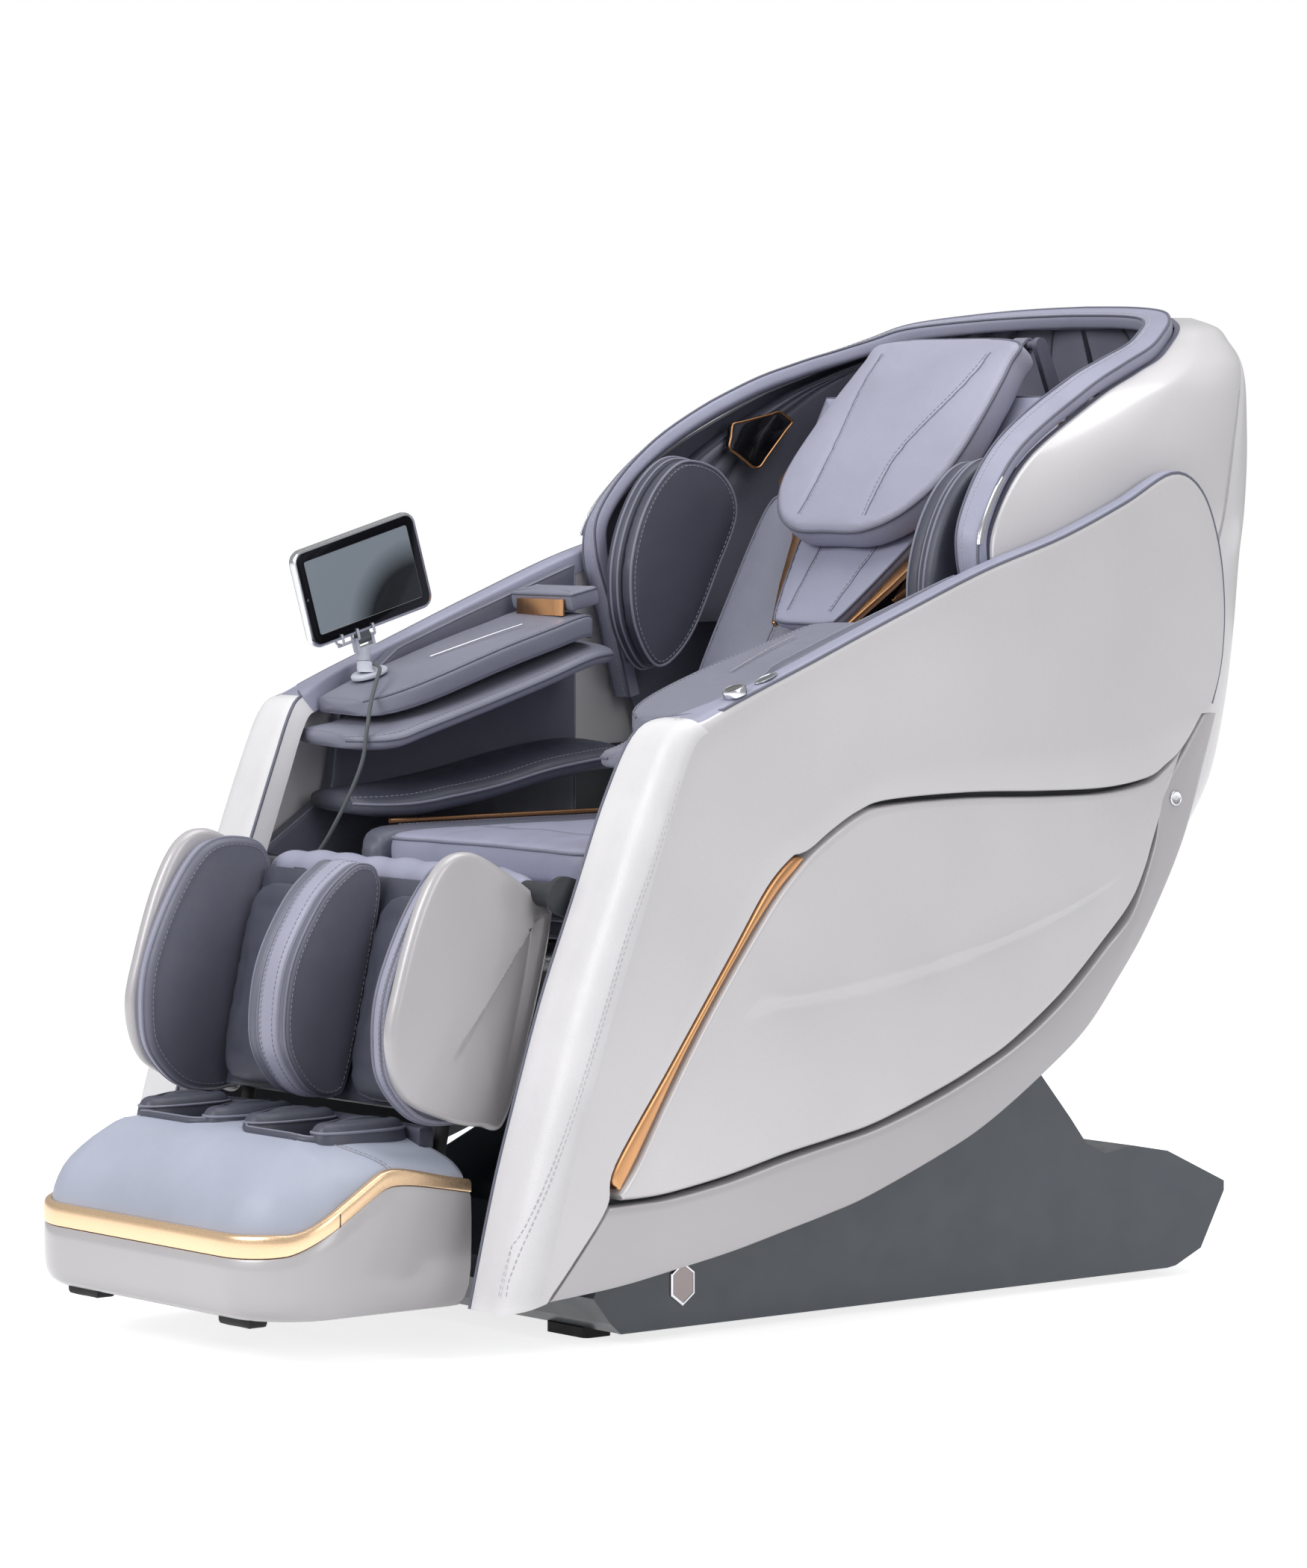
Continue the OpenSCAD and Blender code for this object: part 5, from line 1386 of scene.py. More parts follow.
        where = Placement.side(self.lining_in + self.lining_t, outward=False)
        pad = Cushion(even(self.lining, 14), self.lining_t - 3.5, 3, 4, where, channels, (-60, 600))
        pad.build(piece, 0, 7, 26)
        pad.piping(piece, 1, 1.6, 60)
        piece.mirrored()
        piece.make("seat", ["arm_linings"])

    def screw_caps(self) -> None:
        """Round caps over the shells' rear screws."""
        piece = Piece("screw_cap_covers", [SILVER])
        piece.skin(Placement.side(side_x(*self.cap_at)).moved(*self.cap_at).turned(self.cap_profile, 32))
        piece.mirrored()
        piece.make("seat", ["screw_caps"], sharp=40)

    def control_ring(self) -> None:
        """The oval touch ring beside the dial."""
        piece = Piece("control_ring", [SILVER, BLACK_PLASTIC])
        along, normal = unit([0, 0.934, 0.357]), unit([0, -0.357, 0.934])
        place = Placement(self.ring_at, tuple(along), (1, 0, 0), tuple(normal))
        piece.tube(place.at(oval(40, 15, 7.5)), 1.1, 0, 8, closed=True)
        piece.skin([place.at(oval(40, 13.5, 6.75), h) for h in (-1.0, 0.5)], 1)
        piece.make("seat", sharp=40)

    def dial(self) -> None:
        """Knurled control dial."""
        place = Placement.flat(*self.dial_at, self.dial_lean)
        piece = Piece("arm_dial_cap", [SILVER, PIANO_BLACK])
        sides = 96
        rings = []
        for r, h in self.dial_profile:
            grip = 0.35 * (np.arange(sides) % 2) if 0.5 < h < 7.5 else np.zeros(sides)
            rings.append(place.at(oval(sides, 1, 1) * (r - grip)[:, None], h))
        piece.skin(rings, lambda k, _i: 1 if k >= 5 else 0)
        piece.make("dial", ["arm_dial"], sharp=40)


# ---- seat


@dataclass
class Seat(Assembly):
    """Seat cushion, its bolsters and the sewn layers in front of it."""

    order = ("apron", "valance", "cushion", "bolsters", "layers")
    front: float = -250
    rear: float = 182
    half: float = 196
    top: float = 566
    thickness: float = 46
    crown: float = 10
    layer: float = 22
    layer_rear: float = -199
    bolster_w: float = 50
    bolster_r: float = 26
    bolster_z: float = 510
    valance_line: tuple = ((203, 508), (206, 540), (213, 565), (224, 588), (243, 622), (262, 656))

    @staticmethod
    def seam_x(y: float | Points) -> float | Points:
        """Distance of the long seams from the middle at y."""
        return 104 + 18 * ease(y, -250, 100)

    @staticmethod
    def channel_y(x: float | Points) -> float | Points:
        """Place of the cross channel at x."""
        return -170 - 12 * np.cos(x / 70)

    def cushion(self) -> None:
        """Crowned cushion with a waterfall front, two long seams and a cross channel."""
        right = [(0, self.front - 8), (self.half * 0.5, self.front - 14), (self.half, self.front)]
        right += [(self.half, (self.front + self.rear) / 2), (self.half - 8, self.rear), (0, self.rear + 6)]

        def channels(p: Points) -> Points:
            """Depth of the seams and of the channel."""
            long = np.abs(p[:, 0]) - self.seam_x(p[:, 1])
            return folds(long, 4.5, 3.0) + folds(p[:, 1] - self.channel_y(p[:, 0]), 3.5, 3.4)

        piece = Piece("seat_cushion_cover", [LAVENDER, ASH, THREAD])
        where = Placement.flat(0, 0, self.top - self.thickness - self.crown)
        pad = Cushion(smooth_loop(both_halves(right), 12), self.thickness, self.crown, 14, where, channels)
        pad.stuffing, pad.welt = Stuffing(8), 40
        pad.build(piece, 0, 11, 40)
        pad.piping(piece, 1, 2.0, 40)
        for side in (-1, 1):
            pad.seam(piece, [(side * float(self.seam_x(y)), y) for y in range(-150, 171, 32)], 4.5 * side)
        pad.seam(piece, [(x, float(self.channel_y(x))) for x in range(-180, 181, 30)])
        piece.make("seat", ["seat_cushion"])

    def bolsters(self) -> None:
        """Side bolsters with copper piping."""
        r = self.bolster_r
        x, top = self.half + 10 + self.bolster_w / 2, self.bolster_z + 2 * r
        piece = Piece("seat_bolster_covers", [SMOKE, COPPER, THREAD])
        stations = smooth_line([(-262, 0.6), (-240, 0.94), (-120, 1), (30, 1), (120, 0.96), (150, 0.7)], 6)
        rings = []
        for y, s in stations:
            u, v = oval(32, self.bolster_w / 2 * s, r * s, 2 / 3, math.pi / 32).T
            rings.append(np.column_stack([x + u, np.full(32, y), top - 2 * r + s * r + v]))
        head = [scaled(rings[0], 0.4) + [0, -5, 0], scaled(rings[0], 0.8) + [0, -3, 0]]
        piece.skin([*head, *rings, scaled(rings[-1], 0.6) + [0, 4, 0]])
        piece.tube(np.array([(x, y, top + 3.3) for y in np.linspace(-232, 108, 60)]), 3, 1, 12)
        piece.stitches(np.array([(x - 9, y, top - 0.3) for y in np.linspace(-225, 105, 20)]), 2)
        piece.mirrored()
        piece.make("seat", ["seat_bolsters"])

    def layers(self) -> None:
        """Three rounded leather layers under the front of the cushion."""
        piece = Piece("seat_front_covers", [LAVENDER, THREAD])
        under = self.top - self.thickness - self.crown
        for i in range(3):
            front, half = self.front - 8 + 14 * i, self.half + 30 - 12 * i
            where = Placement.flat(0, 0, under - (i + 1) * (self.layer + 0.3))
            loop = resampled(rounded(-half, half, front, self.layer_rear, 12), 9, True)
            pad = Cushion(loop, self.layer, 0, 5, where, centre=(0, (front + self.layer_rear) / 2))
            pad.build(piece, 0, 11, 4)
            line = where.at(pad.lip(0))
            line = line[line[:, 1] < front + 20]
            piece.stitches(line[np.argsort(line[:, 0])] + [0, -0.4, -5], 1)
        piece.make("seat", ["seat_front_layers"])

    def apron(self) -> None:
        """Gathered leather panel that covers the gap in front of the seat."""
        piece = Piece("seat_apron_cover", [LAVENDER])
        rear, front = -262, -345
        rings = []
        for x in np.linspace(-198, 198, 90):
            gather = 1.6 * math.sin(x / 8) + 1.1 * math.sin(x / 19 + 0.7)
            top = [
                (x, y, 505.5 + 3 * math.sin((y - front) / 30) + gather * (0.3 + (y - front) / 160))
                for y in np.linspace(front, rear, 12)
            ]
            rings.append(np.array(top + [(a, b, c - 3.5) for a, b, c in top[::-1]]))
        piece.skin(rings)
        piece.make("seat")

    def valance(self) -> None:
        """Soft leather that closes the gap behind the seat."""
        piece = Piece("seat_rear_valance", [SMOKE])
        path = smooth_line(self.valance_line, 6)
        rings = []
        for x in np.linspace(-246, 246, 80):
            gather = 0.9 * math.sin(x / 9) + 0.7 * math.sin(x / 21 + 0.4)
            front = [(x, y + gather, z) for y, z in path]
            rings.append(np.array(front + [(a, b + 3, c) for a, b, c in front[::-1]]))
        piece.skin(rings)
        made = piece.make("")
        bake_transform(made)


# ---- backrest


@dataclass
class Hood(Assembly):
    """The hood over the head, the shell behind it, and what lines them."""

    order = ("shells", "rim", "trims", "lining")
    back_hw: float = 373.7
    full: float = 376
    wall: float = 12
    rim_w: float = 36
    rim_t: float = 20
    seam: float = 0.57
    steps: int = 6
    lobes: float = 8.5
    top: float = 1180
    turn_at: float = 0.4
    levels: tuple = (
        (540, 290, 366, 340, 368, 640), (610, 262, 372, 334, 374, 696), (700, 232, 374, 330, 376, 728),
        (790, 207, 374, 335, 376, 744), (878, 183, 374, 345, 376, 753), (935, 199, 367, 380, 376, 755),
        (1006, 267, 348, 425, 371, 753), (1073, 389, 328, 500, 352, 746), (1104, 466, 312, 550, 334, 740),
        (1124, 524, 296, 590, 312, 734), (1142, 569, 272, 620, 284, 728), (1160, 610, 242, 650, 250, 722),
        (1172, 663, 174, 685, 178, 716),
    )

    def __post_init__(self) -> None:
        """Works out the rows between the levels."""
        self.rows = smooth_line(self.levels, self.steps)
        self.scale = self.back_hw / self.full

    def edge_back(self, k: int) -> float:
        """How far behind the front edge the wall starts at row k.

        Args:
            k: the row.

        Returns:
            The distance.
        """
        last = len(self.rows) - 1
        a, b = self.rows[max(k - 1, 0)], self.rows[min(k + 1, last)]
        t = unit(np.array([b[2] - a[2], b[1] - a[1], b[0] - a[0]]))
        return min(34.0, self.rim_t / 2 / math.sqrt(max(1e-4, 1 - t[1] ** 2)))

    def point(self, k: int, w: float, inset: float, back: float) -> tuple[float, float, float]:
        """Point of the right half at row k.

        Args:
            k: the row.
            w: 0 at the front edge to 1 at the middle of the back.
            inset: how far inside the outer face.
            back: how far behind the wall's start.

        Returns:
            The point.
        """
        r = self.rows[k]
        a, xf = r[4] * self.scale - inset, r[2] * self.scale - inset
        start = r[1] + self.edge_back(k)
        yf = start + back
        yc = min(r[5] - 16, max(r[3], start + 24))
        b = max(2.0, r[5] - inset - yc)
        if w < self.turn_at:
            f = 1 - w / self.turn_at
            return (a - (a - xf) * f * f, yc - max(0.0, yc - yf) * f, r[0])
        turn = math.pi / 2 * (w - self.turn_at) / (1 - self.turn_at)
        c, s = math.cos(turn), math.sin(turn)
        return (a * abs(c) ** (2 / 3), yc + b * abs(s) ** (2 / 3), r[0])

    def wall_rings(self, w1: float, n: int) -> list[Points]:
        """Rings of the hood's wall from its front edge, with softened edges.

        Args:
            w1: where the wall ends, as a share of the way round.
            n: number of steps round it.

        Returns:
            The rings, from its foot up.
        """
        soft, near = 2.5, 0.006
        ws = np.linspace(0, w1, n + 1)
        rings = []
        for k in range(len(self.rows)):
            outer = [self.point(k, w, soft if j in (0, n) else 0, 0) for j, w in enumerate(ws)]
            inner = [self.point(k, w, self.wall, 0) for w in ws[::-1]]
            first, last = self.point(k, near, 0, 0), self.point(k, w1 - near, 0, 0)
            rings.append(np.array([outer[0], first, *outer[1:-1], last, outer[-1], *inner]))
        return rings

    def shells(self) -> None:
        """Lacquered sides, leather-lined inside, and the shell behind them."""
        sides = Piece("hood_side_covers", [PEARL, SMOKE])
        sides.skin(self.wall_rings(self.seam, 34), lambda _k, i: 1 if i >= 37 else 0)
        sides.mirrored()
        sides.make("backrest", ["hood_sides"], sharp=50)
        ws = np.linspace(self.seam + 0.012, 1, 44)
        flip = [-1, 1, 1]
        rings = []
        for k in range(len(self.rows)):
            outer = np.array([self.point(k, w, 3 * max(0, 1 - i / 1.5), 0) for i, w in enumerate(ws)])
            inner = np.array([self.point(k, w, self.wall, 0) for w in ws])
            rings.append(np.vstack([outer, outer[::-1][1:] * flip, inner * flip, inner[::-1][1:]]))
        shell = Piece("back_shell_cover", [PEARL_BACK])
        shell.skin(rings)
        shell.make("backrest", ["back_shell"], sharp=50)

    def rim_line(self) -> Points:
        """Front edge of the hood from one arm over the head to the other.

        Returns:
            The line's points.
        """
        right = [(r[2] * self.scale, r[1], r[0]) for r in self.levels if r[0] > 650]
        half = smooth_line([*right, (92, 690, self.top - 2), (0, 697, self.top)], 8)
        return np.vstack([half, half[::-1][1:] * [-1, 1, 1]])

    def rim(self) -> None:
        """Padded leather rim with a step, piping and stitching."""
        line = self.rim_line()
        last = len(line) - 1
        u, v = oval(28, self.rim_w / 2, self.rim_t / 2, 0.5, math.pi / 28).T
        rings, frames = [], []
        for i, p in enumerate(line):
            t = unit(line[min(i + 1, last)] - line[max(i - 1, 0)])
            over = min(1.0, max(0.0, (p[2] - 1050) / 130))
            toward = np.array([-p[0], -60 - 240 * over, 160 - 260 * over])
            inward = unit(np.cross(np.cross(t, toward), t))
            up = unit(np.cross(inward, t))
            flat = up if up[1] < 0 else -up
            rings.append(p + np.outer(self.rim_w / 2 + 1 + u, inward) + np.outer(v, flat))
            frames.append((p, inward, flat))

        def along(inset: float, lift: float) -> Points:
            """Line on the rim, so far from its outer edge and above its face."""
            up = self.rim_t / 2 + lift
            return np.array([p + inward * inset + flat * up for p, inward, flat in frames])

        piece = Piece("hood_rim_cover", [LAVENDER, SMOKE, PALE_THREAD])
        piece.skin(rings)
        piece.tube(resampled(along(3.4, -1.2), 10), 1.8, 1)
        piece.tube(resampled(along(self.rim_w - 1, -1.4), 10), 1.6, 1)
        piece.stitches(along(self.rim_w - 9, 0.25), 2)
        piece.make("backrest", ["hood_rim"], sharp=70)

    def trims(self) -> None:
        """Silver trims at the foot of the rim, one to a side."""
        piece = Piece("hood_front_trims", [SILVER])
        line = self.rim_line()
        section = raised(oval(14, -2.2, 4.5), 0) + [2.7, -self.rim_t / 2 - 0.2, 0]
        piece.skin([p + section for p in line[: len(line) // 2] if 900 < p[2] < 985])
        piece.mirrored()
        piece.make("backrest", sharp=50)

    def lining(self) -> None:
        """Padded lining with deep upright folds and a welt between each two."""
        rows = range(3 * self.steps, len(self.rows) - self.steps)
        piece = Piece("hood_lining_cover", [ASH, SMOKE])
        ws = np.linspace(0.1, 0.999, 120)
        swell = 14 + 12 * np.abs(np.sin(math.pi * ws * self.lobes)) ** 0.55
        rings = []
        for k in rows:
            inner = [self.point(k, w, self.wall + depth, 20) for w, depth in zip(ws, swell)]
            rings.append(np.array([*inner, *[self.point(k, w, self.wall + 1.8, 20) for w in ws[::-1]]]))
        piece.skin(rings)
        for i in range(1, int(self.lobes) + 1):
            welt = [self.point(k, i / self.lobes, self.wall + 17.5, 20) for k in rows]
            piece.tube(resampled(np.array(welt), 14), 2.0, 1)
        piece.mirrored()
        piece.make("backrest", ["hood_lining"], sharp=70)


@dataclass
class BackCushions(Assembly):
    """What the sitter leans on: back pads, neck panel, shoulder pads, pillow and trims."""

    order = ("cloth_panel", "pads", "chevrons", "neck", "shoulders", "speakers", "pillow")
    y: float = 300
    z: float = 520
    cloth: float = 110
    head_at: Triple = (391, 1006, 41)
    shoulder_in: float = 254
    shoulder_t: float = 26
    pad: tuple = (
        (2, 60), (60, 22), (128, 40), (150, 130), (158, 260), (160, 372), (146, 404), (112, 388),
        (62, 318), (24, 262), (12, 180),
    )
    blade: tuple = (
        (82, 262), (104, 282), (150, 338), (196, 398), (228, 424), (222, 446), (184, 424), (132, 362),
        (92, 296),
    )
    small_blade: tuple = ((62, 268), (70, 262), (78, 330), (62, 372), (50, 356))
    neck_half: tuple = (
        (0, -270), (46, -268), (62, -256), (88, -190), (112, -112), (112, -60), (96, 10), (0, 20),
    )
    neck_edge: tuple = ((64, -262), (70, -264), (104, -200), (146, -104), (134, -92), (118, -110), (92, -190))
    wing: tuple = ((92, 306), (140, 372), (186, 430), (226, 456), (232, 560), (60, 560), (60, 330))
    shoulder: tuple = (
        (250, 996), (206, 968), (174, 914), (160, 850), (170, 782), (206, 738), (256, 772), (302, 856),
        (334, 930), (308, 980),
    )
    pillow_half: tuple = (
        (0, -160), (62, -158), (112, -132), (144, -84), (152, -30), (148, 40), (138, 110), (124, 148),
        (0, 154),
    )

    @property
    def front(self) -> Placement:
        """The plane just in front of the stretched cloth."""
        return Placement.back(self.y, self.z).moved(w=self.cloth + 6.3)

    def cloth_panel(self) -> None:
        """Stretched cloth over the rollers."""
        loop = even(both_halves([(60, 20), (112, 60), (128, 200), (124, 400), (112, 576)]), 10)
        piece = Piece("back_cloth_panel", [BACK_CLOTH])

        def tracks(p: Points) -> Points:
            """Soft hollows over the roller tracks."""
            return folds(np.abs(p[:, 0]) - 60, 1.4, 22)

        where = Placement.back(self.y, self.z).moved(w=self.cloth)
        Cushion(loop, 4.5, 1.2, 1.5, where, tracks, centre=(0, 290)).build(piece, 0, 5, 24)
        piece.make("backrest", ["back_cloth"])

    def pads(self) -> None:
        """The two long pads beside the spine, each with a curved seam."""
        piece = Piece("back_pad_covers", [ASH, SMOKE, THREAD])

        def line(v: float | Points) -> float | Points:
            """Place of the long seam at height v."""
            return 34 + 22 * np.sin(np.clip(v / 430, 0, 1) * 2.6)

        def seam(p: Points) -> Points:
            """One long seam near the inner edge and a shallow one across."""
            u, v = p[:, 0], p[:, 1]
            return folds(u - line(v), 4.0, 3.2) + folds(v - 250 - u * 0.2, 2.2, 3.0)

        x, y, z = Placement.back(self.y, self.z, x=66).moved(w=self.cloth + 4.91).origin
        where = Placement.back(y, z, x=x, yaw=8)
        pad = Cushion(smooth_loop(self.pad, 10), 34, 7, 13, where, seam, (84, 225), Stuffing(6), 48)
        pad.build(piece, 0, 11, 34)
        pad.piping(piece, 1, 2.0, 48)
        pad.seam(piece, [(float(line(v)), v) for v in range(50, 267, 27)])
        piece.mirrored()
        piece.make("backrest", ["back_pads"])

    def chevrons(self) -> None:
        """Copper chevrons between the pads and the neck panel."""
        piece = Piece("copper_chevrons", [COPPER])
        for loop, t, mid in ((self.small_blade, 7.0, (66, 320)), (self.blade, 44.0, (152, 352))):
            Cushion(even(loop, 5), t, 0.8, 1.4, self.front, centre=mid).build(piece, 0, 7, 4)
        piece.mirrored()
        piece.make("backrest", ["back_chevrons"], sharp=60)

    def neck(self) -> None:
        """The panel under the pillow, sewn in three, its copper edges and the wings beside it."""
        piece = Piece("neck_panel_cover", [LAVENDER, SMOKE, THREAD, COPPER])

        def line(v: float | Points) -> float | Points:
            """Distance of the seams from the middle at height v."""
            return 40 + 0.12 * (v + 250)

        def seams(p: Points) -> Points:
            """Two upright seams."""
            return folds(np.abs(p[:, 0]) - line(p[:, 1]), 3.6, 2.6)

        where = Placement.back(*self.head_at).moved(w=-23.3)
        loop = smooth_loop(both_halves(self.neck_half), 10)
        pad = Cushion(loop, 18, 5, 6, where, seams, centre=(0, -95), stuffing=Stuffing(4, 5))
        pad.build(piece, 0, 9, 24)
        pad.piping(piece, 1, 1.6, 50)
        for side in (-1, 1):
            pad.seam(piece, [(side * line(v), v) for v in range(-250, 11, 20)], 4 * side)
            edge = even(np.array(self.neck_edge) * [side, 1], 5)
            Cushion(edge, 8, 1, 2, where, centre=(side * 108, -150)).build(piece, 3, 7, 4)
        for side in (-1, 1):
            wing = even(np.array(self.wing) * [side, 1], 9)
            cover = Cushion(wing, 26, 5, 8, self.front, centre=(side * 140, 480))
            cover.build(piece, 0, 7, 14)
            cover.piping(piece, 1, 1.6, 50)
        Cushion(oblong(-33, 33, 297, 335, 6), 34, 0, 2, self.front, centre=(0, 316)).build(piece, 1, 5, 3)
        piece.make("backrest", ["neck_panel"])

    def shoulders(self) -> None:
        """Three-layered shoulder pads with piped edges."""
        outline = np.array(self.shoulder, float)
        piece = Piece("shoulder_pad_covers", [SLATE, ASH, THREAD])
        t, step = self.shoulder_t, self.shoulder_t + 0.3
        inner, middle = Placement.side(self.shoulder_in + t, False), Placement.side(self.shoulder_in + step)
        wide = smooth_loop(drawn_in(outline, -3), 10)
        small = smooth_loop(drawn_in(outline, 30) - [4, 26], 10)
        front = Cushion(smooth_loop(outline, 10), t - 3, 3, 9, inner, None, (240, 870), Stuffing(6), 46)
        pads = [
            (front, (46,)),
            (Cushion(wide, t, 0.2, 9, middle, centre=(240, 870)), (0, -50)),
            (Cushion(small, t, 0.2, 9, middle.moved(w=step), centre=(236, 845)), (0,)),
        ]
        for pad, cords in pads:
            pad.build(piece, 0, 11, 14)
            for radius, angle in zip((1.9, 1.6), cords):
                pad.piping(piece, 1, radius, angle)
        front.sewn(piece, 2, -2)
        piece.mirrored()
        piece.make("backrest", ["shoulder_pads"])

    def speakers(self) -> None:
        """Glossy speaker panels in thin copper frames."""
        corners = even([(356, 1010), (362, 1042), (440, 1058), (466, 1046), (404, 980)], 16)
        piece = Piece("speaker_panel_covers", [PIANO_BLACK, COPPER])
        loop = drawn_in(smooth_loop(corners, 3), 0.5)
        pad = Cushion(loop, 8.6, 0.6, 2, Placement.side(312, False), centre=(405, 1028))
        pad.build(piece, 0, 7, 8)
        pad.piping(piece, 1, 1.8, 75)
        piece.mirrored()
        piece.make("backrest", ["speaker_panels"], sharp=60)

    def pillow(self) -> None:
        """Head pillow with two curved seams, its straps hung from the rod."""
        piece = Piece("head_pillow_cover", [PALE_LAVENDER, SMOKE, THREAD, ASH])

        def line(v: float | Points) -> float | Points:
            """Distance of the seams from the middle at height v."""
            return 70 + 22 * ease(v, -60, 140) + 10 * np.sin(v / 60)

        def seams(p: Points) -> Points:
            """Two seams that open out towards the top."""
            return folds(np.abs(p[:, 0]) - line(p[:, 1]), 5.0, 3.4)

        loop = smooth_loop(both_halves(self.pillow_half), 10)
        where = Placement.back(*self.head_at)
        pad = Cushion(loop, 44, 14, 16, where, seams, (0, -6), Stuffing(8, 5), 34)
        pad.build(piece, 0, 13, 44)
        pad.piping(piece, 1, 2.2, 34)
        for side in (-1, 1):
            pad.seam(piece, [(side * float(line(v)), v) for v in range(-138, 141, 20)], 5 * side)
        for side in (-1, 1):
            piece.skin([ring * [side, 1, 1] for ring in self.strap_rings()], 3)
        piece.make("pillow", ["head_pillow"])

    def strap_rings(self) -> list[Points]:
        """Rings of one strap that loops over the rod.

        Returns:
            The rings, of the strap at the right.
        """
        rod, foot = np.array([514.0, 1138.0]), np.array([490.0, 1112.0])
        along = unit(foot - rod)
        out = np.array([-along[1], along[0]])

        def around(a: float, b: float) -> Points:
            """Line past the strap's foot at distance a and round the rod at distance b."""
            turn = [rod + out * b, rod - along * b, rod - out * b]
            return smooth_line([foot + out * a, *turn, foot - out * a], 6)

        pairs = zip(around(8, 9), around(6, 5.8))
        return [np.array([(62, *p), (86, *p), (86, *q), (62, *q)]) for p, q in pairs]


# ---- leg rest and footrest


@dataclass
class LegRest(Assembly):
    """Calf unit: lacquered wings, padded channels and the divider."""

    order = ("wings", "knee_roll", "pads", "middle")
    half: float = 274
    shell_w: float = 30
    pad_t: float = 34
    divider_w: float = 84
    back: float = -44.3
    shell: tuple = (
        (-486, 566), (-440, 546), (-378, 503), (-371, 478), (-398, 370), (-436, 262), (-470, 258),
        (-516, 268), (-576, 298), (-597, 358), (-584, 423), (-556, 504), (-524, 554),
    )
    pad: tuple = (
        (-462, 556), (-420, 538), (-414, 470), (-448, 290), (-480, 262), (-540, 268), (-584, 310),
        (-594, 360), (-586, 420), (-552, 494), (-510, 546),
    )
    divider: tuple = (
        (-468, 540), (-447, 528), (-447, 480), (-487, 306), (-510, 276), (-545, 286), (-574, 330),
        (-576, 384), (-562, 440), (-526, 500), (-490, 532),
    )

    @property
    def pad_in(self) -> float:
        """Inner face of a side pad."""
        return self.half - self.shell_w - 0.8 - self.pad_t

    def behind(self, x: float, depth: float, height: float) -> Placement:
        """A drawing behind the calves, which grows forward from a depth in the leg rest's frame."""
        return Placement(LEG.moved(x, depth, height).origin, LEG.u, LEG.w, tuple(-np.array(LEG.v)))

    def wings(self) -> None:
        """Lacquered outer wings with a raised diagonal crease, and the cover behind."""
        piece = Piece("calf_wing_covers", [PEARL_REAR, SLATE])

        def crease(p: Points) -> Points:
            """A pressed fold that runs down and forward across the outer face and fades out."""
            y, z = p[:, 0] + 394, p[:, 1] - 490
            gap, along = 0.785 * y - 0.622 * z, -0.622 * y - 0.785 * z
            step = 11 * ease(gap, -1, 5) * np.exp(-np.maximum(gap, 0) / 80)
            return (1 - ease(along, 80, 212)) * (step - 2 * (gap < 0) * np.exp(np.minimum(gap, 0) / 22))

        where = Placement.side(self.half - self.shell_w)
        wing = Cushion(smooth_loop(self.shell, 12), self.shell_w - 9, 6, 14, where, crease, (-480, 420))
        wing.build(piece, 0, 11, 60)
        piece.mirrored()
        half = self.pad_in - 1
        cover = Cushion(oblong(-half, half, -262, -2, 14), 9.6, 0.0, 2.5, self.behind(0, self.back + 10, 0))
        cover.centre = (0, -140)
        cover.build(piece, 1, 5, 6)
        piece.make("leg_rest", ["calf_shells"], sharp=50)

    def pads(self) -> None:
        """Side pads with a pale sewn strip, and the pads behind the calves."""
        piece = Piece("calf_pad_covers", [CALF_SLATE, PALE_LAVENDER, ASH, THREAD, SLATE])
        where = Placement.side(self.half - self.shell_w - 0.8, False)
        side = Cushion(smooth_loop(self.pad, 10), self.pad_t - 6, 6, 12, where, centre=(-500, 410))
        side.build(piece, lambda k, _i: 1 if 2 <= k <= 8 else 0, 17, 22)
        for angle, cord in ((-66, 1.7), (-33, 1.2), (12, 2.0)):
            side.piping(piece, 2, cord, angle)
        for angle in (-42, -25):
            piece.stitches(scaled(where.at(side.lip(angle)), 1.003), 3, pitch=6.0, closed=True)
        side.sewn(piece, 3, -4)
        mid, channel = (self.divider_w / 2 + self.pad_in) / 2, self.pad_in - self.divider_w / 2

        def ribs(p: Points) -> Points:
            """Cross channels behind the calf."""
            return folds((p[:, 1] % 58) - 29, 3.2, 4.5)

        box = oval(72, channel / 2 - 3, 118, 0.4, 0.04)
        rear = Cushion(box, 16, 8, 6, self.behind(mid, self.back - 0.3, -140), ribs, stuffing=Stuffing(5))
        rear.build(piece, 4, 9, 24)
        piece.mirrored()
        piece.make("leg_rest", ["calf_pads"])

    def middle(self) -> None:
        """The divider between the legs: two dark pads and a pale strip with piping."""
        piece = Piece("leg_divider_cover", [CALF_SLATE, PALE_LAVENDER, ASH, THREAD])
        loop, centre = smooth_loop(self.divider, 10), (-512, 400)
        half = Cushion(loop, self.divider_w / 2 - 22.8, 3.5, 9, Placement.side(19.3), centre=centre)
        half.build(piece, 0, 11, 16)
        half.piping(piece, 2, 2.0, -56)
        half.piping(piece, 2, 1.6, 30)
        half.sewn(piece, 3, -3)
        piece.mirrored()
        core = Cushion(drawn_in(loop, -2.2), 38, 0, 9, Placement.side(-19), centre=centre)
        core.build(piece, 1, 15, 3)
        for angle in (-34, -22, 34):
            ring = core.where.at(core.lip(angle))
            out = unit((ring - ring.mean(0)) * [0, 1, 1]) * 0.35
            piece.stitches(ring + out, 3, pitch=6.0, closed=True)
        near, far = self.back - 0.3, self.back - 20
        section = ((-9, near), (9, near), (9, far), (-9, far))
        piece.skin([LEG.at([(x, y, z) for x, y in section]) for z in (-180, -60)])
        piece.make("leg_rest", ["leg_divider"])

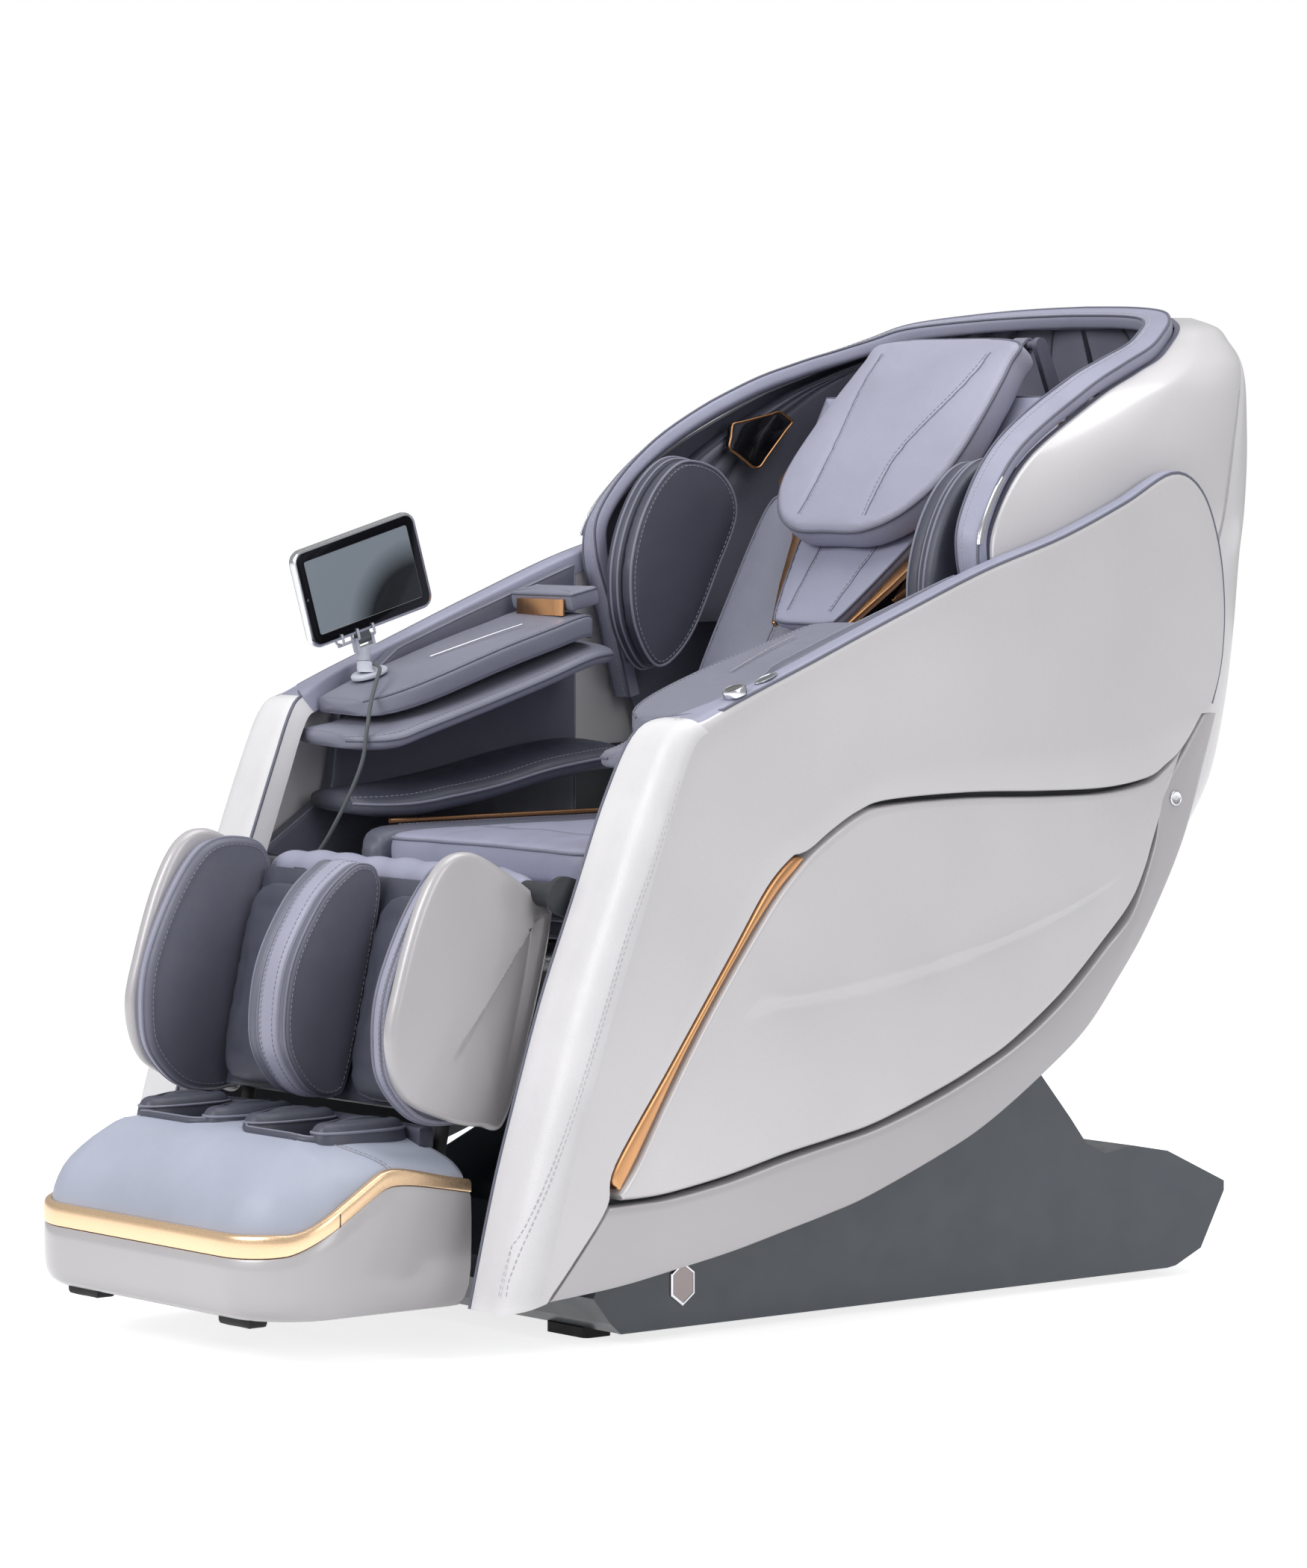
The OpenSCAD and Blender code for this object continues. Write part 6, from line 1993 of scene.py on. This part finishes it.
    def knee_roll(self) -> None:
        """Stuffed roll round the leg rest's hinge, gathered along its length."""
        piece = Piece("knee_roll_cover", [LAVENDER])
        reach = self.half - self.shell_w - 3
        rings = []
        for x in np.linspace(-reach, reach, 66):
            end = 1 - 0.5 * (abs(x) / reach) ** 14
            r = (26 + 1.2 * math.sin(x / 9) + 0.9 * math.sin(x / 23 + 1)) * end
            rings.append(np.column_stack([np.full(40, x), oval(40, r, r * 0.96) + LEG_PIVOT]))
        piece.skin(rings)
        piece.make("leg_rest")


@dataclass
class Footrest(Assembly):
    """Shell, band, padded top and foot wells of the footrest."""

    order = ("shell", "gold_band", "pads", "lobes")
    half: float = 258
    front: float = -755
    rear: float = -482
    corner: float = 96
    low: float = 56
    band_h: float = 21
    well: tuple[float, float] = (36, 174)
    sole_z: float = 126
    well_r: float = 26
    well_front: float = -640
    well_rear: float = -414
    cut_z: tuple[float, float] = (60, 320)
    band: tuple = (
        (-755, 126), (-728, 129), (-708, 135), (-660, 162), (-612, 191), (-598, 198), (-580, 200),
        (-550, 197), (-482, 185),
    )
    tray: tuple = (
        (26, 0), (16, 0.02), (8, 0.1), (3.4, 0.2), (1, 0.35), (0.2, 0.55), (0, 0.8), (0.6, 0.97), (2, 1),
        (7, 1), (7, 0.7), (13, 0.2), (26, 0.12),
    )
    band_rows: tuple = (
        (0.35, 0), (0.06, 0.04), (0, 0.12), (0, 0.62), (0.05, 0.8), (0.18, 0.93), (0.4, 1.0), (1, 1), (1, 0),
    )
    dome: tuple = (
        (10, 0.04), (12, 0.14), (16, 0.25), (22, 0.37), (30, 0.48), (42, 0.6), (56, 0.72), (72, 0.83),
        (90, 0.92), (112, 0.98), (140, 1.0), (170, 1.0),
    )
    lift: float = 250
    top: BVHTree | None = None

    def band_z(self, y: float) -> float:
        """Height of the band's lower edge, smoothed between its points."""
        line = smooth_line(self.band, 8)
        return float(np.interp(y, line[:, 0], line[:, 1]))

    def band_rise(self, y: float | Points) -> float | Points:
        """Height of the band itself, which is greatest at the front."""
        return self.band_h - 1 + 6 * (1 - ease(y, -744, -690)) - 5 * ease(y, -620, -500)

    def plan(self, d: float) -> Points:
        """Plan of the footrest, drawn in by d.

        Args:
            d: how far in.

        Returns:
            The plan's points.
        """
        w, f, r = self.half - d, self.front + d, max(6.0, self.corner - d)
        right = [(w, y) for y in np.linspace(self.rear - d * 0.4, f + r + 8, 26)]
        arc = [(w - r + r * math.cos(a), f + r - r * math.sin(a)) for a in np.linspace(0, math.pi / 2, 22)]
        flat = [(x, f) for x in np.linspace(w - r, -w + r, 22)[1:-1]]
        half = right + arc + flat
        return np.array(half + [(-x, y) for x, y in (right + arc)[::-1]])

    def edge_heights(self) -> Points:
        """Height of the band's lower edge at each point of the plan."""
        return np.array([self.band_z(y) for _x, y in self.plan(0)])

    def shell(self) -> None:
        """Lacquered tray of the footrest with its slide rods, bars and black glides."""
        rise = self.edge_heights() - self.low
        piece = Piece("footrest_shell_cover", [PEARL_REAR, RUBBER])
        piece.skin([raised(self.plan(d), self.low + rise * f) for d, f in self.tray])
        for x in (-190, 190):
            piece.skin(LEG.moved(x, -21).turned(((8, -400), (8, -64)), 24), 1)
        reach, under = self.half - 3, self.sole_z - 0.3
        bars = [((-reach, y, under - 10), (reach, y + 10, under)) for y in (-602, -528)]
        bars += [((x - 6, -574, self.low + 8), (x + 6, -546, self.low + 64)) for x in (-228, 0, 228)]
        bars += [((x - 12, -516, self.low + 10), (x + 12, -484, self.low + 72)) for x in (-190, 190)]
        for lo, hi in bars:
            piece.add(*block(lo, hi), tag=1)
        for x, y, w, d in ((-150, -716, 30, 13), (150, -716, 30, 13), (0, -640, 45, 30)):
            down = Placement((x, y, self.low + 8), (1, 0, 0), (0, 1, 0), (0, 0, -1))
            Cushion(oblong(-w, w, -d, d, 6), 18, 2, 5, down).build(piece, 1, 7, 4)
        piece.make("footrest", ["foot_shell"], sharp=55)

    def gold_band(self) -> None:
        """Rose-gold band with a rounded face and its two joints."""
        line, inner = self.plan(0), self.plan(9)
        z, h = self.edge_heights() + 0.6, self.band_rise(line[:, 1])
        rings = [raised(line + (inner - line) * f, z + h * g) for f, g in self.band_rows]
        piece = Piece("footrest_band_cover", [ROSE_GOLD, SHADOW_GAP])
        piece.skin([np.array([ring[i] for ring in rings]) for i in range(len(line))])
        for side in (-1, 1):
            x, y = side * (self.half + 0.12), -662.0
            foot = self.band_z(y) + 0.6
            piece.tube(np.array([(x, y, foot), (x, y, foot + self.band_h * 0.7)]), 0.5, 1, 6)
        piece.make("footrest", ["foot_band"], sharp=50)

    def pads(self) -> None:
        """Padded top with two wells, its two seams, and the sole pads."""
        base, heights = self.plan(0), self.edge_heights()
        rise = self.band_rise(base[:, 1])
        edge = self.plan(9.3)
        rings = [raised(edge, heights + 2), raised(edge, heights + rise * 0.8)]
        for d, share in self.dome:
            rings.append(raised(self.plan(d), heights + rise + (self.lift - heights - rise) * share))
        body = Piece("top", [PAD_LAVENDER])
        body.skin(rings)
        self.carved(body)
        piece = Piece("footrest_pad_cover", [THREAD, SMOKE])
        first = int(np.argmin(np.abs(base[:26, 1] + 596)))
        for side in (1, -1):
            seam = np.array([ring[first, :2] * [side, 1] + [side * 0.2, 0] for ring in rings[2:11]])
            seam[:, 1] += np.linspace(8, -18, len(seam))
            line = self.dropped(seam, 0.2)
            if len(line) > 2:
                piece.tube(line, 1.0, 0)
                piece.stitches(self.dropped(seam + [0, 4.5], 0.5), 0)
        for side in (-1, 1):
            lo, hi = sorted(side * v for v in (self.well[0] + 3, self.well[1] - 3))
            where = Placement.flat(0, 0, self.sole_z)
            Cushion(oblong(lo, hi, -637, -517, 8), 9, 3, 4, where).build(piece, 1, 7, 8)
        piece.make("footrest", ["foot_pads"])

    def carved(self, form: Piece) -> None:
        """Cuts the wells out of the padded top.

        Args:
            form: the uncut top.
        """
        made = form.make("footrest")
        made.name = made.data.name = "footrest_top_cover"
        low, high = self.cut_z
        cutters = [block((-209, -512, low), (209, -452, high))]
        for side in (1, -1):
            x0, x1 = sorted(side * v for v in self.well)
            plan = rounded(x0, x1, self.well_front, self.well_rear, self.well_r)
            cut = Piece("cut", [])
            cut.skin([raised(plan, z) for z in self.cut_z])
            cutters.insert(0, (np.vstack(cut.points), cut.faces))
        for points, faces in cutters:
            mesh = mesh_of("cut", points, faces)
            tool = placed("cut", mesh)
            bm = bmesh.new()
            bm.from_mesh(mesh)
            bmesh.ops.recalc_face_normals(bm, faces=bm.faces)
            bm.to_mesh(mesh)
            bm.free()
            carve = made.modifiers.new("Carve", "BOOLEAN")
            carve.operation, carve.object, carve.solver = "DIFFERENCE", tool, "EXACT"
            with bpy.context.temp_override(object=made, active_object=made):
                bpy.ops.object.modifier_apply(modifier=carve.name)
            bpy.data.objects.remove(tool)
        points = [v.co[:] for v in made.data.vertices]
        self.top = BVHTree.FromPolygons(points, [f.vertices[:] for f in made.data.polygons])

    def dropped(self, flat: Sequence, lift: float) -> Points:
        """A line seen from above, laid on the carved top, so far above it.

        Args:
            flat: the line, as rows of (x, y).
            lift: height above the top.

        Returns:
            The line's points.
        """
        made = []
        for x, y in resampled(np.asarray(flat, float), 5):
            hit = self.top.ray_cast(Vector((x * MM, y * MM, 0.4)), Vector((0, 0, -1)))[0]
            if hit is not None and hit.z > 0.18:
                made.append((x, y, hit.z / MM + lift))
        return np.array(made)

    def collar(self, piece: Piece) -> None:
        """Dark piped collar along the lip of the right well.

        Args:
            piece: the piece that it becomes part of.
        """
        (x0, x1), r, out, rear = self.well, self.well_r, self.well_r + 3, -524
        y = self.well_front + r
        turn = [(out * math.cos(a), out * math.sin(a)) for a in np.linspace(0, math.pi / 2, 8)]
        left = [(x0 + r - c, y - s) for c, s in turn]
        right = [(x1 - r + s, y - c) for c, s in turn]
        line = self.dropped([(x0 - 3, rear), *left, *right, (x1 + 3, rear)], 0.5)
        piece.tube(line, 4.6, 0, 10)
        piece.tube(line + [0, 0, 4.4], 1.3, 1)

    def lobes(self) -> None:
        """Soft lobes round the wells, and the padded wall behind the heels."""
        piece = Piece("foot_well_lobes", [SLATE, ASH])
        self.collar(piece)
        for x in (self.well[0] + 4, self.well[1] - 4):
            lobe = Cushion(oval(40, 25, 62, 0.7) + [x, -574], 74, 4, 21, Placement.flat(0, 0, 192))
            lobe.build(piece, 0, 17, 7)
            lobe.piping(piece, 1, 1.7, 40)
        piece.mirrored()
        wall = oblong(-207, 207, -516, -493, 9)
        for i in range(4):
            row = Cushion(wall, 29, 2, 7, Placement.flat(0, 0, 140 + 29 * i), centre=(0, -504))
            row.build(piece, 0, 9, 3)
        piece.make("footrest")


# ---- base, tablet and cord


@dataclass
class Base(Assembly):
    """The bare badge plates on the base's sides; its other nodes keep their own shape."""

    order = ("badges",)
    half: float = 290
    badge_at: tuple[float, float] = (-205, 62)
    badge: tuple = ((20, 0), (20, 1.6), (19, 2.4), (17.4, 2.4), (17, 1.8), (2, 1.8))

    def badges(self) -> None:
        """Hexagonal plates with a raised border."""
        piece = Piece("badge_plate_covers", [BADGE, SILVER])
        where = Placement((self.half, *self.badge_at), (0, 0, 1), (0, 1, 0), (1, 0, 0))
        rings = [where.at(oval(6, 1.28 * r, r), d) for r, d in self.badge]
        piece.skin(rings, lambda k, _i: 1 if k in (1, 2) else 0)
        piece.mirrored()
        piece.make("base", ["badge_plates"], sharp=30)


@dataclass
class Tablet(Assembly):
    """The tablet, its cradle and stand on the far arm, and its lead."""

    order = ("body", "stand", "cradle")
    x: float = -342
    mid: tuple[float, float] = (-193, 852)
    roll: float = 16
    width: float = 190
    height: float = 122
    thick: float = 12
    corner: float = 16
    hinge: tuple[float, float] = (-190.05, 780.02)
    lead_d: float = 5.0
    foot: Triple = (-320, -196.0, 736.8)
    foot_lean: float = 18.9
    foot_profile: tuple = ((22.6, 0), (23, 1), (23, 3.4), (21.6, 4.8), (12, 5))
    clip: tuple = ((7.0, -7.6), (4.2, -7.8), (2.6, -3), (2.6, 3), (4.2, 7.8), (16, 7.6))
    lead: tuple = (
        (-317, -192, 749.5), (-313, -193, 749.5), (-300, -198, 748), (-278, -212, 744), (-256, -234, 730),
        (-238, -255, 706), (-225, -270, 676), (-221, -279, 642), (-224, -292, 608), (-234, -306, 572),
        (-252, -316, 538), (-276, -322, 514), (-299.7, -323, 506),
    )

    def frame_at(self, point: tuple[float, float]) -> Placement:
        """A frame at (y, z): u along the glass, v up it, w across the chair."""
        c, s = math.cos(math.radians(self.roll)), math.sin(math.radians(self.roll))
        return Placement((self.x, *point), (0, c, s), (0, -s, c), (1, 0, 0))

    def body(self) -> None:
        """Case with a silver edge, black border and unlit glass that carries a painted reflection of the arm,
        and its half of the hinge.
        """
        where, hinge = self.frame_at(self.mid), self.frame_at(self.hinge)
        t = self.thick / 2
        piece = Piece("tablet_case", [SILVER, PIANO_BLACK, SCREEN, BLACK_PLASTIC])

        def ring(inset: float, z: float) -> Points:
            """The case's outline, drawn in, at a depth."""
            w, h = self.width / 2 - inset, self.height / 2 - inset
            return where.at(rounded(-w, w, -h, h, max(3.0, self.corner - inset), 9), z)

        rear = [(20, -t), (4, -t), (1.2, -t + 1), (0, -t + 3.4)]
        front = [(0, t - 3), (0.7, t - 1), (2.4, t - 0.1), (4.2, t), (15, t)]
        front += [(15.2, t - 0.25), (40, t - 0.25)]
        tags = (3, 3, 3, 0, 0, 0, 0, 1, 1, 2)
        piece.skin([ring(*row) for row in rear + front], lambda k, _i: tags[k])
        lens = where.at([[-self.width / 2 + 8.5, 0, t + 0.1]])[0]
        piece.tube(np.array([lens, lens + [0.2, 0, 0]]), 1.6, 3, 14)
        pin = oval(28, 5.5, 5.5)
        piece.skin([hinge.at(np.column_stack([np.full(28, u), pin])) for u in (-9, 9)], 3)
        piece.skin([hinge.at([(-9, v, -5), (9, v, -5), (9, v, 5), (-9, v, 5)]) for v in (0, 10)], 3)
        piece.make("tablet", ["tablet"], sharp=40)

    def stand(self) -> None:
        """Tapered stand on a round foot, seated on the tray."""
        piece = Piece("tablet_stand_cover", [GREY_PLASTIC, SILVER])
        piece.skin(Placement.flat(*self.foot, self.foot_lean).turned(self.foot_profile, 48))
        start, top = np.array(self.foot) + [0, 0, 4], np.array([self.x, self.hinge[0], 753.5])
        rings = []
        for f in np.linspace(0, 1, 12):
            middle = Placement.flat(*(start + (top - start) * f))
            rings += middle.turned([(14.6 - 6.0 * float(ease(f, 0, 1)), 0)], 48)
        piece.skin(rings)
        piece.skin(Placement.flat(self.x, self.hinge[0], 0).turned(((5, 753), (5, 764)), 48), 1)
        piece.make("seat", ["tablet_stand"], sharp=45)

    def cradle(self) -> None:
        """Clips that hold the lower edge of the tablet, on a bar."""
        hinge = self.frame_at(self.hinge)
        piece = Piece("tablet_clips", [GREY_PLASTIC])
        for u in (-34.0, -10.0, 14.0):
            piece.tube(hinge.at(smooth_line([(u, v, w) for v, w in self.clip], 5)), 1.6)
        piece.tube(hinge.at([(-38, 1.4, 0), (18, 1.4, 0)]), 1.8)
        piece.make("tablet", sharp=60)

    def cord(self) -> None:
        """The lead from the stand to the socket in the seat's side."""
        path = smooth_line(self.lead, 5)
        piece = Piece("tablet_lead_cord", [BLACK_PLASTIC])
        piece.tube(path, self.lead_d / 2, 0, 12)
        made = piece.make("seat", ["tablet_lead"])


# ---- carried-over nodes


class NodeFinish(Enum):
    """Finish of the nodes that keep their own shape."""

    PAINTED = (FRAME_PAINT, "base_frame carriage_frame seat_frame side_carriers massage_carriage leg_frame")
    LINED = (SMOKE, "back_frame")
    PLATED = (
        STEEL,
        "slide_rails slide_screw_motor tilt_actuator_tube tilt_actuator_rod recline_actuator_tube "
        "recline_actuator_rod track_rails leg_actuator_tube leg_actuator_rod",
    )
    BOXES = (BLACK_PLASTIC, "power_box control_box air_pump kneading_arms")
    RUBBERS = (RUBBER, "base_feet transport_axle foot_rollers")
    COVER = (BASE_PLASTIC, "base_cover")
    SWITCH = (PIANO_BLACK, "power_switch")
    YOKE = (GREY_PLASTIC, "tablet_yoke")

    def dress(self, nodes: dict[str, bpy.types.Object]) -> None:
        """Gives the nodes their finish and clean shading.

        Args:
            nodes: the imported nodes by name.
        """
        finish, names = self.value
        for name in names.split():
            mesh = nodes[name].data
            mesh.materials.clear()
            mesh.materials.append(finish.material())
            mesh.shade_smooth()
            mesh.set_sharp_from_angle(angle=math.radians(NODE_SHARP))
            LOG.info("%s: %s", name, finish.name)


# ---- studio


@dataclass
class Studio:
    """Camera, floor and light."""

    azimuth: float = 51
    elevation: float = 3.4
    distance: float = 7.125
    lens: float = 137.143
    target: Triple = (0, -0.012, 0.612)
    floor_half: float = 14000
    floor_tone: RGB = (0.62, 0.62, 0.63)
    floor_glow: float = 0.78
    surround: float = 0.42
    lamps: tuple = (
        ("key_front", (-0.6, -4.2, 3.0), (0, 0, 0.6), (2.4, 2.4), 120),
        ("top", (0.6, 0.3, 4.2), (0, 0, 0.4), (3.2, 3.2), 90),
        ("side", (4.4, -0.6, 2.2), (0, 0, 0.6), (2.0, 2.6), 52),
    )

    @staticmethod
    def aimed(name: str, data: bpy.types.ID, place: Vector, toward: Vector) -> bpy.types.Object:
        """A camera or lamp at a place, which looks along a direction.

        Args:
            name: its name.
            data: the camera's or lamp's data.
            place: where it stands, in metres.
            toward: the direction.

        Returns:
            The new object.
        """
        item = placed(name, data)
        item.location, item.rotation_mode = place, "QUATERNION"
        item.rotation_quaternion = toward.to_track_quat("-Z", "Y")
        return item

    def camera(self) -> None:
        """Sets the camera at the chair's front right."""
        a, e = math.radians(self.azimuth), math.radians(self.elevation)
        toward = Vector((-math.sin(a) * math.cos(e), math.cos(a) * math.cos(e), -math.sin(e)))
        data = bpy.data.cameras.new("Camera")
        data.lens, data.sensor_width, data.sensor_fit = self.lens, 36, "AUTO"
        data.clip_start, data.clip_end = 0.1, 60
        place = Vector(self.target) - toward * self.distance
        bpy.context.scene.camera = self.aimed("Camera", data, place, toward)

    def floor(self) -> None:
        """Pale floor that shows white to the camera and keeps a soft shadow."""
        h = self.floor_half
        mesh = mesh_of("floor", [(-h, -h, 0), (h, -h, 0), (h, h, 0), (-h, h, 0)], [(0, 1, 2, 3)])
        placed("floor", mesh)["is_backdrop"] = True
        material = bpy.data.materials.new("floor_white")
        material.use_nodes = True
        material.node_tree.nodes.clear()
        tree = Wiring(material.node_tree)
        path = tree.node("LightPath").outputs
        seen = tree.maths("MAXIMUM", path["Is Camera Ray"], path["Is Glossy Ray"])
        glow = tree.node("Emission", Strength=tree.maths("MULTIPLY", seen, self.floor_glow))
        diffuse = tree.node("BsdfDiffuse", Color=(*self.floor_tone, 1))
        both = tree.node("AddShader")
        for shader, socket in zip((diffuse, glow), both.inputs):
            tree.put(shader.outputs[0], socket)
        tree.node("OutputMaterial", Surface=both.outputs[0])
        mesh.materials.append(material)

    def world(self) -> None:
        """White surround to the camera, softer light to the chair."""
        world = bpy.data.worlds.new("studio")
        bpy.context.scene.world = world
        world.use_nodes = True
        tree = Wiring(world.node_tree)
        seen = tree.node("LightPath").outputs["Is Camera Ray"]
        ground = tree.nodes["Background"].inputs
        tree.put((1, 1, 1, 1), ground["Color"])
        tree.put(tree.node("MapRange", Value=seen, To_Min=self.surround).outputs[0], ground["Strength"])

    def lamp(self, name: str, place: Triple, aim: Triple, size: tuple[float, float], power: float) -> None:
        """Adds one soft box.

        Args:
            name: its name.
            place: where it hangs, in metres.
            aim: the point that it faces.
            size: its width and height.
            power: its power in watts.
        """
        data = bpy.data.lights.new(name, "AREA")
        data.shape, data.energy = "RECTANGLE", power
        data.size, data.size_y = size
        self.aimed(name, data, Vector(place), Vector(aim) - Vector(place))

    def build(self) -> None:
        """Sets floor, surround and lamps."""
        self.floor()
        self.world()
        for lamp in self.lamps:
            self.lamp(*lamp)
        bpy.context.scene.view_settings.view_transform = "Standard"


def corners() -> list[list[float]]:
    """The shown object's box as plain numbers."""
    lo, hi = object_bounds()
    return [list(map(float, lo)), list(map(float, hi))]


def main() -> None:
    """Builds the dressed chair."""
    logging.basicConfig(level=logging.INFO, format="%(message)s")
    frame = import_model()
    studio = Studio()
    studio.camera()
    tablet = Tablet()
    tablet.cord()
    for finish in NodeFinish:
        finish.dress(frame["nodes"])
    for part in (Arms(), Seat(), Hood(), BackCushions(), LegRest(), Footrest(), Base(), tablet):
        LOG.info("building %s", type(part).__name__)
        part.build()
    studio.build()


if __name__ == "__main__":
    main()
